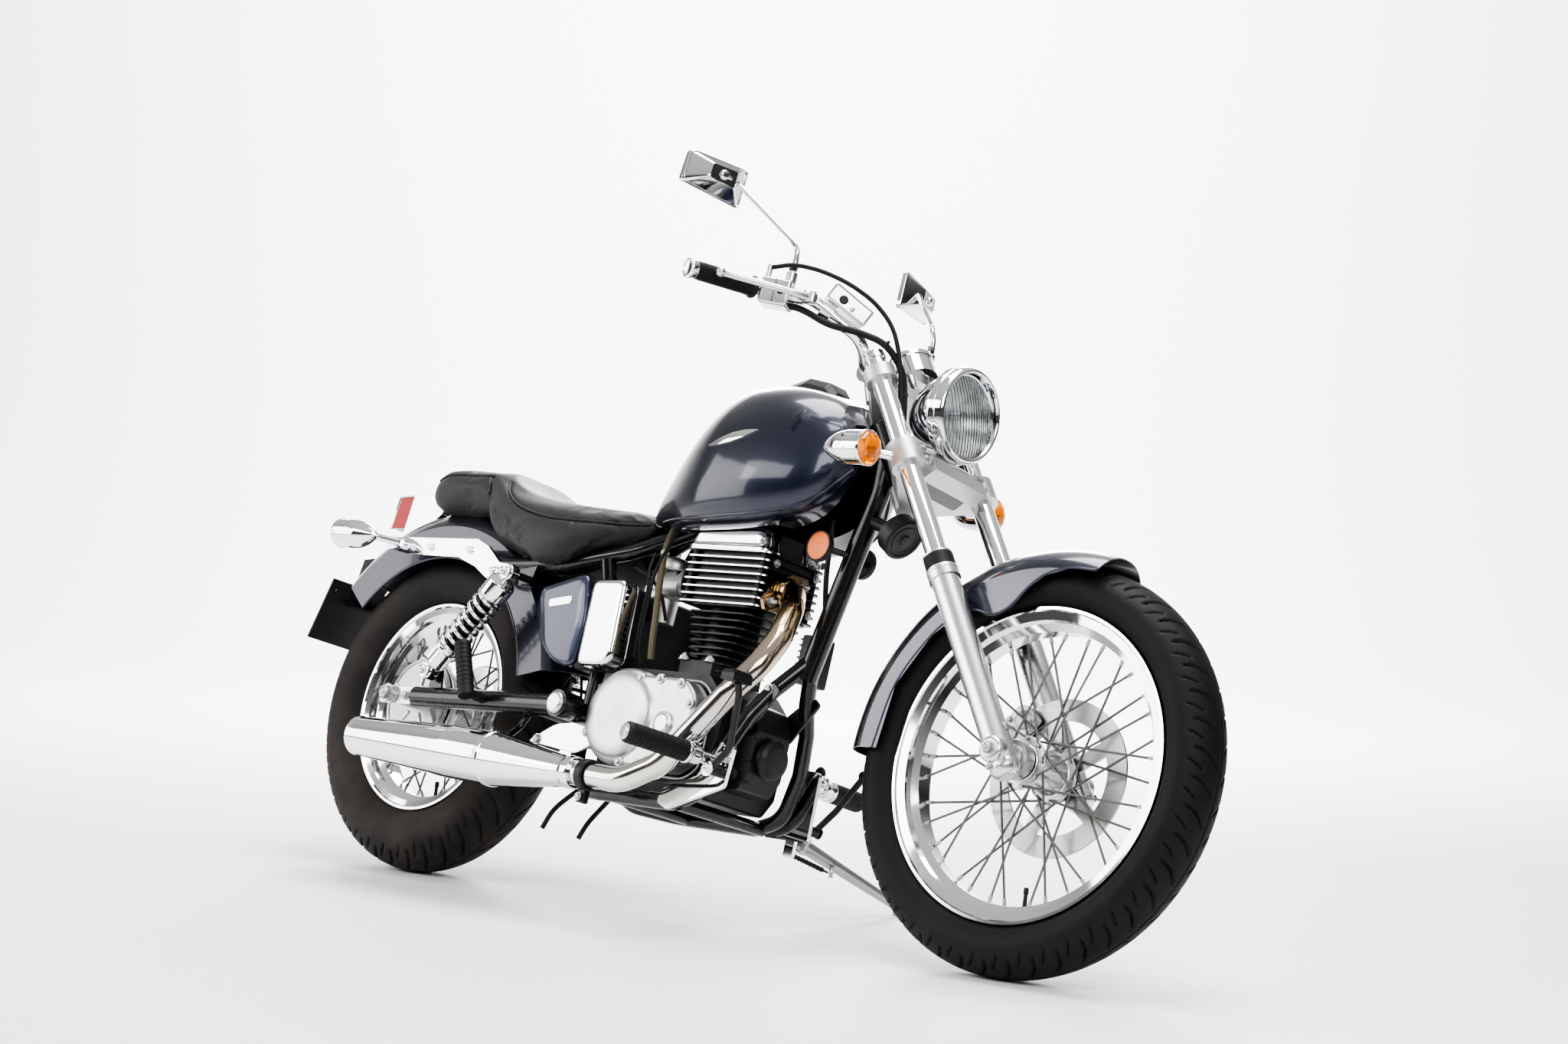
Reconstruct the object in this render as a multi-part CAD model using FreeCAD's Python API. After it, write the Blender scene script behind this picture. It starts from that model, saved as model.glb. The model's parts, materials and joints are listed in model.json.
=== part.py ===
import FreeCAD, Part
import math
import os

# A single cylinder cruiser motorcycle, leaning on its side stand.
# It is drawn upright first: X forward from the rear axle, Y to the left, Z up from the ground.
# Millimetres and degrees throughout.

V = FreeCAD.Vector

# Stance
wheelbase = 1480.0
rake = 35.0
trail = 147.0
lean = 16.0
steer_at_rest = 3.09

# Fits
seat_gap = 0.3

# Front wheel
front_radius = 340.0
front_tyre_half = 55.0
front_crown = 58.0
front_flange = 261.0
front_bead = 243.0
front_rim_half = 38.0
# Rear wheel
rear_radius = 316.5
rear_tyre_half = 70.0
rear_crown = 75.0
rear_flange = 205.0
rear_bead = 190.0
rear_rim_half = 42.0
tyre_wall = 8.0
rim_wall = 3.5
spoke_radius = 2.0
spoke_count = 36

# Hubs, disc and belt
front_hub_half = 44.0
front_hub_radius = 45.0
disc_radius = 132.5
disc_thickness = 4.5
disc_side = 57.0
rear_hub_half = 48.0
drum_radius = 88.0
pulley_radius = 104.0
pulley_side = 89.0
belt_width = 26.0
belt_thickness = 6.0
axle_radius = 8.0

# Front fork
leg_spread = 106.0
tube_radius = 18.5
slider_radius = 24.0
slider_top = 716.0
tube_top = 1158.0
lower_clamp_low = 930.0
lower_clamp_high = 975.0
upper_clamp_low = 1112.0
upper_clamp_high = 1138.0
stem_radius = 13.0
head_tube_radius = 27.0
head_tube_bore = 19.0
head_tube_gap = 3.0

# Frame
main_tube = 19.0
rail_tube = 14.0
rail_spread = 108.0
rail_height = 190.0
upright_x = 466.0
upright_spread = 56.0
pivot_x = 505.0
pivot_z = 331.0
pivot_radius = 15.0

# Swingarm and shock absorbers
arm_radius = 20.0
arm_front_side = 148.0
arm_rear_side = 135.0
shock_side = 152.0
shock_top_x = 272.0
shock_top_z = 567.0
shock_low_x = 110.0
shock_low_z = 366.0
shock_radius = 27.0
front_pulley_x = 575.0
front_pulley_z = 330.0
front_pulley_radius = 38.0

# Engine
cylinder_x = 748.0
bore_x = 728.0
crank_z = 326.0
case_half = 88.0
case_top = 424.0
barrel_top = 556.0
head_top = 656.0
cover_top = 702.0
barrel_low_half = 60.0
barrel_high_half = 72.0
head_half = 78.0
head_reach = 104.0
cap_depth = 48.0
intake_face = 592.0
fin_thickness = 3.0
barrel_fin_count = 10
head_fin_count = 7

# Exhaust
pipe_radius = 22.0
exhaust_side = -192.0
port_face = 856.0
port_side = -23.0
port_height = 592.0
muffler_front = 625.0
muffler_full = 408.0
muffler_end = 2.0
muffler_radius = 49.0
muffler_tail_radius = 37.0

# Side stand, its foot measured from the pivot on the ground
stand_pivot = V(866, 150, 180)
stand_axis = V(0.02, 0.330, 0.934)
stand_foot_ahead = 74.0
stand_foot_out = 392.0
stand_pin_radius = 6.0
stand_boss_radius = 15.0
stand_boss_half = 14.0
stand_lug = V(57, 19, -49)

# Number plate holder
plate_top = V(-334, 0, 544)
plate_down = V(-0.293, 0, -0.956)
plate_outward = V(-0.956, 0, 0.293)
plate_height = 130.0
plate_half_width = 92.0
plate_thickness = 4.0
plate_hole_radius = 3.3
plate_hole_side = 75.0
plate_hole_drop = 22.0

# Tank and seats
tank_tunnel_half = 40.0
fender_half = 85.0
rear_fender_radius = 399.0
front_fender_radius = 366.0
front_fender_half = 69.0
fender_wall = 2.5
skirt_edge = [(60, 330), (77, 326), (86, 319), (94, 305), (100, 286), (105, 266), (109, 256), (114, 254),
              (118, 262), (122, 278), (128, 288), (140, 291), (160, 291), (190, 291), (230, 200), (320, 100)]

# Bars
lamp_glass_radius = 73.6
lamp_bulge = 12.0
bar_middle = V(960, 0, 993)
bar_clear = 56.0
bar_radius = 11.0
grip_radius = 16.5

cable_radius = 6.0
hose_radius = 4.0

sin_rake = math.sin(math.radians(rake))
cos_rake = math.cos(math.radians(rake))
steer_foot = V(wheelbase + trail, 0, 0)
steer_direction = V(-sin_rake, 0, cos_rake)
front_axle = V(wheelbase, 0, front_radius)
rear_axle = V(0, 0, rear_radius)
fork_offset = front_radius * sin_rake - trail * cos_rake
fork_foot = front_radius * cos_rake + trail * sin_rake


def fork_point(along, ahead, side):
    """A point of the straight fork: along the steering axis, ahead of it and to the left."""
    return V(steer_foot.x - along * sin_rake + ahead * cos_rake, side,
             along * cos_rake + ahead * sin_rake)


bundle_path = [V(915, -188, 1052), V(952, -170, 1036), V(1000, -138, 1034), V(1039, -108, 1025),
               V(1059, -70, 988), V(1063, -54, 940), fork_point(1050, 55, -50), fork_point(1012, 50, -52),
               fork_point(lower_clamp_high + seat_gap, 50, -48)]
hose_path = [V(843.3, -225, 1122), V(884, -217, 1130), V(925, -194, 1128), V(965, -158, 1118),
             V(1003, -122, 1096), V(1034, -98, 1062), V(1054, -88, 1018), V(1066, -80, 972),
             fork_point(1060, 73, -76), fork_point(1018, 70, -75),
             fork_point(lower_clamp_high + seat_gap, 69, -72)]


def rod(start, end, radius):
    line = end - start
    return Part.makeCylinder(radius, line.Length, start, line)


def cone(start, end, first, last):
    line = end - start
    return Part.makeCone(first, last, line.Length, start, line)


def tube(start, end, outer, inner):
    return rod(start, end, outer).cut(rod(start, end, inner))


def turned_box(centre, along, upward, length, width, height, rounding):
    """A box whose length lies along one direction and whose height lies as near as can be to another."""
    box = Part.makeBox(length, width, height, V(-length / 2, -width / 2, -height / 2))
    if rounding > 0:
        box = box.makeFillet(rounding, box.Edges)
    x = V(along)
    x.normalize()
    y = V(upward).cross(x)
    y.normalize()
    z = x.cross(y)
    turn = FreeCAD.Matrix(x.x, y.x, z.x, centre.x, x.y, y.y, z.y, centre.y, x.z, y.z, z.z, centre.z, 0, 0, 0, 1)
    box.Placement = FreeCAD.Placement(turn)
    return box


def ball(centre, radius):
    return Part.makeSphere(radius, centre)


def fuse(shapes):
    joined = shapes[0].multiFuse(shapes[1:])
    return joined.removeSplitter()


def group(shapes):
    """Solids that do not touch, kept side by side."""
    solids = []
    for shape in shapes:
        solids.extend(shape.Solids)
    return Part.Compound(solids)


def mirrored(shape):
    return shape.mirror(V(0, 0, 0), V(0, 1, 0))


def both(shape):
    return group([shape, mirrored(shape)])


def rounded_path(points, bend):
    """Straight runs joined by tangent arcs."""
    edges = []
    start = points[0]
    for index in range(1, len(points) - 1):
        corner = points[index]
        back = points[index - 1] - corner
        ahead = points[index + 1] - corner
        room = 0.45 * min(back.Length, ahead.Length)
        back.normalize()
        ahead.normalize()
        half_turn = (math.pi - back.getAngle(ahead)) / 2
        reach = min(bend * math.tan(half_turn), room)
        radius = reach / math.tan(half_turn)
        inward = back + ahead
        inward.normalize()
        middle = corner + inward * (radius / math.cos(half_turn) - radius)
        first = corner + back * reach
        last = corner + ahead * reach
        if (first - start).Length > 0.01:
            edges.append(Part.LineSegment(start, first).toShape())
        edges.append(Part.Arc(first, middle, last).toShape())
        start = last
    edges.append(Part.LineSegment(start, points[-1]).toShape())
    return Part.Wire(edges)


def arc_radii(points):
    """The radii of a cable's arcs when each is as large as its two runs allow."""
    radii = []
    for before, corner, after in zip(points, points[1:], points[2:]):
        back = before - corner
        ahead = after - corner
        half_turn = (math.pi - back.getAngle(ahead)) / 2
        radii.append(round(0.45 * min(back.Length, ahead.Length) / math.tan(half_turn)))
    return radii


def pipe(points, radius, bend):
    path = rounded_path(points, bend)
    first = points[1] - points[0]
    ring = Part.Wire(Part.makeCircle(radius, points[0], first))
    swept = path.makePipeShell([ring], True, False)
    if swept.ShapeType != "Solid":
        swept = Part.Solid(swept)
    return swept


def turned(profile, centre, direction):
    """A profile of (radius, height) points turned about a line; three numbers pairs make an arc."""
    edges = []
    corners = [p if len(p) == 2 else p[2:] for p in profile]
    for index, item in enumerate(profile):
        before = corners[index - 1]
        start = V(before[0], 0, before[1])
        end = V(corners[index][0], 0, corners[index][1])
        if (end - start).Length < 1e-6:
            continue
        if len(item) == 4:
            edges.append(Part.Arc(start, V(item[0], 0, item[1]), end).toShape())
        else:
            edges.append(Part.LineSegment(start, end).toShape())
    face = Part.Face(Part.Wire(edges))
    solid = face.revolve(V(0, 0, 0), V(0, 0, 1), 360)
    solid.Placement = FreeCAD.Placement(centre, FreeCAD.Rotation(V(0, 0, 1), direction))
    return solid


def side_plate(points, side, thickness, rounding):
    """A flat plate whose outline lies in X and Z, from the side value outwards by the thickness."""
    wire = Part.makePolygon([V(x, side, z) for x, z in points + points[:1]])
    plate = Part.Face(wire).extrude(V(0, thickness, 0))
    if rounding > 0:
        upright = [e for e in plate.Edges if abs(e.Vertexes[0].Y - e.Vertexes[-1].Y) > 0.9 * abs(thickness)]
        plate = plate.makeFillet(rounding, upright)
    return plate


def flat_plate(points, height, thickness, rounding):
    """A plate whose outline lies in X and Y, from the height value upwards by the thickness."""
    wire = Part.makePolygon([V(x, y, height) for x, y in points + points[:1]])
    plate = Part.Face(wire).extrude(V(0, 0, thickness))
    if rounding > 0:
        upright = [e for e in plate.Edges if abs(e.Vertexes[0].Z - e.Vertexes[-1].Z) > 0.9 * abs(thickness)]
        plate = plate.makeFillet(rounding, upright)
    return plate


def closed_curve(points):
    curve = Part.BSplineCurve()
    curve.interpolate(Points=points, PeriodicFlag=True)
    return Part.Wire(curve.toShape())


def cushion_section(x, half, top, bottom, shoulder, dish):
    """A section of a seat: half width, top and bottom heights, and how far the middle dips."""
    side = bottom + (top - bottom) * shoulder
    right = [V(x, half * 0.55, top - dish * 0.2), V(x, half * 0.88, top - (top - side) * 0.28),
             V(x, half, side), V(x, half * 0.93, bottom + (side - bottom) * 0.25),
             V(x, half * 0.55, bottom)]
    left = [V(p.x, -p.y, p.z) for p in reversed(right)]
    return closed_curve([V(x, 0, top - dish)] + right + [V(x, 0, bottom)] + left)


def loft(wires):
    return Part.makeLoft(wires, True, False)


def wheel_turned(profile, axle):
    """A profile of (radius, side) points turned about a wheel's axle."""
    return turned(profile, axle, V(0, 1, 0))


def tyre(axle, radius, half, crown, flange, bead, rim_half):
    """A hollow casing, open towards the rim."""
    crown_centre = radius - crown
    edge = crown_centre + math.sqrt(crown ** 2 - (half - 6) ** 2)
    widest = bead + 0.5 * (edge - bead) + 8
    crown_mid = (crown_centre + crown * math.cos(math.radians(26)), crown * math.sin(math.radians(26)))
    outside = [(radius, 0), (crown_mid[0], crown_mid[1], edge, half - 6),
               (widest + 8, half, flange + 3, rim_half),
               (flange - 1, rim_half - 3.4), (bead + 3, rim_half - 5.9)]
    inside = [(bead + 3, rim_half - 17), (flange, rim_half - 11),
              (widest + 6, half - tyre_wall, edge - tyre_wall, half - 6 - tyre_wall),
              ((crown_mid[0] - tyre_wall), crown_mid[1] * 0.8, radius - tyre_wall, 0)]
    # The right half is the left half turned over, joined at the crown
    left = wheel_turned(outside + inside, axle)
    return fuse([left, mirrored_about(left, axle)])


def mirrored_about(shape, axle):
    return shape.mirror(axle, V(0, 1, 0))


def rim(axle, flange, bead, half):
    well = bead - 13
    outside = [(well, 0), (well, half * 0.34), (bead, half * 0.48), (bead + 1, half - 6),
               (flange - 2, half - 3), (flange - 2, half), (flange, half + 1.5)]
    inside = [(flange, half + 3.5), (flange - 5, half + 3.5), (flange - 7, half + 0.5),
              (bead - 3, half - 3), (bead - rim_wall, half * 0.5), (well - rim_wall, half * 0.38),
              (well - rim_wall, 0)]
    left = wheel_turned(outside + inside, axle)
    return fuse([left, mirrored_about(left, axle)])


def spokes(axle, hub_radius, hub_side, rim_radius, count, cross):
    """Crossed wire spokes; neighbours leave opposite faces of their hub flange."""
    made = []
    step = 360.0 / count
    for index in range(count):
        side = 1 if index % 2 == 0 else -1
        lead = 1 if (index // 2) % 2 == 0 else -1
        face = 1 if lead > 0 else -1
        rim_angle = math.radians(index * step)
        hub_angle = rim_angle + lead * math.radians(cross)
        hub_y = side * hub_side + face * 4.2
        start = axle + V(hub_radius * math.cos(hub_angle), hub_y, hub_radius * math.sin(hub_angle))
        end = axle + V(rim_radius * math.cos(rim_angle), side * 5.0, rim_radius * math.sin(rim_angle))
        made.append(rod(start, end, spoke_radius))
    return made


def front_wheel():
    axle = front_axle
    well = front_bead - 13 - rim_wall
    barrel = [(axle_radius + 4, -front_hub_half - 4), (front_hub_radius, -front_hub_half - 4),
              (front_hub_radius, -front_hub_half + 2), (30, -front_hub_half + 8), (27, 0),
              (30, front_hub_half - 8), (front_hub_radius, front_hub_half - 2),
              (front_hub_radius, front_hub_half + 4), (34, front_hub_half + 4),
              (34, disc_side - disc_thickness / 2), (axle_radius + 4, disc_side - disc_thickness / 2)]
    hub = wheel_turned(barrel, axle)
    wires = spokes(axle, front_hub_radius - 5, front_hub_half + 1, well - 1.2, spoke_count, 62)
    disc = disc_with_arms(axle)
    return {
        "front_tyre": tyre(axle, front_radius, front_tyre_half, front_crown, front_flange,
                           front_bead, front_rim_half),
        "front_rim": rim(axle, front_flange, front_bead, front_rim_half),
        "front_hub": fuse([hub] + wires),
        "brake_disc": disc,
    }


def disc_with_arms(axle):
    low = disc_side - disc_thickness / 2
    band_inner = disc_radius - 36
    band = wheel_turned([(band_inner, low), (disc_radius, low), (disc_radius, low + disc_thickness),
                         (band_inner, low + disc_thickness)], axle)
    centre = wheel_turned([(axle_radius + 6, low), (42, low), (42, low + disc_thickness),
                           (axle_radius + 6, low + disc_thickness)], axle)
    arms = []
    for index in range(5):
        angle = 36 + 72 * index
        arm = Part.makeBox(band_inner + 4 - 36, disc_thickness, 26, V(36, low, -13))
        arm.rotate(V(0, 0, 0), V(0, -1, 0), angle)
        arm.translate(axle)
        arms.append(arm)
    return fuse([band, centre] + arms)


def rear_wheel():
    axle = rear_axle
    well = rear_bead - 13 - rim_wall
    left_face = pulley_side - belt_width / 2 - 4
    barrel = [(axle_radius + 4, -rear_hub_half - 14), (drum_radius, -rear_hub_half - 14),
              (drum_radius, -rear_hub_half + 8), (42, -rear_hub_half + 22), (34, 0),
              (42, rear_hub_half - 14), (62, rear_hub_half - 8), (62, rear_hub_half),
              (40, rear_hub_half + 4), (40, left_face), (axle_radius + 4, left_face)]
    hub = wheel_turned(barrel, axle)
    left = left_face
    right = pulley_side + belt_width / 2 + 3
    web = wheel_turned([(axle_radius + 4, left), (pulley_radius + 4, left), (pulley_radius + 4, left + 3),
                        (pulley_radius - seat_gap, left + 3), (pulley_radius - seat_gap, right - 2),
                        (pulley_radius - 14, right - 2), (pulley_radius - 14, left + 8),
                        (36, left + 8), (36, right - 6), (axle_radius + 4, right - 6)], axle)
    holes = []
    for index in range(5):
        angle = math.radians(72 * index)
        centre = axle + V(66 * math.cos(angle), left - 1, 66 * math.sin(angle))
        holes.append(Part.makeCylinder(15, 20, centre, V(0, 1, 0)))
    web = web.cut(Part.Compound(holes))
    wires = []
    step = 360.0 / spoke_count
    for index in range(spoke_count):
        side = 1 if index % 2 == 0 else -1
        lead = 1 if (index // 2) % 2 == 0 else -1
        reach = 58.0 if side > 0 else drum_radius - 4
        swing = 52.0 if side > 0 else 40.0
        rim_angle = math.radians(index * step)
        hub_angle = rim_angle + lead * math.radians(swing)
        hub_y = rear_hub_half - 4 + lead * 4.2 if side > 0 else -rear_hub_half + 3 + lead * 4.2
        start = axle + V(reach * math.cos(hub_angle), hub_y, reach * math.sin(hub_angle))
        end = axle + V((well - 1.2) * math.cos(rim_angle), side * 5.0,
                       (well - 1.2) * math.sin(rim_angle))
        wires.append(rod(start, end, spoke_radius))
    return {
        "rear_tyre": tyre(axle, rear_radius, rear_tyre_half, rear_crown, rear_flange,
                          rear_bead, rear_rim_half),
        "rear_rim": rim(axle, rear_flange, rear_bead, rear_rim_half),
        "rear_hub": fuse([hub] + wires),
        "rear_pulley": web,
    }


def frame_solids(extra):
    """The welded frame; extra thickens every tube, to cut clearances in what sits on it."""
    main = main_tube + extra
    rail = rail_tube + extra
    head_low = fork_point(lower_clamp_high + head_tube_gap, 0, 0)
    head_high = fork_point(upper_clamp_low - head_tube_gap, 0, 0)
    neck = fork_point(1060, -20, 0)
    down_start = fork_point(1050, -22, 0)
    pieces = [rod(head_low, head_high, head_tube_radius + extra)]
    pieces.append(pipe([neck, V(900, 0, 838), V(640, 0, 735), V(470, 0, 640)], main, 120))
    pieces.append(pipe([down_start, V(1010, 0, 790), V(941, 0, 474), V(935, 0, 446)], main, 160))
    for side in (1, -1):
        y = side * rail_spread
        inner = side * upright_spread
        pieces.append(pipe([V(938, side * 4, 478), V(905, side * 46, 412), V(893, side * 76, 362),
                            V(877, side * 98, 292), V(850, y, rail_height + 22), V(790, y, rail_height),
                            V(590, y, rail_height), V(500, inner, rail_height + 4), V(upright_x, inner, 250),
                            V(upright_x, inner, 520), V(452, side * 82, 622)], rail, 60))
        pieces.append(pipe([V(600, side * 10, 705), V(500, side * 70, 640), V(360, side * 96, 604),
                            V(210, side * 108, 592), V(60, side * 108, 612)], rail, 120))
        plate = side_plate([(upright_x - 8, 272), (pivot_x + 32, 272),
                            (pivot_x + 32, 392), (upright_x - 8, 392)],
                           side * (upright_spread - 5 - extra), side * (10 + 2 * extra), 0)
        pieces.append(plate)
        gusset = side_plate([(shock_top_x - 26, 600), (shock_top_x + 26, 600),
                             (shock_top_x + 16, shock_top_z - 14), (shock_top_x - 16, shock_top_z - 14)],
                            side * (rail_spread - 6), side * 12, 0)
        pieces.append(gusset)
        stud_end = shock_side + 20 + extra
        pieces.append(rod(V(shock_top_x, side * (rail_spread - 4), shock_top_z),
                          V(shock_top_x, side * stud_end, shock_top_z), 7 + extra))
    for x, z, spread in ((806, rail_height, rail_spread), (620, rail_height, rail_spread),
                         (upright_x, 440, upright_spread), (300, 598, 100)):
        pieces.append(rod(V(x, -spread, z), V(x, spread, z), rail - 2))
    joined = fuse(pieces)
    pivot = rod(V(pivot_x, -200, pivot_z), V(pivot_x, 200, pivot_z), pivot_radius + seat_gap - extra)
    joined = joined.cut(pivot)
    bore = rod(fork_point(900, 0, 0), fork_point(1200, 0, 0), head_tube_bore - extra)
    return joined.cut(bore)


def engine():
    outline = [(545, 300), (556, 232), (610, 208), (816, 208), (838, 240), (842, 352), (822, 396),
               (790, case_top), (600, case_top), (556, 395)]
    cases = side_plate(outline, -case_half, 2 * case_half, 12)
    nose = [(800, 226), (872, 238), (888, 268), (890, 345), (868, 388), (800, 404)]
    cases = fuse([cases, side_plate(nose, -42, 84, 10)])
    pocket = Part.makeBox(110, 30, 170, V(540, pulley_side - belt_width / 2 - 8, crank_z - 80))
    cases = cases.cut(pocket)
    generator = Part.makeCylinder(74, 34, V(712, case_half + seat_gap, crank_z), V(0, 1, 0))
    generator = generator.makeFillet(12, [generator.Edges[2]])
    wall_start = V(front_pulley_x, pulley_side - belt_width / 2 - 7.7, front_pulley_z)
    wall = Part.makeCylinder(56, 52, wall_start, V(0, 1, 0))
    wall = wall.cut(Part.makeCylinder(51, 46, V(front_pulley_x, 0, front_pulley_z), V(0, 1, 0)).translated(
        V(0, pulley_side - belt_width / 2 - 8, 0)))
    wall = wall.cut(Part.makeBox(140, 70, 200, V(front_pulley_x - 140, 60, front_pulley_z - 100)))
    lid = side_plate([(534, 388), (600, 386), (600, 272), (534, 270)], pulley_side + belt_width / 2 + 8, 6, 10)
    belt_cover = fuse([wall, lid])
    clutch = Part.makeCylinder(88, 54, V(632, -case_half - seat_gap, crank_z + 2), V(0, -1, 0))
    nose = side_plate([(646, 406), (780, 406), (812, 376), (812, 262), (780, 240), (640, 240)],
                      -case_half - seat_gap, -44, 18)
    clutch = fuse([clutch, nose])
    shaft = rod(V(front_pulley_x, 60, front_pulley_z), V(front_pulley_x, pulley_side, front_pulley_z), 12)
    drive = rod(V(front_pulley_x, pulley_side - belt_width / 2, front_pulley_z),
                V(front_pulley_x, pulley_side + belt_width / 2, front_pulley_z), front_pulley_radius)
    cases = fuse([cases, shaft, drive])
    parts = {"engine_cases": cases, "side_casings": group([clutch, generator.cut(belt_cover), belt_cover])}

    def fin(rear, front, half, height, corner):
        slab = Part.makeBox(front - rear, 2 * half, fin_thickness, V(rear, -half, height))
        upright = [e for e in slab.Edges if abs(e.Vertexes[0].Z - e.Vertexes[-1].Z) > 1]
        return slab.makeFillet(corner, upright)

    low = case_top + seat_gap
    core = Part.makeCylinder(50, barrel_top - low, V(bore_x, 0, low))
    fins = [core]
    pitch = (barrel_top - low - fin_thickness) / barrel_fin_count
    for index in range(barrel_fin_count + 1):
        share = index / barrel_fin_count
        half = barrel_low_half + (barrel_high_half - barrel_low_half) * share
        fins.append(fin(688 - 18 * share, 766 + 76 * share, half, low + pitch * index, 22))
    foot = Part.makeBox(82, 2 * barrel_low_half + 8, 26, V(682, -barrel_low_half - 4, low))
    fins.append(foot)
    parts["cylinder_barrel"] = fuse(fins)

    low = barrel_top + seat_gap
    core = Part.makeBox(2 * head_reach - 36, 124, head_top - low, V(cylinder_x - head_reach + 18, -62, low))
    fins = [core]
    pitch = (head_top - low - fin_thickness) / head_fin_count
    for index in range(head_fin_count + 1):
        fins.append(fin(cylinder_x - head_reach, cylinder_x + head_reach, head_half, low + pitch * index, 16))
    port = rod(V(cylinder_x + 60, port_side, port_height), V(port_face, port_side, port_height), 28)
    intake = rod(V(cylinder_x - 80, -10, 600), V(intake_face, -18, 596), 24)
    spine = Part.makeBox(2 * head_reach - 48, 2 * (head_half - cap_depth), cover_top - head_top - 4,
                         V(cylinder_x - head_reach + 24, cap_depth - head_half, head_top - 1))
    parts["cylinder_head"] = fuse(fins + [port, intake, spine])
    low = head_top + seat_gap
    rear = cylinder_x - head_reach + 2
    front = cylinder_x + head_reach - 10
    cap = side_plate([(rear, low), (rear + 16, cover_top), (front - 12, cover_top), (front, low)],
                     cap_depth - head_half - seat_gap, -cap_depth, 0)
    outer = [e for e in cap.Edges if max(v.Y for v in e.Vertexes) < 1 - head_half]
    cap = cap.makeFillet(12, [e for e in outer if max(v.Z for v in e.Vertexes) > cover_top - 1])
    lip = Part.makeBox(front - rear + 4, cap_depth + 1, 4, V(rear - 2, -head_half - 2, low))
    upright = [e for e in lip.Edges if abs(e.Vertexes[0].Z - e.Vertexes[-1].Z) > 1
               and e.Vertexes[0].Y < -head_half]
    cap = fuse([cap, lip.makeFillet(14, upright)])
    parts["head_cover"] = both(cap)
    return parts


def intake_and_boxes():
    body = rod(V(intake_face - 0.4, -18, 596), V(intake_face - 44, -28, 590), 30)
    bowl = Part.makeCylinder(24, 60, V(intake_face - 24, -26, 520))
    boot = rod(V(cylinder_x - 135, -28, 590), V(545.5, -34, 584), 26)
    carburettor = fuse([body, bowl, boot])
    inner = Part.makeBox(130, 150, 160, V(415, -75, 412))
    inner = inner.makeFillet(14, inner.Edges)
    chrome = side_plate([(498, 568), (582, 572), (590, 426), (566, 410), (501, 408)], -104, -44, 9)
    neck = Part.makeBox(40, 40, 60, V(536, -108, 470))
    parts = {"carburettor": carburettor, "air_box": fuse([inner, neck, chrome])}
    panel = side_plate([(337, 547), (463, 584), (485, 500), (478, 404), (424, 410), (378, 444)], -122, -10, 9)
    other = side_plate([(337, 547), (463, 584), (588, 572), (618, 424), (478, 404), (424, 410), (378, 444)],
                       122, 10, 9)
    right_studs = [rod(V(x, -123, z), V(x, -75 - seat_gap, z), 7) for x, z in ((436, 455), (448, 540))]
    left_studs = [rod(V(x, 123, z), V(x, 75 + seat_gap, z), 7) for x, z in ((436, 455), (520, 530))]
    parts["side_covers"] = group([fuse([panel] + right_studs), fuse([other] + left_studs)])
    return parts


def exhaust():
    start = V(port_face + seat_gap, port_side, port_height)
    front = V(muffler_front, exhaust_side, 208)
    end = V(muffler_end, exhaust_side, 222)
    ahead = front - end
    length = ahead.Length
    ahead.normalize()
    points = [start, V(882, port_side, port_height), V(926, -64, 556), V(955, -108, 494), V(956, -140, 442),
              V(928, -162, 392), V(815, -178, 246), front + ahead * 115, front + ahead * seat_gap]
    header = pipe(points, pipe_radius, 90)
    flange = []
    for u, n in ((58, 9), (24, 29), (-24, 29), (-58, 9), (-58, -9), (-24, -29), (24, -29), (58, -9)):
        flange.append(start + V(0, 0.842 * u - 0.539 * n, 0.539 * u + 0.842 * n))
    plate = Part.Face(Part.makePolygon(flange + flange[:1])).extrude(V(8, 0, 0))
    header = fuse([header, plate])
    cone_length = muffler_front - muffler_full
    profile = [(0, 0), (pipe_radius + 4, 0), (pipe_radius + 5, 20), (muffler_radius, cone_length),
               (muffler_radius, cone_length + 120), (muffler_tail_radius, length),
               (muffler_tail_radius - 3, length), (muffler_tail_radius - 4, length - 50), (0, length - 50)]
    muffler = turned(profile, front, end - front)
    return {"exhaust_pipe": header, "muffler": muffler}


def tank_section(x, top, bottom, half):
    side = bottom + (top - bottom) * 0.40
    right = [V(x, half * 0.45, top - (top - side) * 0.08), V(x, half * 0.82, top - (top - side) * 0.42),
             V(x, half, side), V(x, half * 0.97, bottom + (side - bottom) * 0.35),
             V(x, half * 0.80, bottom), V(x, half * 0.40, bottom)]
    left = [V(p.x, -p.y, p.z) for p in reversed(right)]
    return closed_curve([V(x, 0, top)] + right + [V(x, 0, bottom)] + left)


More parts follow.
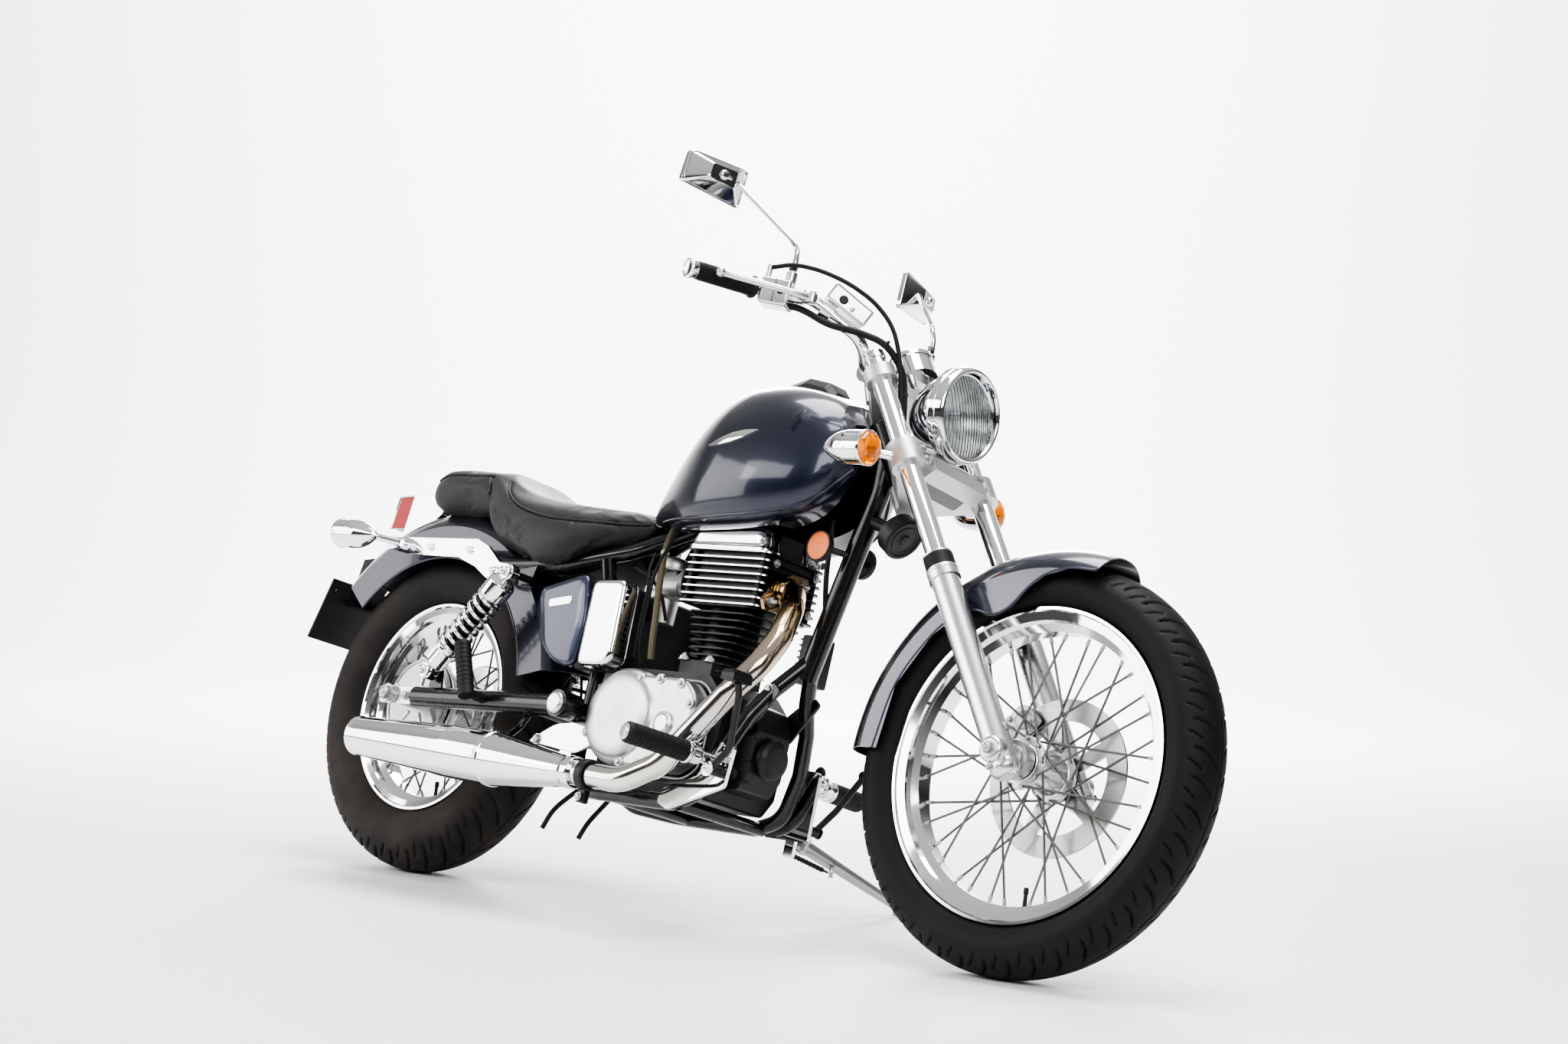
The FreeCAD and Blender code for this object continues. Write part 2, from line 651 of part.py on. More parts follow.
def tank():
    stations = [(505, 735, 705, 40), (530, 762, 700, 62), (580, 842, 692, 92), (640, 918, 688, 122),
                (700, 960, 690, 142), (770, 974, 694, 150), (840, 970, 702, 148), (900, 955, 718, 134),
                (943, 933, 744, 112), (970, 905, 786, 84), (984, 872, 810, 52)]
    body = loft([tank_section(x, top, bottom, half) for x, top, bottom, half in stations])
    tunnel = side_plate([(480, 600), (480, 690), (640, 775), (900, 880), (1040, 930), (1060, 600)],
                        -tank_tunnel_half, 2 * tank_tunnel_half, 0)
    neck = rod(fork_point(900, 0, 0), fork_point(1250, 0, 0), head_tube_radius + 8)
    recess = Part.makeBox(2 * head_reach + 12, 2 * head_half + 12, 200,
                          V(cylinder_x - head_reach - 6, -head_half - 6, cover_top + 8 - 200))
    sweep = fork_place(Part.makeBox(300, 400, 200, V(-34, -200, upper_clamp_low - 6)))
    body = body.cut(tunnel).cut(neck).cut(recess).cut(sweep)
    cap = Part.makeCylinder(34, 26, V(668, 0, 934.5))
    well = Part.makeCylinder(34.3, 60, V(668, 0, 934))
    body = body.cut(well)
    console = side_plate([(742, 960), (742, 978), (800, 993), (852, 984), (872, 966), (872, 940)], -34, 68, 0)
    console = console.cut(body)
    return {"fuel_tank": body.cut(console), "tank_fittings": group([cap, console])}


def seats():
    rider_sections = [(524, 46, 724, 700), (490, 70, 722, 668), (430, 118, 719, 622), (360, 148, 720, 590),
                      (280, 154, 728, 592), (200, 148, 742, 618), (130, 130, 772, 668), (60, 112, 788, 722)]
    rider = loft([cushion_section(x, half, top, bottom, 0.55, 4 if x > 100 else 0)
                  for x, half, top, bottom in rider_sections])
    back = side_plate([(68, 820), (128, 660), (-400, 500), (-400, 820)], -200, 400, 0)
    front = side_plate([(67.4, 820), (127.4, 660), (700, 500), (700, 820)], -200, 400, 0)
    rider = rider.cut(back)
    pillion_sections = [(140, 108, 772, 690), (60, 112, 784, 694), (-20, 110, 786, 694), (-70, 102, 782, 694),
                        (-96, 88, 766, 702)]
    pillion = loft([cushion_section(x, half, top, bottom, 0.6, 0) for x, half, top, bottom in pillion_sections])
    pillion = pillion.cut(front)
    return rider, pillion


def arch(axle, radius, half, depth, wall, start_angle, end_angle):
    """A mudguard: a rounded channel turned part of the way round a wheel."""
    outer_r, outer_h = radius, half
    inner_r, inner_h = radius - wall, half - wall
    low = radius - depth
    knee = radius - 0.42 * depth
    pts = [V(low, -outer_h, 0), V(knee, -outer_h, 0), V(outer_r, 0, 0), V(knee, outer_h, 0), V(low, outer_h, 0),
           V(low, inner_h, 0), V(knee, inner_h, 0), V(inner_r, 0, 0), V(knee, -inner_h, 0), V(low, -inner_h, 0)]
    bulge = 0.72
    left_out = V(knee + (outer_r - knee) * bulge, -outer_h * 0.64, 0)
    right_out = V(left_out.x, -left_out.y, 0)
    left_in = V(knee + (inner_r - knee) * bulge, -inner_h * 0.64, 0)
    right_in = V(left_in.x, -left_in.y, 0)
    edges = [Part.LineSegment(pts[0], pts[1]).toShape(), Part.Arc(pts[1], left_out, pts[2]).toShape(),
             Part.Arc(pts[2], right_out, pts[3]).toShape(), Part.LineSegment(pts[3], pts[4]).toShape(),
             Part.LineSegment(pts[4], pts[5]).toShape(), Part.LineSegment(pts[5], pts[6]).toShape(),
             Part.Arc(pts[6], right_in, pts[7]).toShape(), Part.Arc(pts[7], left_in, pts[8]).toShape(),
             Part.LineSegment(pts[8], pts[9]).toShape(), Part.LineSegment(pts[9], pts[0]).toShape()]
    face = Part.Face(Part.Wire(edges))
    face.rotate(V(0, 0, 0), V(0, 1, 0), -start_angle)
    solid = face.revolve(V(0, 0, 0), V(0, -1, 0), end_angle - start_angle)
    solid.translate(axle)
    return solid


def rear_body():
    fender = arch(rear_axle, rear_fender_radius, fender_half, 112, fender_wall, 14, 143)
    rails = []
    for side in (1, -1):
        bar = side_plate([(-150, 606), (-145, 628), (128, 634), (162, 622), (205, 592), (234, 588), (234, 568),
                          (205, 556), (177, 560), (138, 580), (83, 596), (-67, 596)],
                         side * (rail_spread + rail_tube + seat_gap), side * 8, 4)
        rails.append(bar)
    rails = group(rails)
    spacers = []
    for side in (1, -1):
        for x, z in ((-80, 614), (30, 614)):
            spacers.append(rod(V(x, side * (fender_half - 1), z), V(x, side * (rail_spread + rail_tube), z), 9))
    belt_room = Part.makeBox(250, 40, 180, V(215, pulley_side - belt_width / 2 - 6, 240))
    fender = fuse([fender] + spacers).cut(rails).cut(belt_room)
    housing = side_plate([(-100, 706), (-152, 732), (-204, 740), (-214, 640), (-150, 664)], -46, 92, 6)
    lens = side_plate([(-204.3, 740), (-258, 736), (-268, 664), (-211.6, 666)], -40, 80, 4)
    return fender, rails, housing, lens


def fork_place(shape):
    """Moves a shape drawn as (ahead, side, along the steering axis) to its place."""
    shape.rotate(V(0, 0, 0), V(0, 1, 0), -rake)
    shape.translate(steer_foot)
    return shape


def fork_sleeve(side, low, high, outer, inner):
    start = fork_point(low, fork_offset, side)
    end = fork_point(high, fork_offset, side)
    return tube(start, end, outer, inner)


def rear_suspension():
    arms = []
    for side in (1, -1):
        front = V(pivot_x, side * arm_front_side, pivot_z)
        rear = V(70, side * arm_rear_side, rear_radius + 1)
        arms.append(rod(front, rear, arm_radius))
        arms.append(rod(V(pivot_x, side * 124, pivot_z), V(pivot_x, side * 172, pivot_z), 25))
        arms.append(side_plate([(90, 334), (-34, 332), (-40, 302), (90, 300)],
                               side * (arm_rear_side - 5), side * 10, 8))
        arms.append(side_plate([(shock_low_x - 16, 325), (shock_low_x + 26, 325), (shock_low_x + 13, 378),
                                (shock_low_x - 13, 378)], side * (arm_rear_side - 5), side * 4.5, 5))
        arms.append(rod(V(shock_low_x, side * (arm_rear_side - 5), shock_low_z),
                        V(shock_low_x, side * (shock_side + 20), shock_low_z), 7))
    arms.append(rod(V(pivot_x, -130, pivot_z), V(pivot_x, 130, pivot_z), pivot_radius))
    arms.append(rod(V(402, -arm_front_side, 327), V(402, arm_front_side, 327), 16))
    bore = rod(V(0, -200, rear_radius), V(0, 200, rear_radius), axle_radius + seat_gap)
    swingarm = fuse(arms).cut(bore)

    top = V(shock_top_x, -shock_side, shock_top_z)
    low = V(shock_low_x, -shock_side, shock_low_z)
    length = (low - top).Length
    coils = []
    coil_start = 66.0
    coil_end = length - 62.0
    turns = 8
    pitch = (coil_end - coil_start) / turns
    for index in range(turns):
        near = coil_start + index * pitch
        coils.extend([(shock_radius - 5, near), (shock_radius, near + pitch * 0.3),
                      (shock_radius, near + pitch * 0.6), (shock_radius - 5, near + pitch * 0.9)])
    profile = [(0, 10), (13, 10), (22, 18), (shock_radius + 1, 24), (shock_radius + 1, coil_start - 6)]
    profile += coils + [(shock_radius, coil_end), (shock_radius, coil_end + 6), (17, coil_end + 10),
                        (17, length - 14), (0, length - 14)]
    body = turned(profile, top, low - top)
    eyes = [rod(V(p.x, -shock_side - 13.7, p.z), V(p.x, -shock_side + 13.7, p.z), 16) for p in (top, low)]
    bores = [rod(V(p.x, -shock_side - 20, p.z), V(p.x, -shock_side + 20, p.z), 7 + seat_gap)
             for p in (top, low)]
    shock = fuse([body] + eyes).cut(Part.Compound(bores))
    return swingarm, both(shock)


def belt_loop(radius_more):
    big = pulley_radius + radius_more
    small = front_pulley_radius + radius_more
    rear = V(0, 0, rear_radius)
    front = V(front_pulley_x, 0, front_pulley_z)
    line = front - rear
    length = line.Length
    tilt = math.atan2(line.z, line.x)
    open_angle = math.acos((big - small) / length)
    width = belt_width
    corners = []
    for centre, radius, angle in ((rear, big, tilt + open_angle), (front, small, tilt + open_angle),
                                  (front, small, tilt - open_angle), (rear, big, tilt - open_angle)):
        corners.append(V(centre.x + radius * math.cos(angle), 0, centre.z + radius * math.sin(angle)))
    first = V(rear.x - big * math.cos(tilt), 0, rear.z - big * math.sin(tilt))
    last = V(front.x + small * math.cos(tilt), 0, front.z + small * math.sin(tilt))
    edges = [Part.LineSegment(corners[0], corners[1]).toShape(),
             Part.Arc(corners[1], last, corners[2]).toShape(),
             Part.LineSegment(corners[2], corners[3]).toShape(),
             Part.Arc(corners[3], first, corners[0]).toShape()]
    face = Part.Face(Part.Wire(edges))
    return face.extrude(V(0, width, 0)).translated(V(0, pulley_side - width / 2, 0))


def plate_holes():
    """The middles of the two holes that take the number plate's screws."""
    middle = plate_top + plate_down * plate_hole_drop + plate_outward * (plate_thickness / 2)
    return [middle + V(0, plate_hole_side, 0), middle - V(0, plate_hole_side, 0)]


def rear_details():
    parts = {}
    parts["drive_belt"] = belt_loop(0.6 + belt_thickness).cut(belt_loop(0.6))
    axle = rod(V(0, -158, rear_radius), V(0, 158, rear_radius), axle_radius)
    nuts = []
    for side in (1, -1):
        start = V(0, side * (arm_rear_side + 5 + seat_gap), rear_radius)
        nuts.append(rod(start, start + V(0, side * 12, 0), 15))
    plate_y = -rear_hub_half - 14 - 5
    backing = rod(V(0, plate_y, rear_radius), V(0, plate_y - 10, rear_radius), drum_radius - 2)
    lever = side_plate([(-12, 330), (60, 268), (76, 276), (14, 350)], plate_y - 10, -8, 5)
    spacer = rod(V(0, plate_y, rear_radius), V(0, -arm_rear_side + 5 + seat_gap, rear_radius), 14)
    left_spacer = rod(V(0, 104, rear_radius), V(0, arm_rear_side - 5 - seat_gap, rear_radius), 14)
    parts["rear_axle"] = fuse([axle] + nuts + [left_spacer, backing, lever, spacer])

    bullets = []
    for side in (1, -1):
        bullets.append(bullet(V(-212, side * 190, 616), V(1, 0, 0), 29, 105))
        foot = V(-94, side * (rail_spread + rail_tube + 8 + 2 * seat_gap), 616)
        bullets.append(rod(foot, foot + V(0, side * 7, 0), 10))
        bullets.append(rod(foot + V(0, side * 9, 0), V(-150, side * 186, 618), 7))
    parts["rear_indicators"] = group([fuse(bullets[0:3]), fuse(bullets[3:6])])
    lenses = [turned([(0, -10), (18, -8), (27, -2), (28, 0), (0, 0)],
                     V(-212 - seat_gap, side * 190, 616), V(1, 0, 0)) for side in (1, -1)]
    parts["rear_lenses"] = group(lenses)
    low_edge = plate_top + plate_down * plate_height
    back = plate_outward * plate_thickness
    holder = side_plate([(p.x, p.z) for p in (plate_top, plate_top + back, low_edge + back, low_edge)],
                        -plate_half_width, 2 * plate_half_width, 0)
    holes = [rod(p - plate_outward * 10, p + plate_outward * 10, plate_hole_radius) for p in plate_holes()]
    holder = holder.cut(Part.Compound(holes))
    arm = side_plate([(-330, 600), (-300, 604), (-322, 500), (-346, 500)], -34, 68, 0)
    parts["plate_holder"] = fuse([holder, arm])
    return parts


def bullet(mouth, direction, radius, length):
    """A lamp body that tapers to a rounded tail; mouth is the lens end, direction points to the tail."""
    profile = [(0, 0), (radius, 0), (radius, length * 0.3),
               (radius * 0.86, length * 0.62, radius * 0.3, length * 0.94), (0, length)]
    return turned(profile, mouth, direction)


def foot_pieces():
    parts = {}
    right_root = V(900, -140, 268)
    right_end = V(856, -312, 274)
    left_root = V(862, 150, 286)
    left_end = V(828, 312, 288)
    plates = [side_plate([(772, 186), (800, 176), (925, 226), (930, 300), (880, 304), (858, 240), (784, 212)],
                         -rail_spread - rail_tube - seat_gap, -8, 8),
              side_plate([(790, 180), (905, 180), (900, 306), (846, 310), (836, 240)],
                         rail_spread + rail_tube + seat_gap, 8, 8)]
    pegs = []
    holders = []
    for root, end, side in ((right_root, right_end, -1), (left_root, left_end, 1)):
        line = end - root
        line.normalize()
        outward = V(root.x, side * (rail_spread + rail_tube + 4), root.z)
        holders.append(fuse([rod(outward, root + line * 20, 11), rod(root, root + line * 60, 11)]))
        pegs.append(rod(root + line * (60 + seat_gap), end, 18))
    pin = rod(stand_pivot - stand_axis * (stand_boss_half + 3),
              stand_pivot + stand_axis * (stand_boss_half + 8), stand_pin_radius)
    ear = rod(stand_pivot + stand_axis * (stand_boss_half + seat_gap),
              stand_pivot + stand_axis * (stand_boss_half + 8), stand_boss_radius - 1)
    bridge = rod(stand_pivot + stand_axis * (stand_boss_half + 4), V(864, rail_spread + rail_tube + 4, 203), 7)
    turning_room = rod(stand_pivot - stand_axis * (stand_boss_half + seat_gap),
                       stand_pivot + stand_axis * (stand_boss_half + seat_gap), stand_boss_radius + 1)
    bridge = bridge.cut(turning_room)
    tab = side_plate([(854, 150), (876, 150), (876, 200), (854, 200)], rail_spread + rail_tube + seat_gap, 8, 3)
    stand_hanger = fuse([plates[1], holders[1], ear, pin, bridge, tab])
    parts["peg_brackets"] = group([fuse([plates[0], holders[0]]), stand_hanger])
    passenger = []
    for side in (1, -1):
        arm_line = rod(V(pivot_x, side * arm_front_side, pivot_z), V(70, side * arm_rear_side, rear_radius + 1),
                       arm_radius + seat_gap)
        peg = rod(V(238, side * 196, 418), V(290, side * 200, 320), 15)
        holder = rod(V(292, side * 140, 324), V(292, side * 196, 326), 9)
        passenger.append(fuse([peg, holder.cut(arm_line)]).Solids[0])
    parts["footpegs"] = group(pegs + passenger)
    pedal_shaft = rod(V(912, -rail_spread - rail_tube - 8.6, 250), V(912, -160, 250), 9)
    pedal_arm = pipe([V(912, -156, 250), V(948, -158, 290), V(990, -206, 372), V(992, -216, 392)], 6, 30)
    pad = Part.makeBox(30, 46, 12, V(978, -246, 392))
    shift_shaft = rod(V(888, rail_spread + rail_tube + 8.6, 205), V(888, 160, 205), 9)
    shift_arm = pipe([V(888, 154, 205), V(906, 178, 250), V(926, 208, 320)], 6, 30)
    toe = rod(V(926, 204, 322), V(919, 268, 322), 9)
    parts["foot_controls"] = group([fuse([pedal_shaft, pedal_arm, pad]), fuse([shift_shaft, shift_arm, toe])])
    reflectors = [rod(V(952, side * 50, 674), V(952, side * 62, 674), 27) for side in (1, -1)]
    stems = [rod(V(985, side * 8, 670), V(953, side * 52, 674), 6) for side in (1, -1)]
    parts["side_reflectors"] = group([fuse([reflectors[i], stems[i]]) for i in (0, 1)])
    parts["horn"] = fuse([rod(V(1068, 0, 720), V(1090, 0, 706), 38), rod(V(1000, 0, 740), V(1070, 0, 718), 12)])
    return parts


def front_end():
    parts = {}
    high = tube_top
    tubes = []
    sliders = []
    for side in (leg_spread, -leg_spread):
        stanchion = rod(fork_point(slider_top - 60, fork_offset, side), fork_point(high, fork_offset, side),
                        tube_radius)
        cap = rod(fork_point(high, fork_offset, side), fork_point(high + 14, fork_offset, side),
                  tube_radius + 1.5)
        tubes.append(fuse([stanchion, cap]))
        slider = rod(fork_point(fork_foot - 30, fork_offset, side), fork_point(slider_top, fork_offset, side),
                     slider_radius)
        collar = rod(fork_point(slider_top - 20, fork_offset, side), fork_point(slider_top, fork_offset, side),
                     slider_radius + 3)
        bore = rod(fork_point(slider_top - 64, fork_offset, side),
                   fork_point(slider_top + 9, fork_offset, side), tube_radius + seat_gap)
        sliders.append(fuse([slider, collar]).cut(bore))
    axle_bore = rod(front_axle - V(0, 200, 0), front_axle + V(0, 200, 0), axle_radius + seat_gap)
    parts["fork_tubes"] = group(tubes)
    boots = [fork_sleeve(side, slider_top + seat_gap, slider_top + 30, slider_radius + 1,
                         tube_radius + seat_gap) for side in (leg_spread, -leg_spread)]
    parts["fork_sliders"] = group([group(sliders).cut(axle_bore)] + boots)

    def bridge(low, top, front, back, ends):
        outline = [(back, -24), (back, 24), (fork_offset - ends, leg_spread), (fork_offset, leg_spread + ends),
                   (fork_offset + ends, leg_spread), (front, 60), (front, -60), (fork_offset + ends, -leg_spread),
                   (fork_offset, -leg_spread - ends), (fork_offset - ends, -leg_spread)]
        slab = flat_plate(outline, low, top - low, 6)
        collars = [Part.makeCylinder(ends + 1, top - low, V(fork_offset, side, low))
                   for side in (leg_spread, -leg_spread)]
        collars.append(Part.makeCylinder(30, top - low, V(0, 0, low)))
        holes = [Part.makeCylinder(tube_radius + seat_gap, 200, V(fork_offset, side, low - 50))
                 for side in (leg_spread, -leg_spread)]
        return fork_place(fuse([slab] + collars).cut(Part.Compound(holes)))

    lower = bridge(lower_clamp_low, lower_clamp_high, fork_offset + 14, -12, 29)
    upper = bridge(upper_clamp_low, upper_clamp_high, fork_offset + 4, -12, 27)
    stem = rod(fork_point(lower_clamp_low, 0, 0), fork_point(upper_clamp_high, 0, 0), stem_radius)
    skirt = fork_place(Part.makeBox(34, 150, 30, V(fork_offset - 2, -75, lower_clamp_low - 12)))
    race_high = head_tube_gap - seat_gap
    races = [rod(fork_point(lower_clamp_high - 1, 0, 0), fork_point(lower_clamp_high + race_high, 0, 0),
                 head_tube_radius - 3),
             rod(fork_point(upper_clamp_low - race_high, 0, 0), fork_point(upper_clamp_low + 1, 0, 0),
                 head_tube_radius - 3)]
    parts["triple_clamps"] = fuse([lower, upper, stem, skirt] + races)

    tilt = math.radians(6)
    forward = V(math.cos(tilt), 0, math.sin(tilt))
    face = V(1162, 0, 934)
    shell = turned([(0, -112), (22, -108), (62, -66, 77, -22), (78, -22), (84, -18), (84, -2), (80, 0), (0, 0)],
                   face, forward)
    hollow = turned([(0, -104), (20, -102), (57, -62, 71, -22), (74, -16), (74, 2), (0, 2)], face, forward)
    shell = shell.cut(hollow)
    glass_radii = (0, 20, 38, 56, lamp_glass_radius)
    outer_curve = [(r, lamp_bulge * (1 - (r / lamp_glass_radius) ** 2)) for r in glass_radii]
    inner_curve = [(r - 4 if r else 0, h - 4) for r, h in reversed(outer_curve)]
    glass_edge = [(lamp_glass_radius, -6), (lamp_glass_radius - 4, -6)]
    glass = turned(outer_curve + glass_edge + inner_curve, face, forward)
    lug = fork_place(Part.makeBox(30, 60, 60, V(fork_offset - 14, -30, lower_clamp_high - 1)))
    ball_cut = turned([(0, -113), (23, -109), (63, -66.5, 78, -22.3), (79, -22.3), (85, -18), (85, 30), (0, 30)],
                      face, forward)
    parts["headlamp_shell"] = shell
    parts["headlamp_lens"] = glass
    lug = lug.cut(ball_cut).Solids[0]
    parts["triple_clamps"] = fuse([parts["triple_clamps"], lug])

    fender = arch(front_axle, front_fender_radius, front_fender_half, 114, fender_wall, 77, 182)
    skirt = []
    for angle, radius in skirt_edge:
        skirt.append(front_axle + V(radius * math.cos(math.radians(angle)), -front_fender_half - 5,
                                    radius * math.sin(math.radians(angle))))
    skirt = Part.Face(Part.makePolygon(skirt + skirt[:1])).extrude(V(0, 2 * front_fender_half + 10, 0))
    fender = fender.cut(skirt)
    bosses = []
    for side in (1, -1):
        start = fork_point(650, fork_offset, side * (front_fender_half - 1.5))
        end = fork_point(650, fork_offset, side * (leg_spread - slider_radius + 6))
        bosses.append(rod(start, end, 12))
    legs = group([rod(fork_point(300, fork_offset, side), fork_point(900, fork_offset, side),
                      slider_radius + seat_gap) for side in (leg_spread, -leg_spread)])
    parts["front_fender"] = fuse([fender] + bosses).cut(legs)

    half_bar = [bar_middle, bar_middle - V(0, 58, 0), V(982, -104, 1030), V(915, -186, 1078), V(828, -226, 1080),
                V(797, -370, 1062)]
    whole = [V(p.x, -p.y, p.z) for p in reversed(half_bar[1:])] + half_bar[1:]
    bar = pipe(whole, bar_radius, 55)
    fat_bar = pipe(whole, bar_radius + seat_gap, 55)
    risers = []
    for side in (1, -1):
        foot = fork_point(upper_clamp_high + seat_gap, 12, side * 42)
        risers.append(rod(foot, bar_middle + V(0, side * 42, 0), 13))
        risers.append(rod(bar_middle + V(0, side * (bar_clear / 2), 0), bar_middle + V(0, side * 56, 0), 20))
    parts["handlebar"] = fuse([bar] + risers).cut(parts["triple_clamps"])
    inner = half_bar[4]
    outer = half_bar[5]
    line = outer - inner
    line.normalize()
    grip_start = outer - line * 132
    grips = tube(grip_start, outer, grip_radius, bar_radius + seat_gap)
    grips = fuse([grips, rod(outer + line * 0.2, outer + line * 9, grip_radius + 1),
                  tube(outer - line * 2, outer + line * 2, grip_radius, bar_radius + seat_gap)])
    parts["grips"] = both(grips.cut(fat_bar))
    inward = half_bar[3] - half_bar[4]
    inward.normalize()
    switch = turned_box(inner + inward * 32 - V(0, 0, 3), inward, V(0, 0, 1), 56, 44, 48, 6)
    pivot = V(932, -204, 1071)
    tip = V(842, -345, 1066)
    post = rod(V(872, -204, 1084), V(872, -204, 1118.7), 10)
    reach = rod(V(884, -200, 1080), pivot, 7)
    collar = rod(inner + inward * 50, inner + inward * 82, bar_radius + 3)
    perch = fuse([switch, post, reach, collar])

    def lever_shape(more):
        return fuse([rod(pivot, tip, 6 + more), ball(tip, 10 + more),
                     rod(V(pivot.x, pivot.y, pivot.z - 9 - more), V(pivot.x, pivot.y, pivot.z + 9 + more),
                         10 + more)])

    perch = perch.cut(fat_bar).cut(lever_shape(seat_gap))
    perch = max(perch.removeSplitter().Solids, key=lambda solid: solid.Volume)
    parts["levers"] = both(lever_shape(0))
    stalk = pipe([V(872, -204, 1119.4), V(868, -202, 1168), V(752, -268, 1262)], 5, 40)
    centre = V(722, -298, 1265)
    across = V(-0.27, -0.963, 0)
    facing = V(-0.963, 0.27, 0)
    corners = []
    for u, w in ((-62, 36), (62, 30), (66, -30), (-60, -38)):
        corners.append(centre + across * u + V(0, 0, w))
    outline = Part.makePolygon(corners + corners[:1])
    plate = Part.Face(outline).extrude(facing * 10)
    back = [centre + (p - centre) * 0.45 - facing * 30 for p in corners]
    shell = Part.makeLoft([outline, Part.makePolygon(back + back[:1])], True, True)
    mirror = fuse([stalk, plate, shell])
    parts["mirrors"] = both(mirror)
    run = half_bar[3] - half_bar[2]
    run.normalize()
    above = V(0, 0, 1) - run * run.z
    above.normalize()
    middle = (half_bar[2] + half_bar[3]) * 0.5
    master = turned_box(middle + above * 32, run, above, 84, 36, 34, 5)
    clamp = rod(middle + run * 14, middle + run * 34, bar_radius + 7)
    neck = turned_box(middle + above * 14 + run * 24, run, above, 18, 20, 14, 0)
    master = fuse([master, clamp, neck]).cut(fat_bar).cut(stalk)
    elbow = rod(V(838, -226, 1090), V(838, -226, 1126), 5)
    parts["switch_gear"] = group([fuse([perch, elbow]), mirrored(perch), master])

    lamps = []
    lenses = []
    for side in (1, -1):
        mouth = V(1122, side * 182, 812)
        body = bullet(mouth, V(-1, 0, 0), 30, 98)
        root = fork_point(952, fork_offset - 12, side * (leg_spread + 23))
        lamps.append(fuse([body, rod(root, V(1076, side * 172, 814), 8)]))
        lenses.append(turned([(0, 14), (18, 12), (28, 4), (29, 0), (0, 0)],
                             mouth + V(seat_gap, 0, 0), V(1, 0, 0)))
    parts["front_indicators"] = group(lamps).cut(parts["triple_clamps"])
    parts["front_indicator_lenses"] = group(lenses)

    leaving = inner + inward * (60 + seat_gap) - V(0, 0, bar_radius + 3 + cable_radius + 0.6)
    bundle = pipe([leaving, leaving + inward * 14] + bundle_path, cable_radius, 10000)
    parts["control_cables"] = group([bundle, mirrored(bundle), pipe(hose_path, hose_radius, 10000)])

    axle = rod(front_axle - V(0, leg_spread + 30, 0), front_axle + V(0, leg_spread + 30, 0), axle_radius)
    drive = rod(front_axle + V(0, -front_hub_half - 9, 0), front_axle + V(0, -front_hub_half - 32, 0), 30)
    spacer = rod(front_axle + V(0, -front_hub_half - 32, 0),
                 front_axle + V(0, -leg_spread + slider_radius - 2, 0), 14)
    left_spacer = rod(front_axle + V(0, disc_side + disc_thickness / 2 + 1, 0),
                      front_axle + V(0, leg_spread - slider_radius + 2, 0), 14)
    parts["front_axle"] = fuse([axle, drive, spacer, left_spacer]).cut(legs).fuse(axle)
    block = Part.makeBox(84, 44, 52, V(-42, 38, -26 + 118))
    block.rotate(V(0, 0, 0), V(0, 1, 0), -52)
    block.translate(front_axle)
    slot_half = disc_thickness / 2 + 5
    slot = wheel_turned([(40, disc_side - slot_half), (disc_radius + 6, disc_side - slot_half),
                         (disc_radius + 6, disc_side + slot_half), (40, disc_side + slot_half)], front_axle)
    parts["brake_caliper"] = block.cut(slot).cut(legs)
    gauge = fork_place(Part.makeCylinder(40, 42, V(82, 0, upper_clamp_high + 16)))
    post = fork_place(Part.makeCylinder(12, 18, V(72, 0, upper_clamp_high + seat_gap)))
    parts["speedometer"] = fuse([gauge, post])
    return parts


def parked_stance():
    """The pitch and rise that set both leaning tyres on the ground."""
    pitch = 0.0
    rise = 0.0
    for turn in range(6):
        lows = []
        for centre, radius, crown, steered in ((rear_axle, rear_radius, rear_crown, 0),
                                               (front_axle, front_radius, front_crown, 1)):
            line = V(0, 1, 0)
            if steered:
                spin = FreeCAD.Rotation(steer_direction, steer_at_rest)
                line = spin.multVec(line)
                centre = steer_foot + spin.multVec(centre - steer_foot)
            turn_all = FreeCAD.Rotation(V(1, 0, 0), -lean).multiply(FreeCAD.Rotation(V(0, 1, 0), pitch))
            line = turn_all.multVec(line)
            centre = turn_all.multVec(centre)
            ring = radius - crown
            lows.append(centre.z + rise - ring * math.sqrt(1 - line.z ** 2) - crown)
        rise -= lows[0]
        pitch += math.degrees((lows[1] - lows[0]) / wheelbase)
    return pitch, rise


pitch_at_rest, rise_at_rest = parked_stance()
body_turn = FreeCAD.Rotation(V(1, 0, 0), -lean).multiply(FreeCAD.Rotation(V(0, 1, 0), pitch_at_rest))


def park_point(point):
    return body_turn.multVec(point) + V(0, 0, rise_at_rest)


def park(shape, steered=False):
    """Steers the fork, then leans the machine onto its stand."""
    moved = shape.copy()
    if steered:
        moved.rotate(steer_foot, steer_direction, steer_at_rest)
    moved.Placement = FreeCAD.Placement(V(0, 0, rise_at_rest), body_turn).multiply(moved.Placement)
    return moved


def stand_spring():
    """A thin coil spring from the bracket to the leg's lug, drawn as a slim ribbed rod."""
    pivot = park_point(stand_pivot)
    start = pivot + V(-1, -23.4, -17)
    end = pivot + stand_lug - V(4.6, 2.3, -3.1)
    length = (end - start).Length
    profile = [(0, 0), (2, 0), (2, 6)]
    for index in range(8):
        near = 6 + index * (length - 14) / 8
        profile += [(4, near + 1), (5.5, near + 2.5), (4, near + 4)]
    profile += [(2, length - 7), (2, length), (0, length)]
    return turned(profile, start, end - start)


